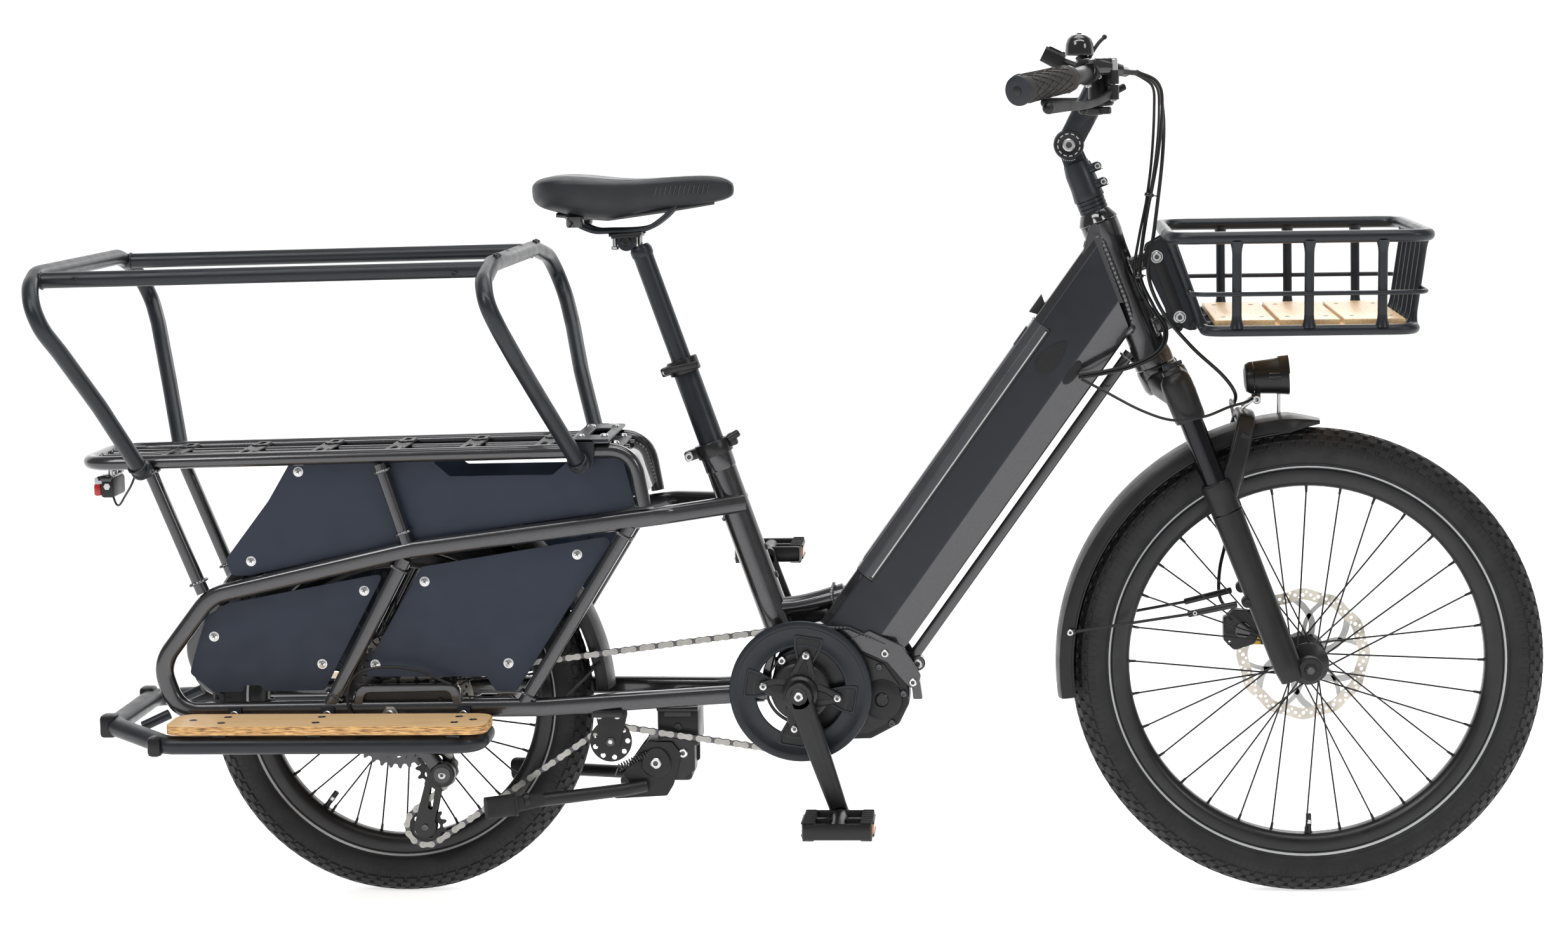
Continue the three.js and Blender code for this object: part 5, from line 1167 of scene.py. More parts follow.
def rails():
    p = Piece("front_hoop_tube", "frame", "rail_front_hoop", slot="satin_tube")
    p.tube(hoop_line(FRONT_HOOP), 11, "satin", 22, across=(1, 0, 0))
    for s in (-1, 1):
        p.rod(V(264, s * 97, 598), V(264, s * 113, 598), 14, "satin", 36, edge=2)
        hex_bolt(p, V(264, s * 112.5, 598), (0, s, 0), 8, "anodised", 4)
        p.plate([(247, 588), (281, 588), (284, 629), (246, 629)], (s * 98 - 2, s * 98 + 2), "satin", 7, (), 0.8)
        p.bead(ring_around(V(262, s * 115, 603), V(-0.25, s * 0.68, 0.68), 12.2, 28), 2.0, "satin")
        for y in (166, 186):
            hex_bolt(p, V(173, s * y, 875.5), (0.45, 0, 0.9), 4.2, "anodised", 3)
    p.plate([(250, -100), (302, -100), (302, 100), (250, 100)], (624.5, 628.5), "satin", 6,
            [rounded_loop([(268, -42), (290, -42), (290, 42), (268, 42)], 8)], 0.9, Matrix.Identity(4))
    for x, y in ((260, 60), (292, 60), (260, -60), (292, -60)):
        p.lathe([(6, 0), (5.8, 1.5), (4.2, 3.4), (0, 4.2)], V(x, y, 628.2), (0, 0, 1), "steel", 24)
    # capped bolt holes on the top bar
    for y in (-60, 60):
        hex_bolt(p, V(168, y, 876), (0, 0, 1), 3.6, "anodised", 1.5)
    p.done(32)
    p = Piece("rear_hoop_tube", "frame", "rail_rear_hoop", slot="satin_tube")
    p.tube(hoop_line(REAR_HOOP), 11, "satin", 22, across=(1, 0, 0))
    for s in (-1, 1):
        p.tube([V(-424, s * RAIL_Y, 854), V(162, s * (RAIL_Y - 4), 861)], 10.5, "satin", 22)
        p.bead(ring_around(V(-412, s * RAIL_Y, 854), V(1, 0, 0.01), 10.6, 28), 1.8, "satin")
        p.rod(V(-322, s * 97, 594), V(-322, s * 114, 594), 13.5, "satin", 36, edge=2)
        hex_bolt(p, V(-322, s * 113.5, 594), (0, s, 0), 8, "anodised", 4)
        p.bead(ring_around(V(-325, s * 115, 600), V(-0.28, s * 0.6, 0.75), 12.0, 28), 2.0, "satin")
        for x in (-366, 126):
            hex_bolt(p, V(x, s * (RAIL_Y + 10.2), 856), (0, s, 0), 3.4, "anodised", 1.4)
    p.done(32)


def boards():
    z = 238
    p = Piece("footboard_tube", "frame", "footboard_frame", slot="satin_tube")
    half = [V(128, -104, z), V(128, -184, z), V(-282, -186, z), V(-374, -104, z + 10)]
    p.sweep(rounded(half + [flip(q) for q in reversed(half)], 34, False, 9), squircle(24, 28, 11, 5), "satin",
            across=(0, 0, 1))
    for s in (-1, 1):
        for x in (-210, -84, 100):
            p.box((x - 9, x + 9), sorted((s * 97.8, s * 192)), (z + 9, z + 15), "satin", 1.4)
            p.box((x - 9, x + 9), sorted((s * 97.8, s * 101.4)), (z + 8, 272), "satin", 1.2)
            hex_bolt(p, V(x, s * 101, 262), (0, s, 0), 5.4, "steel", 3)
        # rubber end stops of the tail bumper
        p.box((-391, -369), sorted((s * 90, s * 116)), (z - 5, z + 26), "cable", 5)
        p.box((-305, -286), sorted((s * 177, s * 202)), (z - 14, z + 13), "cable", 6)
        p.rod(V(126, s * 96, z), V(126, s * 106, z), 13.4, "satin", 28)
        # short link from the truss to the bumper tube
        p.rod(V(-300, s * 92, 262), V(-336, s * 98, z + 8), 7, "satin", 20)
    p.done(32)
    for label, s in (("right", -1), ("left", 1)):
        p = Piece(f"footboard_ply_{label}", "frame", f"footboard_{label}", slot="bamboo")
        outline = [(-282, -202), (144, -202), (144, -112), (-282, -112)]
        lower = rounded_loop(outline, 26, 8)
        p.plate(lower, (0, 11.2), "ply_edge", 0, (), 0.6, Matrix.Translation(V(0, 0, 253.7)))
        inset = [(-69 + (u + 69) * 0.994, -157 + (v + 157) * 0.972) for u, v in lower]
        p.plate(inset, (0, 1.2), "bamboo_x", 0, (), 0.5, Matrix.Translation(V(0, 0, 264.3)))
        for x in (-252, -210, -84, 100, 122):
            for y in ((-157,) if x in (-252, 122) else (-176, -136)):
                p.lathe([(5.4, 0), (5.2, 0.7), (2.8, 0.9), (2.2, 0.2), (0, 0.2)], V(x, y, 265.3), (0, 0, 1),
                        "dark_steel", 20)
        p.done(30, s == 1)


main_frame()
battery()
motor()
truss("side_frame_right", "rear_truss_right", False)
truss("side_frame_left", "rear_truss_left", True)
rack()
panels()
rails()
boards()


# ---------------------------------------------------------------- mudguards and lights
def guard_section(half, r_side, crown, thick, n=7):
    """Half-round mudguard section: (across, radial) from the wheel's guard radius."""
    outer, inner = [], []
    for i in range(n + 1):
        a = math.pi * i / n
        u = half * math.cos(a)
        outer.append((u, crown * math.sin(a) ** 0.75))
        inner.append((u * (1 - thick / half), (crown - thick) * math.sin(a) ** 0.75))
    return [(half, -r_side)] + outer + [(-half, -r_side)] + [(-half + thick,
            -r_side)] + inner[::-1] + [(half - thick, -r_side)]


def guard(p, wheel, radius, a0, a1, half, crown, side, look="plastic", scale=None, steps=56):
    section = [(u, -v) for u, v in guard_section(half, side, crown, 2.0)]
    p.sweep([polar(wheel, radius, a0 + (a1 - a0) * i / steps) for i in range(steps + 1)], section, look, scale=scale)


def mudguards():
    p = Piece("rear_guard_sheet", "frame", "rear_mudguard", slot="black_plastic")
    guard(p, REAR, 281, 4, 150, 36, 11.5, 9, "fork_black")
    for s in (-1, 1):
        p.tube([polar(REAR, 273, 4 + 146 * i / 40, s * 36) for i in range(41)], 1.5, "fork_black", 8)
    p.box((-4, 14), (-12, 12), (546, 604), "satin", 2)
    hex_bolt(p, V(5, -12, 588), (0, -1, 0), 5, "steel", 3)
    hex_bolt(p, V(5, 12, 588), (0, 1, 0), 5, "steel", 3)
    for s in (-1, 1):
        p.tube([polar(REAR, 282, 12, s * 36), polar(REAR, 262, 9, s * 48), V(234, s * 74, 280)], 2.1, "cable", 12)
    p.done(30)
    p = Piece("front_guard_sheet", "fork_slider", "front_mudguard", slot="black_plastic")
    guard(p, FRONT, 322, 87, 188, 37, 12, 12, "fork_black", lambda t: (min(1, 0.45 + 8 * t), min(1, 0.25 + 10 * t)))
    for s in (-1, 1):
        p.tube([polar(FRONT, 311, 97 + 91 * i / 30, s * 37) for i in range(31)], 1.5, "fork_black", 8)
    # flap at the lower tip, and the pointed front lip
    tip = [(-35, 0), (35, 0), (30, -34), (20, -44), (-20, -44), (-30, -34)]
    end = polar(FRONT, 329, 188.2)
    down_way = V(0.06, 0, -1).normalized()
    p.plate([(v, -u) for u, v in [(a, b) for b, a in tip]], (-1.3, 1.3), "cable", 4, (), 0.6,
            Matrix.Translation(V(end.x + 1.5, 0, end.z + 8)) @ Matrix((V(0, 1, 0), down_way * -1,
                    V(-1, 0, -0.06))).transposed().to_4x4())
    # dark bracket between the guard and the bridge
    p.box((1128, 1150), (-26, 26), (632, 637.5), "anodised", 1.5)
    for s in (-1, 1):
        p.rod(V(909, s * 38, 358), V(1066, s * 53, 384), 2.1, "cable", 14)
        p.rod(V(1062, s * 53, 383.4), V(1126, s * 61, 398), 4.4, "anodised", 20, edge=1)
        hex_bolt(p, V(1071, s * 57.5, 386), (0, s, 0), 3.2, "steel", 2.6)
        p.rod(V(905, s * 37.5, 357.5), V(915, s * 39, 359), 4.2, "anodised", 18, edge=1)
        hex_bolt(p, V(907, s * 41, 358), (0, s, 0), 4.4, "steel", 3)
    p.done(30)


def headlight():
    p = Piece("headlight_body", "fork_slider", "headlight", slot="black_plastic")
    ahead = V(0.998, 0, 0.06)
    c = V(1169, 0, 693)
    p.lathe([(0, -30.5), (12, -30), (18, -28), (21, -23), (22, -10), (23.5, 10), (25.4, 24), (26, 27.2), (25.6, 28.4),
             (23.6, 28.6), (23.2, 26), (0, 26)], c, ahead, "cable", 56)
    p.lathe([(0, 20), (10, 20.5), (22.6, 26.3), (23.1, 27.4), (12, 27.9), (0, 28.2)], c, ahead, "clear_lens", 48)
    p.lathe([(0, 25), (3.5, 25), (4, 26.5), (0, 27)], c, ahead, "light_grey", 24)
    # brow over the lens, side slits and the seam
    p.lathe([(26.2, 16), (26.6, 27), (26.9, 29.4), (26.0, 29.4), (25.4, 27), (25, 16)], c, ahead, "cable", 24,
            closed=True, start=100, turn=160)
    for s in (-1, 1):
        for k in range(3):
            p.sweep([c + ahead * a + V(0, s * 24.2, 6 - 5 * k) for a in (2, 18)], squircle(1.2, 1.8, 0.4, 1),
                    "gloss_black")
    p.lathe([(21.6, -18), (22.3, -17.5), (21.7, -17)], c, ahead, "gloss_black", 48)
    # wire bracket, clamp eye and rod
    p.rod(V(1155, -16.5, 664), V(1155, 16.5, 664), 4.8, "steel", 28, edge=0.8)
    hex_bolt(p, V(1155, -16, 664), (0, -1, 0), 5.6, "steel", 3)
    p.box((1149, 1161), (-7, 7), (664, 681), "cable", 3)
    for s in (-1, 1):
        p.tube(spline([V(1155, s * 15, 664), V(1148, s * 15.5, 662.5), V(1136, s * 15, 652.6)], 5), 2.1, "steel", 14)
    p.rod(V(1185, 0, 676), V(1185, 0, 642), 2.5, "steel", 18)
    p.rod(V(1185, 0, 670), V(1185, 0, 676), 4.5, "steel", 6)
    p.done(30)


def rear_light():
    p = Piece("rear_light_body", "frame", "rear_light", slot="lamp_lens")
    p.box((-400, -381), (-30, 30), (547, 574), "plastic", 4)
    p.box((-408, -397), (-31, 31), (566, 575), "light_grey", 2)
    p.box((-411.5, -401), (-23, 23), (548.5, 566), "lens_red", 3.4)
    p.box((-404, -384), (-31, 31), (569, 577), "gloss_black", 2)
    p.box((-394, -386), (-9, 9), (573, 592), "anodised", 1.5)
    for s in (-1, 1):
        p.rod(V(-390, s * 30, 563), V(-390, s * 33, 563), 5.0, "steel", 6)
        p.rod(V(-384, s * 18, 577), V(-384, s * 18, 583), 4.6, "steel", 6)
        p.rod(V(-386, s * 22, 574), V(-386, s * 22, 592), 2.2, "steel", 14)
    p.tube(spline([V(-386, -20, 550), V(-381, -22, 538), V(-374, -30, 538), V(-362, -44, 552), V(-349, -60, 568),
                   V(-340, -68, 585)], 8), 1.6, "cable", 12)
    p.done(30)


# ---------------------------------------------------------------- front fork
def leg(z, s=-1):
    return head((z - 710 - LEG_AHEAD * HEAD_FRONT.z) / HEAD_DIR.z, LEG_AHEAD, s * LEG_Y)


def fork():
    p = Piece("fork_crown_body", "steering", "fork_crown", slot="black_metal")
    p.rod(head(-30), head(266), 14.3, "dark_steel", 32)
    p.lathe([(0, -36), (22, -35), (25.5, -28), (27, -12), (27.4, -5), (26.6, -0.8), (0, -0.8)], head(0), HEAD_DIR,
            "gloss_black", 48)
    for s in (-1, 1):
        line = [head(-20, 2, 0), head(-24, 5, s * 18), head(-30, 10, s * 38), head(-38, LEG_AHEAD - 1, s * 56),
                head(-46, LEG_AHEAD, s * LEG_Y)]
        p.sweep(spline(line, 4), squircle(46, 36, 13, 4), "fork_black", across=HEAD_FRONT,
                scale=lambda t: (1 - 0.1 * t, 1 + 0.04 * t))
        top, low = head(-14, LEG_AHEAD, s * LEG_Y), leg(643, s)
        p.lathe([(0, -1), (13, -1), (16, 1.5), (19.5, 6), (20.8, 14), (21.2, 28), (20.4, (top - low).length - 4),
                 (19.6, (top - low).length), (0, (top - low).length)], top, low - top, "fork_black", 44)
        # preload cap and lockout dial
        p.lathe([(0, 0), (12, 0), (13, 1), (13, 6), (11, 8.5), (0, 9)], top + HEAD_DIR * 0.5, HEAD_DIR, "anodised",
                36)
        if s == -1:
            p.lathe([(0, 8), (9.5, 8), (10, 9), (9.4, 15), (0, 16)], top, HEAD_DIR, "guard_blue", 24)
            p.sweep([top + HEAD_DIR * 12 + HEAD_FRONT * 4, top + HEAD_DIR * 12 + HEAD_FRONT * 17],
                    squircle(6, 5, 2, 3), "guard_blue")
        p.rod(leg(652, s), leg(452, s), 15.4, "stanchion", 40)
    p.done(32)

    p = Piece("fork_lower_legs", "fork_slider", "fork_lowers", slot="black_metal")
    for s in (-1, 1):
        line = [leg(520, s), leg(470, s), leg(390, s), V(leg(340).x, s * 68, 340), V(leg(316).x, s * 70, 316),
                V(leg(298).x, s * 70, 298)]
        sizes = [20.2, 19.6, 18.8, 18.8, 18.4, 15.5]
        m = len(line) - 1
        # an open sleeve for the upper tube, then the solid leg
        dirn = (leg(540, s) - leg(558, s)).normalized()
        p.lathe([(16.3, 0), (19.0, 0), (20.4, 1.5), (20.6, 10), (19.6, 14), (19.6, 40), (16.3, 40)], leg(559, s),
                dirn, "fork_black", 44, closed=True)
        p.lathe([(16.1, -2.5), (18.2, -2.5), (19.2, -0.5), (19.2, 1), (16.1, 1)], leg(559, s), dirn, "cable", 44,
                closed=True)

        def thick(t):
            i = min(int(t * m), m - 1)
            return sizes[i] + (sizes[i + 1] - sizes[i]) * (t * m - i)

        p.sweep(spline(line, 6), circle(0.86, 40, 1), "fork_black", scale=thick)
        # pinched recess line and the axle lug
        p.lathe([(7.6, -10), (15, -10), (16.5, -8), (16.8, 0), (16.5, 9), (15, 11), (7.6, 11)],
                V(FRONT["x"], s * 67.5, FRONT["z"]),
                (0, s, 0), "fork_black", 44, closed=True)
        p.rod(V(FRONT["x"], s * 66, FRONT["z"]), V(FRONT["x"], s * 80.5, FRONT["z"]), 8.6, "anodised", 6, edge=1.2)
        p.rod(V(FRONT["x"], s * 80, FRONT["z"]), V(FRONT["x"], s * 83.5, FRONT["z"]), 5, "dark_steel", 24)
        p.rod(V(1139, s * 57, 402), V(1139, s * 73, 402), 7.6, "fork_black", 28, edge=1.2)
        hex_bolt(p, V(1139, s * 72.5, 402), (0, s, 0), 4.6, "anodised", 3)
    # arch: a curved blade in front of the stanchions
    arch = [V(1112, -LEG_Y, 546), V(1127, -62, 590), V(1137, -52, 628), V(1140, -30, 643), V(1140, 30, 643),
            V(1137, 52, 628),
            V(1127, 62, 590), V(1112, LEG_Y, 546)]
    p.sweep(spline(arch, 7), squircle(24, 11, 4.5, 4), "fork_black", across=(1, 0, 0),
            scale=lambda t: 1 + 0.25 * (2 * t - 1) ** 4)
    p.plate([(1116, 560), (1134, 556), (1143, 620), (1132, 628)], (-62, -58), "fork_black", 4, (), 1.2)
    p.plate([(1116, 560), (1134, 556), (1143, 620), (1132, 628)], (58, 62), "fork_black", 4, (), 1.2)
    p.rod(V(FRONT["x"], -70, FRONT["z"]), V(FRONT["x"], 70, FRONT["z"]), 7.0, "steel", 32)
    # front caliper on the left leg, its mount, pads and hose fitting
    half = [(1113, 334), (1117, 366), (1128, 376), (1152, 372), (1164, 352), (1156, 328), (1128, 319)]
    p.plate(half, (49, 56), "anodised", 7, [(1122, 330, 2.2)], 1.6)
    p.plate(half, (36.5, 43.6), "anodised", 7, [(1122, 330, 2.2), (1124, 364, 2.2)], 1.6)
    p.box((1113, 1127), (37, 56), (333, 366), "anodised", 3.6)
    p.rod(V(1140, 55, 350), V(1140, 60, 350), 12.5, "anodised", 36)
    p.box((1128, 1164), (43.9, 45.0), (326, 366), "pad_gold", 0.4)
    p.box((1128, 1164), (46.9, 48.4), (326, 366), "pad_gold", 0.4)
    for z in (330, 366):
        p.box((1150, 1180), (52, 64), (z - 6, z + 6), "fork_black", 2.5)
        p.rod(V(1143, 58, z), V(1153, 58, z), 4.6, "steel", 6)
    p.rod(V(1140, 36.6, 347), V(1140, 34.6, 347), 11, "gloss_black", 32)
    p.done(32)


# ---------------------------------------------------------------- stem and bar
def stem():
    p = Piece("stem_lower", "steering", "stem_base", slot="satin_tube")
    p.lathe([(14.8, 204.6), (26.6, 204.6), (26.9, 206), (25.0, 210), (20.6, 218.5), (19.6, 219.6), (14.8, 219.6)],
            head(0), HEAD_DIR,
            "gloss_black", 48, closed=True)
    for k in range(3):
        a, b = 220 + 5.6 * k, 225.2 + 5.6 * k
        p.lathe([(14.8, a), (18.6, a), (19.2, a + 0.6), (19.2, b - 0.6), (18.6, b), (14.8, b)], head(0), HEAD_DIR,
                "satin", 44, closed=True)
    p.lathe([(14.8, 237), (20.4, 237), (20.8, 238), (20.0, 246), (19.2, 254), (19.2, 274), (17.4, 284), (16.8, 288),
             (14.8, 288)],
            head(0), HEAD_DIR, "satin", 44, closed=True)
    p.sweep([head(268), head(286), head(302)], squircle(18, 34, 6), "satin", scale=lambda t: 1 - 0.1 * t)
    p.rod(V(STEM_PIVOT[0], -9.2, STEM_PIVOT[1]), V(STEM_PIVOT[0], 9.2, STEM_PIVOT[1]), 19, "satin", 44, edge=1)
    for t in (252, 274):
        p.sweep([head(t, 12, 0), head(t, 26, 0)], squircle(28, 11, 3.5), "satin")
        p.rod(head(t, 25, -14), head(t, 25, 14), 5.6, "satin", 28)
        hex_bolt(p, head(t, 25, -14), (0, -1, 0), 4.4, "steel", 3.4)
        p.sweep([head(t - 5.6, 19.2, 0), head(t - 5.6, 31, 0)], squircle(28, 0.9, 0.3, 1), "gloss_black")
    p.sweep([head(240, 19.0, 0), head(284, 17.6, 0)], squircle(1.2, 2.6, 0.4, 1), "gloss_black")
    p.done(32)

    p = Piece("stem_upper", "bars", "stem_arm", slot="satin_tube")
    pivot, clamp = V(STEM_PIVOT[0], 0, STEM_PIVOT[1]), V(BAR_CLAMP[0], 0, BAR_CLAMP[1])
    reach = clamp - pivot
    arm = [pivot + reach * k for k in (0.26, 0.34, 0.55, 0.75, 0.92)]
    p.sweep(spline(arm, 4), squircle(40, 34, 14, 5), "satin", scale=lambda t: (1 + 0.06 * t, 1 + 0.02 * t))
    for s in (-1, 1):
        cheek = [pivot + reach * k + V(0, s * 14.8, 0) for k in (0.0, 0.42)]
        p.sweep(cheek, squircle(10.2, 33, 4), "satin")
        p.rod(V(pivot.x, s * 9.7, pivot.z), V(pivot.x, s * 20.2, pivot.z), 20, "satin", 48, edge=1.6)
        p.lathe([(9.6, 0), (9.6, 1.4), (10.8, 1.8), (19.0, 1.4), (19.4, 0)], V(pivot.x, s * 20, pivot.z), (0, s, 0),
                "anodised", 48)
        # ring of dash marks round the pivot bolt
        for k in range(12):
            a = 30 * k + 10
            c = V(pivot.x + 14.6 * math.cos(math.radians(a)), s * 21.7, pivot.z + 14.6 * math.sin(math.radians(a)))
            d = V(math.cos(math.radians(a + 90)), 0, math.sin(math.radians(a + 90)))
            p.sweep([c - d * 2.2, c + d * 2.2], squircle(0.5, 1.3, 0.2, 1), "light_grey")
        hex_bolt(p, V(pivot.x, s * 20.2, pivot.z), (0, s, 0), 8.4, "steel", 4.2)
        # scale ticks under the pivot
        for k in range(7):
            q = V(pivot.x + 20.6 * math.cos(math.radians(250 + 7 * k)), s * 19.2,
                  pivot.z + 20.6 * math.sin(math.radians(250 + 7 * k)))
            p.rod(q, q + V(0, s * 1.2, 0), 0.7, "light_grey", 6, edge=0.1)
    p.rod(V(pivot.x, -20, pivot.z), V(pivot.x, 20, pivot.z), 4.0, "dark_steel", 20)
    p.rod(clamp + V(0, -22, 0), clamp + V(0, 22, 0), 18, "satin", 44, edge=1.4)
    for y in (-13, 13):
        c = clamp + reach.normalized().cross(V(0, 1, 0)) * -1 * 17
        for k in (-1, 1):
            q = clamp + V(0, y, 0) + reach.normalized() * 15 + reach.normalized().cross(V(0, 1, 0)) * 12 * k
            hex_bolt(p, q, reach, 4.2, "steel", 3.4)
    p.done(32)


def grip_point(k, s=-1):
    return V(*[a + (b - a) * k for a, b in zip((GRIP_IN[0], s * GRIP_IN[1], GRIP_IN[2]),
                                               (GRIP_OUT[0], s * GRIP_OUT[1], GRIP_OUT[2]))])


def bar_line():
    half = [grip_point(0.96), grip_point(0), V(934, -150, 1098), V(957, -48, 1092)]
    return rounded(half + [flip(q) for q in reversed(half)], [0, 120, 90, 60, 60, 90, 120, 0], steps=10)


def handlebar():
    p = Piece("handlebar_tube", "bars", "handlebar", slot="black_metal")
    p.tube(bar_line(), 11, "fork_black", 28, across=(0, 0, 1))
    for s in (-1, 1):
        # brake lever body: split clamp, reservoir with a round lid, hose nut
        mid = V(932, s * 158, 1098.5)
        way = (V(934, s * 151, 1099) - V(930, s * 165, 1098)).normalized()
        bar_ring(p, 7, 15.6, 16.6, mid, way)
        hex_bolt(p, mid + V(2, 0, -17), (0, 0, -1), 3.8, "steel", 3)
        body = [V(932, s * 164, 1103), V(943, s * 152, 1104.5), V(958, s * 136, 1103), V(974, s * 120, 1099.5)]
        p.sweep(spline(body, 5), squircle(22, 23, 7, 4), "gloss_black", across=(0, 0, 1),
                scale=lambda t: (1.02 - 0.3 * t * t, 1.0 - 0.35 * t * t))
        lid = [V(938, s * 158, 1113.5), V(964, s * 130, 1113.5)]
        p.sweep(lid, squircle(3.4, 18, 1.6, 3), "anodised", across=(0, 0, 1))
        for q in (0.1, 0.9):
            hex_bolt(p, lid[0].lerp(lid[1], q) + V(0, 0, 1.4), (0, 0, 1), 2.1, "steel", 1.2)
        p.rod(V(971, s * 122, 1099), V(984, s * 104, 1097), 6.4, "anodised", 6, edge=1)
        p.tube([V(983, s * 105, 1097), V(996, s * 88, 1096)], 3.6, "cable", 16)
        p.rod(V(966, s * 138, 1100), V(966, s * 138, 1082.3), 7, "anodised", 28)
        p.rod(V(966, s * 138, 1114), V(966, s * 138, 1096), 5.4, "steel", 24)
    # shifter pod under the right side
    p.lathe([(0, 0), (14, 0.4), (16.2, 3), (16.4, 24), (14, 30), (11, 44), (0, 46)], V(951, -112, 1054),
            V(-0.03, 0, 1), "cable", 44)
    bar_ring(p, 7, 14.8, 15.6, V(945, -112, 1096), V(-0.2, 1, -0.04))
    p.sweep([V(958, -104, 1070), V(972, -92, 1074), V(980, -84, 1078)], squircle(9, 9, 3.5, 4), "cable")
    p.plate(circle(13.5, 28), (0, 1.6), "gloss_black", 0, (), 0.6, Matrix.Translation(V(951.6, -112, 1100)))
    hex_bolt(p, V(948, -129, 1092), (0, -1, 0), 3.2, "steel", 2)
    # bell: a glossy dome on its clamp, with the striker
    p.lathe([(0, 28), (5, 27.8), (11, 26), (15.6, 21.5), (18, 14.5), (18.6, 5), (18.4, 0.6), (17.4, 0), (16.6, 1),
             (0, 1)],
            V(924, -72, 1119), (0, 0, 1), "gloss_black", 56)
    p.lathe([(0, 28), (3.4, 27.9), (3.0, 29.6), (0, 30)], V(924, -72, 1118.6), (0, 0, 1), "anodised", 24)
    p.rod(V(924, -72, 1120), V(936, -74, 1104), 7.5, "cable", 24)
    bar_ring(p, 6, 13.8, 14.2, V(952, -72, 1093.6), V(-0.22, 1, -0.03))
    p.tube(spline([V(934, -72, 1110), V(940, -70, 1122), V(948, -66, 1134), V(956, -62, 1142)], 6), 2.5, "cable", 14)
    p.ball(V(956.5, -61.7, 1142.5), 3.4, "cable", 10)
    # remote with its display on the left
    tilt = V(-0.894, 0, 0.447)
    p.sweep([V(904, 142, 1110.5), V(878, 142, 1123.5)], squircle(46, 24, 6, 4), "cable", scale=lambda t: 1 - 0.08 * t)
    p.sweep([V(890, 142, 1117.5) + V(0.447, 0, 0.894) * k for k in (11.2, 12.6)], squircle(38, 20, 3, 3),
            "gloss_black")
    p.sweep([V(890, 142, 1117.5) + V(0.447, 0, 0.894) * k for k in (12.6, 12.9)], squircle(31, 15, 1, 2),
            "guard_blue")
    p.rod(V(898, 142, 1112), V(932, 142, 1099), 8, "cable", 24)
    bar_ring(p, 8, 14.6, 15.2, V(935.5, 142, 1097.6), V(-0.16, -1, 0.04))
    for k in range(3):
        p.rod(V(906, 128 + 9 * k, 1120), V(908, 128 + 9 * k, 1124), 3.4, "rubber_foot", 20)
    p.done(32)

    for label, s in (("right", -1), ("left", 1)):
        p = Piece(f"grip_sleeve_{label}", "bars", f"grip_{label}", slot="soft_rubber")
        a, b = grip_point(0.16, s), grip_point(1.0, s)
        way = (b - a).normalized()
        length = (b - a).length
        # flared sleeve with a flat palm rest at its outer end
        rows = []
        for k in range(29):
            t = k / 28
            r = 16.3 + 1.4 * math.exp(-((t - 0.03) / 0.03) ** 2) + 2.4 * max(t - 0.45, 0) ** 1.2
            rows.append((r, t * length))
        p.lathe([(12.4, 0), (15.2, 0)] + rows + [(15.5, length + 1.2), (12.4, length + 1.2)], a, way, "grip", 56,
                closed=True)
        q = V(0, 0, 1).rotation_difference(way)
        # raised net: two families of slanted ribs
        for family in (-1, 1):
            for j in range(11):
                pts = []
                for k in range(13):
                    t = 0.10 + 0.74 * k / 12
                    ang = 2 * math.pi * j / 11 + family * t * 3.0
                    r = 16.9 + 2.4 * max(t - 0.45, 0) ** 1.2
                    pts.append(a + q @ V(r * math.cos(ang), r * math.sin(ang), t * length))
                p.sweep(pts, squircle(1.1, 1.1, 0.3, 1), "grip")
        p.lathe([(0, 2.2), (10, 2.2), (15, 1.8), (18.6, 0.6), (18.9, -2.6), (16, -3), (12.4, -3)], b, way,
                "grip_cap", 48)
        p.lathe([(6, 2.2), (6, 3.0), (5, 3.4), (0, 3.4)], b, way, "anodised", 24)
        p.lathe([(11.6, -5), (15.6, -5), (16.4, -4), (16.4, 1), (15.6, 2), (11.6, 2)], a, way, "anodised", 40,
                closed=True)
        hex_bolt(p, a + V(0, 0, -16.2) - way * 1.5, (0, 0, -1), 2.6, "steel", 2)
        p.done(30)

    for label, s in (("right", -1), ("left", 1)):
        p = Piece(f"brake_blade_{label}", f"brake_{label}", f"brake_lever_{label}", slot="black_metal")
        line = [V(966, s * 138, 1072), V(958, s * 148, 1068), V(944, s * 172, 1061), V(926, s * 208, 1057),
                V(904, s * 252, 1056), V(884, s * 292, 1055)]
        p.sweep(spline(line, 6), squircle(6.4, 13, 2.6, 4), "fork_black", across=(1, 0, 0),
                scale=lambda t: (1, 1.12 - 0.3 * math.sin(math.pi * t)))
        p.rod(V(966, s * 138, 1081.2), V(966, s * 138, 1062.4), 7, "anodised", 28, edge=1)
        hex_bolt(p, V(966, s * 138, 1062.4), (0, 0, -1), 4.2, "steel", 2)
        p.ball(V(882, s * 297, 1055), 7.6, "fork_black", 12)
        p.done(30)

    p = Piece("shift_trigger", "shifter", "shift_lever", slot="black_plastic")
    p.sweep(spline([V(951, -118, 1048), V(941, -132, 1047.5), V(929, -147, 1049)], 6), squircle(9.5, 5.6, 2.4, 4),
            "cable", across=(0, 0, 1))
    p.ball(V(927, -149, 1049), 5.6, "cable", 10, (1, 1, 0.9))
    p.rod(V(951, -112, 1053.4), V(951, -112, 1044), 12.8, "anodised", 36, edge=1.4)
    p.done(30)


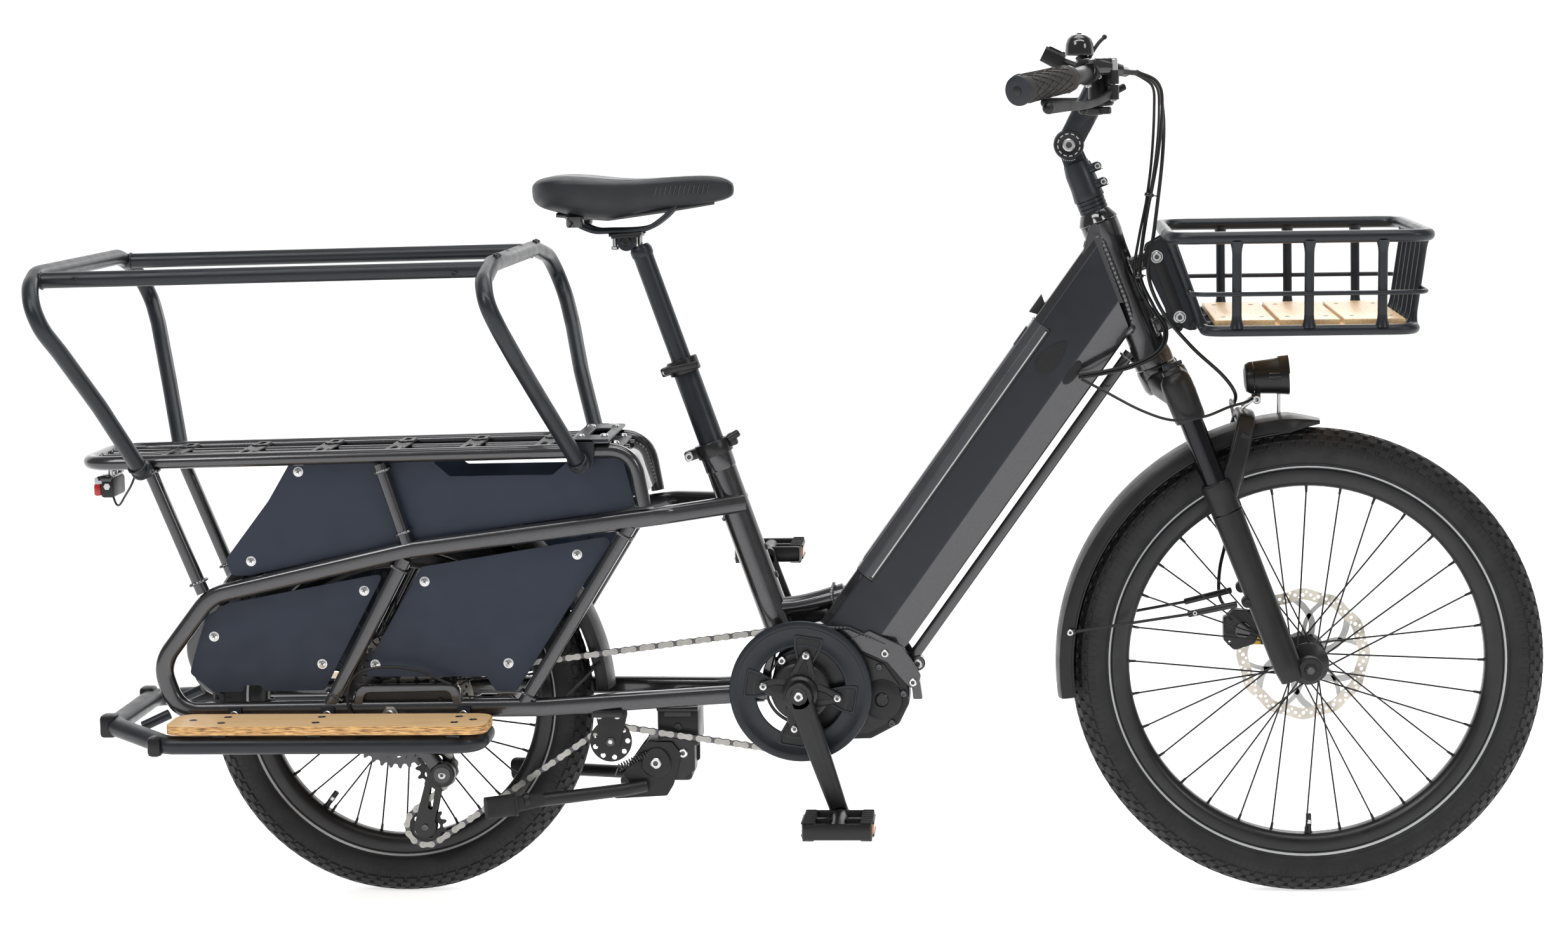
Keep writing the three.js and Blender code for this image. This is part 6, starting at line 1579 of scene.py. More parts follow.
# ---------------------------------------------------------------- seat
def saddle():
    p = Piece("saddle_shell", "post_upper", "saddle", slot="saddle_cover")
    rows = [  # x, half width, underside z, shoulder z, crown z
        (197, 15, 946, 955, 958), (200, 32, 937, 958, 963), (208, 54, 931, 962, 968.5), (222, 70, 926, 964, 972),
        (240, 79, 922, 964, 973.6),
        (262, 82, 917, 962, 973), (284, 76, 913, 960, 970.5), (306, 65, 913, 958.5, 968), (328, 52, 917, 958, 966.5),
        (350, 41, 922, 958.5, 966.5),
        (376, 31, 926, 960, 968), (404, 26, 929, 961.5, 969.6), (430, 23, 932, 961.5, 970), (448, 20, 935, 959, 968),
        (460, 15, 939, 956, 963.6),
        (466, 9, 944, 953, 958.5),
    ]
    n = 28
    rings = []
    for x, w, low, mid, top in rows:
        ring = []
        for i in range(n):
            a = 2 * math.pi * i / n
            c, s = math.cos(a), math.sin(a)
            u = w * math.copysign(abs(c) ** (0.75 if s > 0 else 0.5), c)
            if s >= 0:
                z = mid + (top - mid) * abs(s) ** 0.8
                z -= 2.2 * math.exp(-(u / 7.0) ** 2) * (1 if 225 < x < 440 else 0.3)  # pressure channel
            else:
                z = mid + (mid - low) * s * (abs(s) ** -0.25 if abs(s) > 0.01 else 1)
                z = max(z, low)
            ring.append((x, u, z))
        rings.append(ring)
    verts = [q for ring in rings for q in ring]
    faces = []
    m = len(rings)
    for i in range(m - 1):
        for j in range(n):
            k = (j + 1) % n
            faces.append((i * n + j, i * n + k, (i + 1) * n + k, (i + 1) * n + j))
    faces += [tuple(reversed(range(n))), tuple((m - 1) * n + j for j in range(n))]
    mesh = bpy.data.meshes.new("seat")
    mesh.from_pydata(verts, [], faces)
    holder = bpy.data.objects.new("seat", mesh)
    bpy.context.scene.collection.objects.link(holder)
    mod = holder.modifiers.new("smooth", "SUBSURF")
    mod.levels = mod.render_levels = 2
    deps = bpy.context.evaluated_depsgraph_get()
    fine = bpy.data.meshes.new_from_object(holder.evaluated_get(deps))
    vs = [v.co.copy() for v in fine.vertices]

    def crown(x):
        for a, b in zip(rows, rows[1:]):
            if a[0] <= x <= b[0]:
                k = (x - a[0]) / (b[0] - a[0])
                return [u + (v - u) * k for u, v in zip(a, b)]
        return rows[-1] if x > 400 else rows[0]

    for v in vs:
        _, w, low, mid, top = crown(v.x)
        if v.z > mid:
            seam = abs(abs(v.y) - w * 0.62)
            v.z -= 1.3 * math.exp(-(seam / 2.2) ** 2)
            if abs(v.y) < w * 0.62:
                v.z += 0.5
    top_faces = [tuple(f.vertices) for f in fine.polygons]
    top_set = [f for f in top_faces if sum(vs[i].z for i in f) / len(f) > crown(sum(vs[i].x for i in f) / len(f))[3]
               and abs(sum(vs[i].y for i in f) / len(f)) < crown(sum(vs[i].x for i in f) / len(f))[1] * 0.6]
    side_set = [f for f in top_faces if f not in set(top_set)]
    start = len(p.verts)
    p.add(vs, side_set, "saddle")
    shift = start
    p.looks += [len(p.keys)] * len(top_set)
    p.keys.append("saddle_gloss")
    p.faces += [tuple(shift + i for i in f) for f in top_set]
    bpy.data.objects.remove(holder)
    # ribbed slots on the sides of the nose
    for s in (-1, 1):
        for k in range(12):
            x = 366 + 6.2 * k
            _, w, low, mid, top = crown(x)
            p.sweep([V(x, s * (w + 0.2), mid - 3), V(x - 3.4, s * (w * 0.985 + 0.2), mid - 15)],
                    squircle(1.6, 2.2, 0.5, 2), "gloss_black", across=(0, 1, 0))
    # underside tray and bumpers
    p.sweep([V(232, 0, 921), V(300, 0, 915), V(380, 0, 925), V(440, 0, 934)], squircle(60, 6, 2, 3), "gloss_black",
            scale=lambda t: (1.3 - 1.0 * t, 1))
    for s in (-1, 1):
        p.lathe([(0, 0), (11, 0), (12, 3), (12, 14), (9, 17), (0, 17)], V(258, s * 46, 905), (0, 0, 1),
                "gloss_black", 28)
        rail = [V(236, s * 34, 932), V(250, s * 31, 914), V(276, s * 24, 899.6), V(300, s * 22, 898),
                V(346, s * 22, 900), V(372, s * 19, 914), V(396, s * 13, 938)]
        p.tube(spline(rail, 7), 3.5, "satin", 16)
    obj = p.done(40)


def seat_posts():
    p = Piece("seatpost_outer", "post_lower", "seatpost_lower", slot="satin_tube")
    p.lathe([(14.1, 150), (14.1, 385), (16.6, 385), (17.2, 384), (17.2, 120), (14.1, 120)], seat(0), SEAT_DIR,
            "satin", 44, closed=True)
    p.lathe([(17.1, 366), (20.8, 367), (21.4, 368.5), (21.4, 384.5), (20.8, 386), (14.1, 386), (14.1, 366)], seat(0),
            SEAT_DIR, "cable", 44, closed=True)
    p.box((-10, 10), (-6, 6), (17, 31), "cable", 2, Matrix.Translation(seat(377)) @ SEAT_BACK)
    p.rod(seat(377, -24, -20), seat(377, -24, 16), 4.2, "steel", 24)
    p.rod(seat(377, -24, 14), seat(377, -24, 20), 6.2, "anodised", 6)
    p.sweep(spline([seat(378, -25, -20), seat(378, -14, -23.5), seat(376, 4, -24.5), seat(373, 22, -23)], 5),
            squircle(4.6, 9, 2, 3), "anodised")
    # height marks: short ticks
    for k in range(9):
        p.sweep([seat(286 + 9 * k, 17.2, -3), seat(286 + 9 * k, 17.2, 3)], squircle(0.5, 0.6, 0.1, 1), "light_grey")
    p.done(32)
    p = Piece("seatpost_inner", "post_upper", "seatpost_upper", slot="satin_tube")
    p.rod(seat(300), seat(546), 13.6, "satin", 44)
    p.lathe([(0, 0), (13.8, 0), (15, 3), (15, 10), (12, 16), (0, 16)], seat(532), SEAT_DIR, "satin", 40)
    p.rod(V(322, -16, 884), V(322, 16, 884), 13, "satin", 40, edge=1.6)
    p.sweep([V(303, 0, 890.6), V(342, 0, 892.6)], squircle(52, 5.5, 2, 3), "cable")
    for s in (-1, 1):
        p.sweep([V(300, s * 22, 893), V(344, s * 22, 895)], squircle(11, 4.4, 2, 3), "cable")
        hex_bolt(p, V(322, s * 16, 884), (0, s, 0), 6.6, "anodised", 4)
    for x in (305, 339):
        p.rod(V(x, 0, 872), V(x, 0, 894), 3.2, "steel", 18)
        p.rod(V(x, 0, 872), V(x, 0, 877), 5, "steel", 6)
    p.done(32)


mudguards()
headlight()
rear_light()
fork()
stem()
handlebar()
saddle()
seat_posts()


# ---------------------------------------------------------------- drive
def pitch_radius(teeth):
    return teeth * CHAIN_PITCH / (2 * math.pi)


def chain_line(step):
    """The chain's path over its wheels: points every "step" along it, with each point's direction."""
    wheels_ = [(CRANK["x"], CRANK["z"], pitch_radius(42), 1), (*IDLER, pitch_radius(10), -1),
               (*TENSION, pitch_radius(13), 1),
               (*GUIDE, pitch_radius(13), -1), (REAR["x"], REAR["z"], pitch_radius(18), 1)]
    leave = []
    n = len(wheels_)
    for i, (x, z, r, turn) in enumerate(wheels_):
        x2, z2, r2, turn2 = wheels_[(i + 1) % n]
        leave.append(math.atan2(z2 - z, x2 - x) + math.asin((turn2 * r2 - turn * r) / math.hypot(x2 - x, z2 - z)))
    pts = []
    for i, (x, z, r, turn) in enumerate(wheels_):
        start, end = leave[i - 1], leave[i]
        arc = (start - end) * turn
        while arc < 0:
            arc += 2 * math.pi
        while arc > 2 * math.pi:
            arc -= 2 * math.pi
        steps = max(2, int(arc * r / 1.5))
        for j in range(steps + 1):
            a = start - turn * arc * j / steps
            pts.append((x - turn * r * math.sin(a), z + turn * r * math.cos(a)))
    total = sum(math.dist(a, b) for a, b in zip(pts, pts[1:] + pts[:1]))
    count = round(total / step / 2) * 2
    step = total / count
    out, run, need = [], 0.0, 0.0
    for a, b in zip(pts, pts[1:] + pts[:1]):
        length = math.dist(a, b)
        while need < run + length and len(out) < count:
            t = (need - run) / max(length, 1e-9)
            out.append((a[0] + (b[0] - a[0]) * t, a[1] + (b[1] - a[1]) * t))
            need += step
        run += length
    return out


def chain():
    """Inner and outer link plates with rollers at every pin."""
    p = Piece("chain_links", "frame", "chain", slot="chain_steel")
    pins = chain_line(CHAIN_PITCH)
    n = len(pins)
    for i, (x, z) in enumerate(pins):
        x2, z2 = pins[(i + 1) % n]
        d = V(x2 - x, 0, z2 - z)
        length = d.length
        u = d.normalized()
        w = V(-u.z, 0, u.x)
        outer = i % 2 == 0
        ys = (2.75, 3.55) if outer else (1.75, 2.55)
        shape = []
        for k in range(7):
            a = math.pi / 2 + math.pi * k / 6
            shape.append((4.4 * math.cos(a), 4.4 * math.sin(a)))
        waist = 3.2
        shape.append((length / 2, -waist))
        for k in range(7):
            a = -math.pi / 2 + math.pi * k / 6
            shape.append((length + 4.4 * math.cos(a), 4.4 * math.sin(a)))
        shape.append((length / 2, waist))
        m = len(shape)
        for s in (-1, 1):
            verts = []
            for y in ys:
                for a, b in shape:
                    q = V(x, CHAIN_Y + s * y, z) + u * a + w * b
                    verts.append(q)
            faces = [(j, (j + 1) % m, m + (j + 1) % m, m + j) for j in range(m)]
            faces += [tuple(reversed(range(m))), tuple(range(m, 2 * m))]
            p.add(verts, faces, "chain" if outer else "dark_steel")
        p.lathe([(3.8, -1.7), (3.8, 1.7)], V(x, CHAIN_Y, z), (0, 1, 0), "dark_steel", 10)
        p.lathe([(0, -4.0), (1.7, -4.0), (1.9, -3.5), (1.9, 3.5), (1.7, 4.0), (0, 4.0)], V(x, CHAIN_Y, z), (0, 1, 0),
                "chain", 8)
    return p.done(30)


def toothed(p, centre, teeth, y0, y1, look, phase=0.0, holes=(), bevel=0.3):
    """A toothed disc for the chain, as an outline of rounded valleys and worn tips."""
    r = pitch_radius(teeth)
    outline = []
    for i in range(teeth):
        for da, dr in [(-0.5, 2.6), (-0.34, 1.0), (-0.2, -3.2), (0.0, -4.1), (0.2, -3.2), (0.34, 1.0)]:
            a = 2 * math.pi * (i + da + phase) / teeth
            outline.append((centre[0] + (r + dr) * math.cos(a), centre[1] + (r + dr) * math.sin(a)))
    p.plate(outline, (y0, y1), look, 0, holes, bevel)


def ring_loop(centre, r, n=48):
    return [(centre[0] + u, centre[1] + v) for u, v in circle(r, n)]


def drive():
    chain()
    sprockets = [(42, -37.0, 79), (36, -40.8, 70), (30, -44.6, 60), (24, -48.0, 48), (18, -50.9, 36),
                 (15, -54.6, 30), (13, -58.0, 26)]
    p = Piece("cassette_sprockets", "sprockets", "cassette", slot="bright_metal")
    for teeth, y, _ in sprockets:
        r = pitch_radius(teeth)
        slots = []
        count = 8 if teeth > 20 else 0
        for k in range(count):
            a = math.radians(360 / count * k + teeth)
            slots.append((r * 0.72 * math.cos(a), REAR["z"] + r * 0.72 * math.sin(a), r * 0.13))
        toothed(p, (0, REAR["z"]), teeth, y, y + 1.8, "dark_steel",
                holes=[ring_loop((0, REAR["z"]), 15.5, 32)] + slots)
    p.lathe([(12.0, -64), (16.5, -64), (17.5, -62), (17.5, -36), (12.0, -36)], V(0, 0, REAR["z"]), (0, 1, 0),
            "dark_steel", 44, closed=True)
    p.done(30)

    # small wheels
    for name, body, node, centre, teeth, holes in [("guide_wheel_teeth", "guide_wheel", "guide_pulley", GUIDE, 13, 5),
                                                    ("tension_wheel_teeth", "tension_wheel", "tension_pulley",
                                                     TENSION, 13, 5),
                                                    ("idler_wheel_teeth", "idler", "idler_wheel", IDLER, 10, 5)]:
        p = Piece(name, body, node, slot="black_plastic")
        r = pitch_radius(teeth)
        rounds = [(centre[0] + r * 0.55 * math.cos(2 * math.pi * k / holes),
                   centre[1] + r * 0.55 * math.sin(2 * math.pi * k / holes), r * 0.17)
                  for k in range(holes)]
        toothed(p, centre, teeth, CHAIN_Y - 1.9, CHAIN_Y + 1.9, "cable", holes=[ring_loop(centre, 4.2, 20)] + rounds,
                bevel=0.4)
        if body == "idler":
            # a wider guide disc on the outside, with a ring of openings
            slots = [(centre[0] + 22.6 * math.cos(0.7 * k), centre[1] + 22.6 * math.sin(0.7 * k),
                      3.3) for k in range(9)]
            p.plate(ring_loop(centre, 28.4, 56), (CHAIN_Y - 6.0, CHAIN_Y - 4.2), "cable", 0,
                    [ring_loop(centre, 4.2, 20)] + slots, 0.4)
        p.lathe([(4.1, -3.2), (7, -3.2), (7, 3.2), (4.1, 3.2)], V(centre[0], CHAIN_Y, centre[1]), (0, 1, 0),
                "dark_steel", 28, closed=True)
        p.done(30)

    # derailleur: hanger, knuckles, parallelogram arms, cage plates and the gear cable
    p = Piece("derailleur_body", "frame", "derailleur", slot="black_plastic")
    p.plate([(-6, 262), (6, 268), (20, 258), (30, 236), (22, 226), (8, 236), (-2, 246)], (-74.5, -69.5), "anodised",
            5, (), 0.8)
    p.rod(V(18, -78, 240), V(18, -62, 240), 12, "anodised", 32, edge=1.8)
    hex_bolt(p, V(18, -78, 240), (0, -1, 0), 6.5, "dark_steel", 3.5)
    for off, look in ((-5, "anodised"), (5, "anodised")):
        p.sweep([V(18 + off, -66, 238), V(62 + off, -69, 178)], squircle(9, 7, 2.4, 3), look)
    p.sweep([V(22, -74, 232), V(56, -76.5, 188)], squircle(6, 20, 3, 3), "gloss_black")
    p.lathe([(0, 0), (14, 0), (16.4, 2), (17, 5), (17, 16), (15, 18), (0, 18)], V(64, -58, 174), (0, -1, 0),
            "anodised", 44)
    p.lathe([(0, 18), (11, 18), (11, 19.2), (6, 19.6), (0, 19.6)], V(64, -58, 174), (0, -1, 0), "gloss_black", 36)
    hex_bolt(p, V(64, -77.4, 174), (0, -1, 0), 5, "steel", 1.5)
    p.rod(V(38, -80, 252), V(46, -80, 240), 3.2, "steel", 6) 
    for y0, y1 in ((-59.4, -57.4), (-43.6, -41.8)):
        outline = []
        for centre, r, a0, a1 in ((GUIDE, 12.5, -20, 200), (TENSION, 15.0, 160, 380)):
            for k in range(13):
                a = math.radians(a0 + (a1 - a0) * k / 12 + 8)
                outline.append((centre[0] + r * math.cos(a), centre[1] + r * math.sin(a)))
        mid = ((GUIDE[0] + TENSION[0]) / 2, (GUIDE[1] + TENSION[1]) / 2)
        window = rounded_loop([(mid[0] - 4, mid[1] - 15), (mid[0] + 2, mid[1] - 16), (mid[0] + 7, mid[1] + 14),
                               (mid[0], mid[1] + 15)], 3)
        p.plate(outline, (y0, y1), "anodised", 0, [window], 0.4)
    for centre in (GUIDE, TENSION):
        p.rod(V(centre[0], -60.5, centre[1]), V(centre[0], -41, centre[1]), 3.4, "dark_steel", 20)
        hex_bolt(p, V(centre[0], -59.4, centre[1]), (0, -1, 0), 4.6, "dark_steel", 2.2)
    line = [V(20, -72, 236), V(6, -80, 226), V(-14, -92, 228), V(-40, -99, 246), V(-56, -101, 278),
            V(-46, -101, 314), V(-8, -101, 326),
            V(36, -101, 322), V(66, -101, 310), V(84, -101, 302)]
    p.tube(spline(line, 7), 2.0, "cable", 14)
    p.rod(V(20, -74, 236), V(12, -78, 230), 3.6, "steel", 16)
    p.done(30)


def crank_arm(p, turn, y0, y1):
    tip = polar(CRANK, CRANK["length"], CRANK["angle"] + turn, (y0 + y1) / 2)
    start = V(CRANK["x"], (y0 + y1) / 2, CRANK["z"])
    line = [start.lerp(tip, k) for k in (0.0, 0.09, 0.3, 0.6, 0.9, 1.0)]
    widths = [15.5, 16, 15.4, 14, 12.2, 12]
    n = len(line) - 1
    thick = y1 - y0

    def grow(t):
        k = t * n
        i = min(int(k), n - 1)
        return (1, (widths[i] + (widths[i + 1] - widths[i]) * (k - i)) / 15)

    p.sweep(line, squircle(thick, 30, 4.5, 4), "anodised", scale=grow)
    s = -1 if y0 < 0 else 1
    face = y0 if s < 0 else y1
    p.lathe([(0, 0), (17, 0), (17.6, 1), (17.6, thick - 2), (16.5, thick), (0, thick)],
            V(CRANK["x"], face, CRANK["z"]), (0, -s, 0), "anodised", 48)
    p.lathe([(0, 0), (12.4, 0), (12.6, 0.8), (12.6, thick - 1), (12, thick), (0, thick)], V(tip.x, face, tip.z),
            (0, -s, 0), "anodised", 44)
    # shallow groove down the face and the crank bolt
    groove = [V(q.x, face + s * 0.15, q.z) for q in (start.lerp(tip, 0.2), start.lerp(tip, 0.85))]
    p.sweep(groove, squircle(0.6, 9, 0.2, 1), "anodised")
    p.lathe([(0, 0), (11.5, 0), (11.5, 1.2), (10.5, 1.9), (6.2, 1.9), (6.2, 0.6), (0, 0.6)],
            V(CRANK["x"], face, CRANK["z"]), (0, s, 0), "anodised", 40)
    hex_bolt(p, V(CRANK["x"], face + s * 0.7, CRANK["z"]), (0, s, 0), 6.0, "steel", 2.6)
    return tip


def cranks():
    p = Piece("crank_right", "crankset", "crank_arm_right", slot="black_metal")
    tip = crank_arm(p, 0, -98, -84)
    p.rod(V(CRANK["x"], -90, CRANK["z"]), V(CRANK["x"], 80, CRANK["z"]), 12, "dark_steel", 36)
    p.rod(V(tip.x, -188, tip.z), V(tip.x, -92, tip.z), 5, "steel", 24)
    p.rod(V(tip.x, -102, tip.z), V(tip.x, -97.5, tip.z), 8.4, "steel", 6)
    p.done(30)
    p = Piece("crank_left", "crankset", "crank_arm_left", slot="black_metal")
    tip = crank_arm(p, 180, 84, 98)
    p.rod(V(tip.x, 92, tip.z), V(tip.x, 188, tip.z), 5, "steel", 24)
    p.rod(V(tip.x, 97.5, tip.z), V(tip.x, 102, tip.z), 8.4, "steel", 6)
    p.lathe([(12.2, 80.4), (15, 80.4), (15, 84), (12.2, 84)], V(CRANK["x"], 0, CRANK["z"]), (0, 1, 0), "anodised",
            36, closed=True)
    p.done(30)

    p = Piece("chainring_guard", "crankset", "chainring", slot="black_metal")
    c = (CRANK["x"], CRANK["z"])
    toothed(p, c, 42, -51.4, -48.6, "anodised", holes=[ring_loop(c, 64, 64)], bevel=0.4)
    # guard: a wide dished ring with a raised rim
    p.lathe([(60.5, -57.0), (60.2, -58.4), (61.5, -59.4), (64, -59.6), (65.5, -58.9), (81.5, -58.9), (84.5, -60.6),
             (90.5, -60.9), (94.2, -59.9),
             (95.3, -58.2), (94.8, -56.6), (86, -56.2), (61, -56.2)], V(c[0], 0, c[1]), (0, 1, 0), "guard_blue", 128,
             closed=True)
    p.lathe([(85.2, -60.95), (85.9, -61.2), (86.6, -61.0)], V(c[0], 0, c[1]), (0, 1, 0), "satin", 128)
    for a in (80.5, 170.5, 260.5, 350.5):
        def at(r, da):
            return (c[0] + r * math.cos(math.radians(a + da)), c[1] + r * math.sin(math.radians(a + da)))

        # a pad with a raised border that carries the bolt, and the angular arm under it
        pad = rounded_loop([at(41, -15), at(60, -17), at(78, -15.5), at(78, 15.5), at(60, 17), at(41, 15)], 5)
        inner = rounded_loop([at(45, -11), at(60, -13.5), at(74.5, -12.8), at(74.5, 12.8), at(60, 13.5), at(45, 11)],
                             4)
        p.plate(pad, (-60.8, -57.2), "guard_blue", 0, [inner], 0.7)
        p.plate(inner, (-59.4, -57.4), "fork_black", 0, (), 0.3)
        blade = [at(17, -52), at(30, -34), at(50, -9), at(56, 0), at(50, 9), at(30, 34), at(17, 52)]
        p.plate(blade, (-66.5, -59.0), "anodised", 2, (), 2.2)
        ridge = [at(20, -20), at(34, -9), at(46, 0), at(34, 9), at(20, 20)]
        p.plate(ridge, (-68.6, -66.0), "fork_black", 2, (), 1.2)
        q = at(50, 0)
        p.rod(V(q[0], -67.2, q[1]), V(q[0], -48, q[1]), 6.4, "anodised", 28, edge=0.6)
        hex_bolt(p, V(q[0], -67.2, q[1]), (0, -1, 0), 4.8, "steel", 1.6)
    p.lathe([(12.5, -80), (20, -80), (23.5, -77), (24, -72), (24, -57), (12.5, -57)], V(c[0], 0, c[1]), (0, 1, 0),
            "anodised", 56, closed=True)
    p.lathe([(24, -66), (36, -64.5), (39, -62), (39, -58), (24, -58)], V(c[0], 0, c[1]), (0, 1, 0), "anodised", 56,
            closed=True)
    p.done(30)

    for label, s, turn in (("right", -1, 0), ("left", 1, 180)):
        tip = polar(CRANK, CRANK["length"], CRANK["angle"] + turn)
        p = Piece(f"pedal_body_{label}", f"pedal_{label}", f"pedal_{label}", slot="black_plastic")
        x, z = tip.x, tip.z
        ys = lambda a, b: tuple(sorted((s * a, s * b)))
        p.lathe([(5.4, 104), (11, 104), (12, 106), (12, 128), (10.5, 140), (10.5, 180), (8, 190), (5.4, 190)],
                V(x, 0, z), (0, s, 0), "cable", 36, closed=True)
        for k in (-1, 1):
            # side cages with teeth, and rubber treads
            p.box(tuple(sorted((x + k * 32, x + k * 46))), ys(108, 194), (z - 11, z + 11), "cable", 3.0)
            for j in range(7):
                y = 112 + 12 * j
                p.box(tuple(sorted((x + k * 30, x + k * 45.5))), ys(y, y + 6.5), (z - 13, z + 13), "rubber_foot", 1.6)
            # amber reflector in each long side
            p.box(tuple(sorted((x + k * 44, x + k * 47.2))), ys(128, 176), (z - 6.4, z + 6.4), "amber", 1.2)
            for h in (-1, 1):
                p.box(tuple(sorted((x + k * 43, x + k * 48))), ys(126, 178),
                      tuple(sorted((z + h * 6.8, z + h * 9.6))), "cable", 0.8)
        for a, b in ((104, 112), (188, 196)):
            p.box((x - 45, x + 45), ys(a, b), (z - 11, z + 11), "cable", 3.5)
        for k in (-1, 1):
            p.box(tuple(sorted((x + k * 9, x + k * 34))), ys(144, 152), (z - 9, z + 9), "cable", 1.5)
        p.done(30)


# ---------------------------------------------------------------- basket
BASKET_TOP, BASKET_LOW = (1036, 1362, 189, 887), (1080, 1345, 180, 768)


def basket_rect(x0, x1, y, z):
    return [V(x0, -y, z), V(x1, -y, z), V(x1, y, z), V(x0, y, z)]


def basket():
    p = Piece("basket_frame", "frame", "basket", slot="satin_tube")
    p.tube(rounded(basket_rect(*BASKET_TOP), 34, True, 9), 8, "satin", 20, closed=True, across=(0, 0, 1))
    p.tube(rounded(basket_rect(*BASKET_LOW), 28, True, 9), 7, "satin", 20, closed=True, across=(0, 0, 1))
    mid = [a + (b - a) * 0.4 for a, b in zip(BASKET_LOW, BASKET_TOP)]
    p.tube(rounded(basket_rect(mid[0] - 2, mid[1] + 7, mid[2] + 6, mid[3]), 30, True, 9), 3, "satin", 12,
           closed=True, across=(0, 0, 1))

    def upright(a, b, r=6.2):
        p.tube([a, b], r, "satin", 14)
        d = (b - a).normalized()
        # small gusset flares where the bar meets the rims
        for end, way in ((a, d), (b, -d)):
            p.lathe([(r * 1.55, 4), (r * 1.32, 8), (r * 1.1, 14), (r * 1.0, 20)], end, way, "satin", 14)

    for x in (1119, 1210, 1302):
        for s in (-1, 1):
            upright(V(x, s * BASKET_LOW[2], BASKET_LOW[3]), V(x, s * BASKET_TOP[2], BASKET_TOP[3]))
    for y in (24, 74, 124):
        for s in (-1, 1):
            upright(V(BASKET_LOW[1], s * y, BASKET_LOW[3]), V(BASKET_TOP[1], s * y, BASKET_TOP[3]), 4.8)
    for y in (24, 76, 130):
        for s in (-1, 1):
            upright(V(BASKET_LOW[0], s * y, BASKET_LOW[3]), V(BASKET_TOP[0], s * y, BASKET_TOP[3]), 4.8)
    for s in (-1, 1):
        p.tube([V(BASKET_LOW[0], s * 62, 767), V(BASKET_LOW[1], s * 62, 767)], 4.8, "satin", 14)
        # bracket cheeks with holes, bolts and a folded edge
        p.plate([(1006, 848), (1010, 870), (1042, 888), (1084, 772), (1070, 756), (1040, 768), (1036, 784)],
                tuple(sorted((s * 20.6, s * 24))), "satin", 7, (), 0.9)
        p.sweep([V(x, s * 24.4, z) for x, z in BRACKET_BOLTS], squircle(2.4, 15, 0.8, 2), "fork_black")
        for x, z in BRACKET_BOLTS:
            p.rod(V(x, s * 22, z), V(x, s * 26.4, z), 8.6, "steel", 32, edge=0.5)
            hex_bolt(p, V(x, s * 26, z), (0, s, 0), 6.6, "steel", 4.2)
        for x, z in ((1072, 764), (1052, 762)):
            p.rod(V(x, s * 22, z), V(x, s * 27, z), 6.2, "satin", 28, edge=0.6)
            hex_bolt(p, V(x, s * 26.4, z), (0, s, 0), 4.6, "anodised", 3)
        p.sweep([V(1044, s * 24, 884), V(1082, s * 24, 776)], squircle(12, 5, 1.5, 2), "satin")
    for x, z in BRACKET_BOLTS:
        p.rod(V(x, -26, z), V(x, 26, z), 4, "steel", 20)
    for z, x in ((872, 1036), (838, 1050)):
        p.sweep([V(x, -22, z), V(x, 22, z)], squircle(12, 5, 1.5, 2), "satin", across=(1, 0, 0))
    p.done(32)
    p = Piece("basket_boards", "frame", "basket_floor", slot="bamboo")
    for i in range(3):
        x0 = 1092 + 82 * i
        p.box((x0, x0 + 77), (-165, 165), (773.2, 781), "bamboo_y", 1.8)
        for x in (x0 + 14, x0 + 63):
            for y in (-112, 112):
                p.lathe([(3.4, 0), (3.2, 0.6), (1.6, 0.8), (1.2, 0.2), (0, 0.2)], V(x, y, 780.8), (0, 0, 1),
                        "dark_steel", 18)
    for s in (-1, 1):
        p.box((1096, 1330), tuple(sorted((s * 104, s * 120))), (769.2, 774), "bamboo_x", 0.8)
    p.done(30)


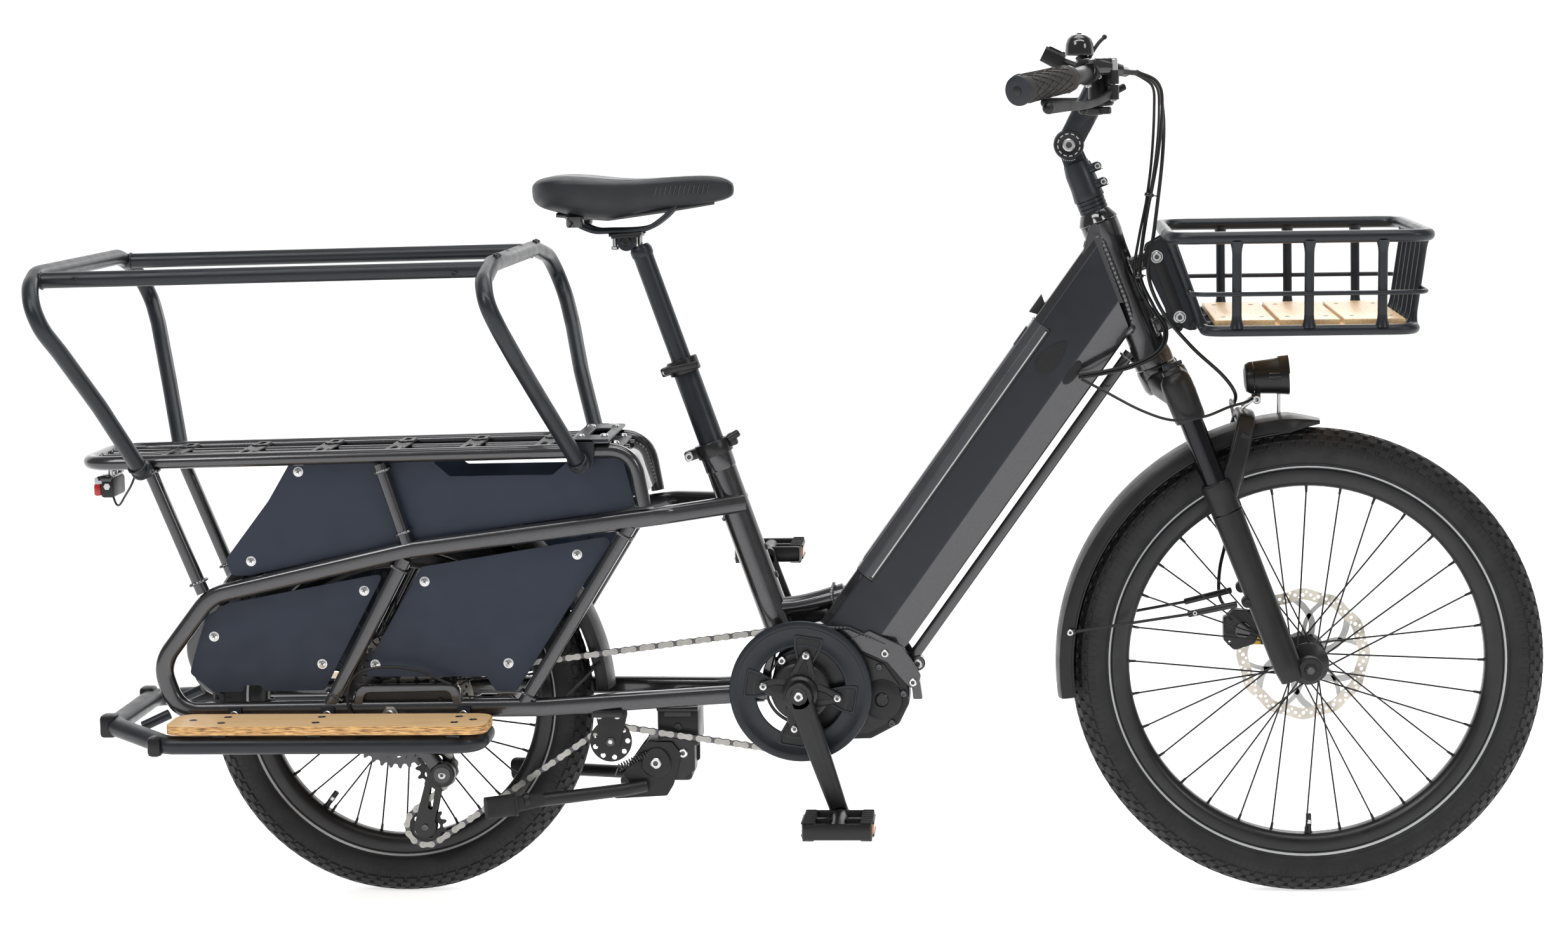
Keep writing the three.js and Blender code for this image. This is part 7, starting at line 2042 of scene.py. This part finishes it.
# ---------------------------------------------------------------- kickstand
def kickstand():
    p = Piece("kickstand_bracket", "frame", "kickstand_mount", slot="black_metal")
    p.plate([(336, 214), (398, 214), (398, 158), (374, 158), (336, 172)], (-38, 38), "fork_black", 7,
            [(KICK_PIVOT[0], KICK_PIVOT[1], 6.8)], 2.2)
    p.box((352, 408), (-38, 38), (205, 256), "fork_black", 4)
    p.box((352, 408), (-46, 46), (254, 259), "anodised", 1.4)
    for s in (-1, 1):
        p.plate([(330, 206), (362, 218), (402, 212), (402, 172), (384, 160), (340, 168)],
                tuple(sorted((s * 36.6, s * 38.4))), "anodised", 5,
                [(KICK_PIVOT[0], KICK_PIVOT[1], 7.2)], 0.6)
        hex_bolt(p, V(386, s * 38, 196), (0, s, 0), 6.4, "steel", 4)
        hex_bolt(p, V(380, s * 38, 232), (0, s, 0), 5.2, "anodised", 3)
        p.sweep([V(362, s * 38.6, 250), V(398, s * 38.6, 250)], squircle(2, 9, 0.8, 2), "anodised")
    # centre bolt under the plate
    p.rod(V(378, 0, 259), V(378, 0, 266), 8, "steel", 6, edge=1)
    p.done(30)
    p = Piece("kickstand_tubes", "kickstand", "kickstand_legs", slot="black_metal")
    for s in (-1, 1):
        p.lathe([(6.4, 0), (18.5, 0), (20, 1.5), (20, 7), (18.5, 8.4), (6.4, 8.4)],
                V(KICK_PIVOT[0], s * 38.8, KICK_PIVOT[1]), (0, s, 0), "fork_black", 44, closed=True)
        hex_bolt(p, V(KICK_PIVOT[0], s * 47, KICK_PIVOT[1]), (0, s, 0), 7.4, "steel", 4)
        # cheek plate that carries the leg below the pivot
        p.plate([(304, 167), (324, 195), (338, 212), (372, 212), (384, 196), (380, 176), (373, 153), (364, 138),
                 (292, 134), (290, 145), (316, 154)],
                tuple(sorted((s * 39.6, s * 42.6))), "fork_black", 5, (), 0.8)
        line = rounded([V(336, s * 46.5, 153), V(306, s * 58, 149.5), V(180, s * 112, 144.5)], 34, False, 8)
        p.tube(line, 8.8, "fork_black", 24, across=(0, 0, 1))
        foot = rounded([V(204, s * 103, 147), V(168, s * 117, 142.5), V(131, s * 131, 140.5)], 26, False, 6)
        p.sweep(foot, squircle(24, 29, 9, 4), "rubber_foot", scale=lambda t: 0.62 + 0.38 * min(t * 2.2, 1))
        for k in range(5):
            t = 0.30 + 0.13 * k
            i = int(t * (len(foot) - 1))
            q = foot[i]
            way = (foot[min(i + 1, len(foot) - 1)] - foot[i - 1]).normalized()
            p.sweep([q - way * 1.2, q + way * 1.2], squircle(25.4, 30.4, 9, 4), "rubber_foot")
        p.rod(V(178, s * 112, 146), V(186, s * 109, 147.4), 10.6, "fork_black", 28, edge=1)
    p.rod(V(KICK_PIVOT[0], -46, KICK_PIVOT[1]), V(KICK_PIVOT[0], 46, KICK_PIVOT[1]), 6.0, "steel", 28)
    # return spring between the leg and the bracket
    coil = []
    a, b = V(300, -50, 178), V(338, -43.5, 196)
    way = (b - a).normalized()
    q = V(0, 0, 1).rotation_difference(way)
    for k in range(14 * 11 + 1):
        t = k / (14 * 11)
        ang = 2 * math.pi * 11 * t
        coil.append(a.lerp(b, t) + q @ V(4.6 * math.cos(ang), 4.6 * math.sin(ang), 0))
    p.tube(coil, 0.95, "dark_steel", 6)
    p.tube([V(296, -56, 169), V(298, -52, 175), a], 1.1, "dark_steel", 8)
    p.done(30)


# ---------------------------------------------------------------- hoses and wires
ROUTES = {
    "cable_bundle": [(996, -88, 1096), (1022, -62, 1080), (1027, -36, 1046), (1021, -30, 975), (1004, -34, 880),
                     (1000, -35, 830),
                     (1018, -36, 790), (1035, -39, 760), (1027, -43, 732), (994, -45, 714), (955, -46, 705),
                     (920, -44, 700)],
    "front_brake_hose": [(996, 88, 1096), (1026, 56, 1080), (1034, 4, 1044), (1032, -24, 985), (1020, -44, 890),
                         (1012, -46, 835),
                         (1030, -46, 785), (1068, -46, 738), (1108, -40, 700), (1125, -34, 676), (1126, -8, 660),
                         (1124, 44, 656),
                         (1132, 84, 622), (1134, 93, 560), (1122, 92, 470), (1112, 86, 425), (1110, 76, 392),
                         (1116, 60, 378),
                         (1128, 49, 375.6)],
    "headlight_wire": [(924, -52, 697), (953, -60, 682), (1001, -82, 658), (1042, -95, 646), (1082, -92, 650),
                       (1116, -68, 660),
                       (1140, -36, 663), (1149, -22, 666)],
}


def cord(name, points, r, stands_for=()):
    """One free hose or wire: a tube that runs between two bodies, attached to neither."""
    p = Piece(name, None, *stands_for, slot="hose")
    p.tube(points, r, "cable", 14)
    obj = p.done(50)
    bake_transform(obj)


def nearest(line, point):
    return min(range(len(line)), key=lambda i: (line[i] - Vector(point)).length)


def tie(name, body, at, along, r, w=2.2):
    p = Piece(name, body, slot="hose")
    p.lathe([(r - 0.8, -w), (r + 0.5, -w), (r + 0.9, -w * 0.6), (r + 0.9, w * 0.6), (r + 0.5, w), (r - 0.8, w)], at,
            along, "gloss_black", 24, closed=True)
    side = along.cross(V(0, 1, 0)).normalized()
    p.sweep([Vector(at) + side * r * 0.9, Vector(at) + side * (r + 4)], squircle(2.6, 1.6, 0.4, 1), "gloss_black")
    p.done(30)


def cords():
    # three thin casings that run side by side: lever and shifter to a tie at the head tube, then to the port
    line = spline(ROUTES["cable_bundle"], 10)
    cut = nearest(line, (1000, -35, 830))
    n = len(line) - 1
    for k, (r, phase, out) in enumerate([(2.2, 0.3, 1.0), (1.9, 2.4, 1.7), (1.6, 4.5, 1.3)]):
        pts = []
        for i, q in enumerate(line):
            t = i / n
            open_ = math.sin(math.pi * min(max((t - 0.02) / 0.30, 0),
                                           1)) + 0.55 * math.sin(math.pi * min(max((t - 0.32) / 0.24, 0), 1))
            spread = 2.3 + 4.6 * out * max(open_, 0) / 1.7
            along = (line[min(i + 1, n)] - line[max(i - 1, 0)]).normalized()
            side = along.cross(V(0, 1, 0)).normalized()
            up = (V(0, 1, 0) - along * along.y).normalized()
            a = phase + 1.2 * t
            pts.append(q + side * (spread * math.cos(a)) + up * (spread * 0.8 * math.sin(a)))
        label = ("brake_casing", "shift_casing", "switch_wire")[k]
        cord(label + "_upper", pts[:cut + 1], r,
             ("cable_bundle",) if k == 0 else ())
        cord(label + "_lower", list(reversed(pts[cut:])), r)
    for point in ((1013, -34, 935), (1000, -35, 830)):
        i = nearest(line, point)
        tie(f"cable_tie_{i}", "steering", line[i], (line[i + 1] - line[i - 1]).normalized(), 5.6)
    line = spline(ROUTES["front_brake_hose"], 10)
    cut = nearest(line, (1012, -46, 835))
    cord("front_hose_upper", line[:cut + 1], 2.5,
         ("front_brake_hose",))
    cord("front_hose_lower", list(reversed(line[cut:])), 2.5,
         ())
    line = spline(ROUTES["headlight_wire"], 12)
    cut = nearest(line, (1042, -95, 646))
    cord("lamp_wire_rear", line[:cut + 1], 1.9,
         ("headlight_wire",))
    cord("lamp_wire_front", list(reversed(line[cut:])), 1.9)


drive()
cranks()
basket()
kickstand()
cords()
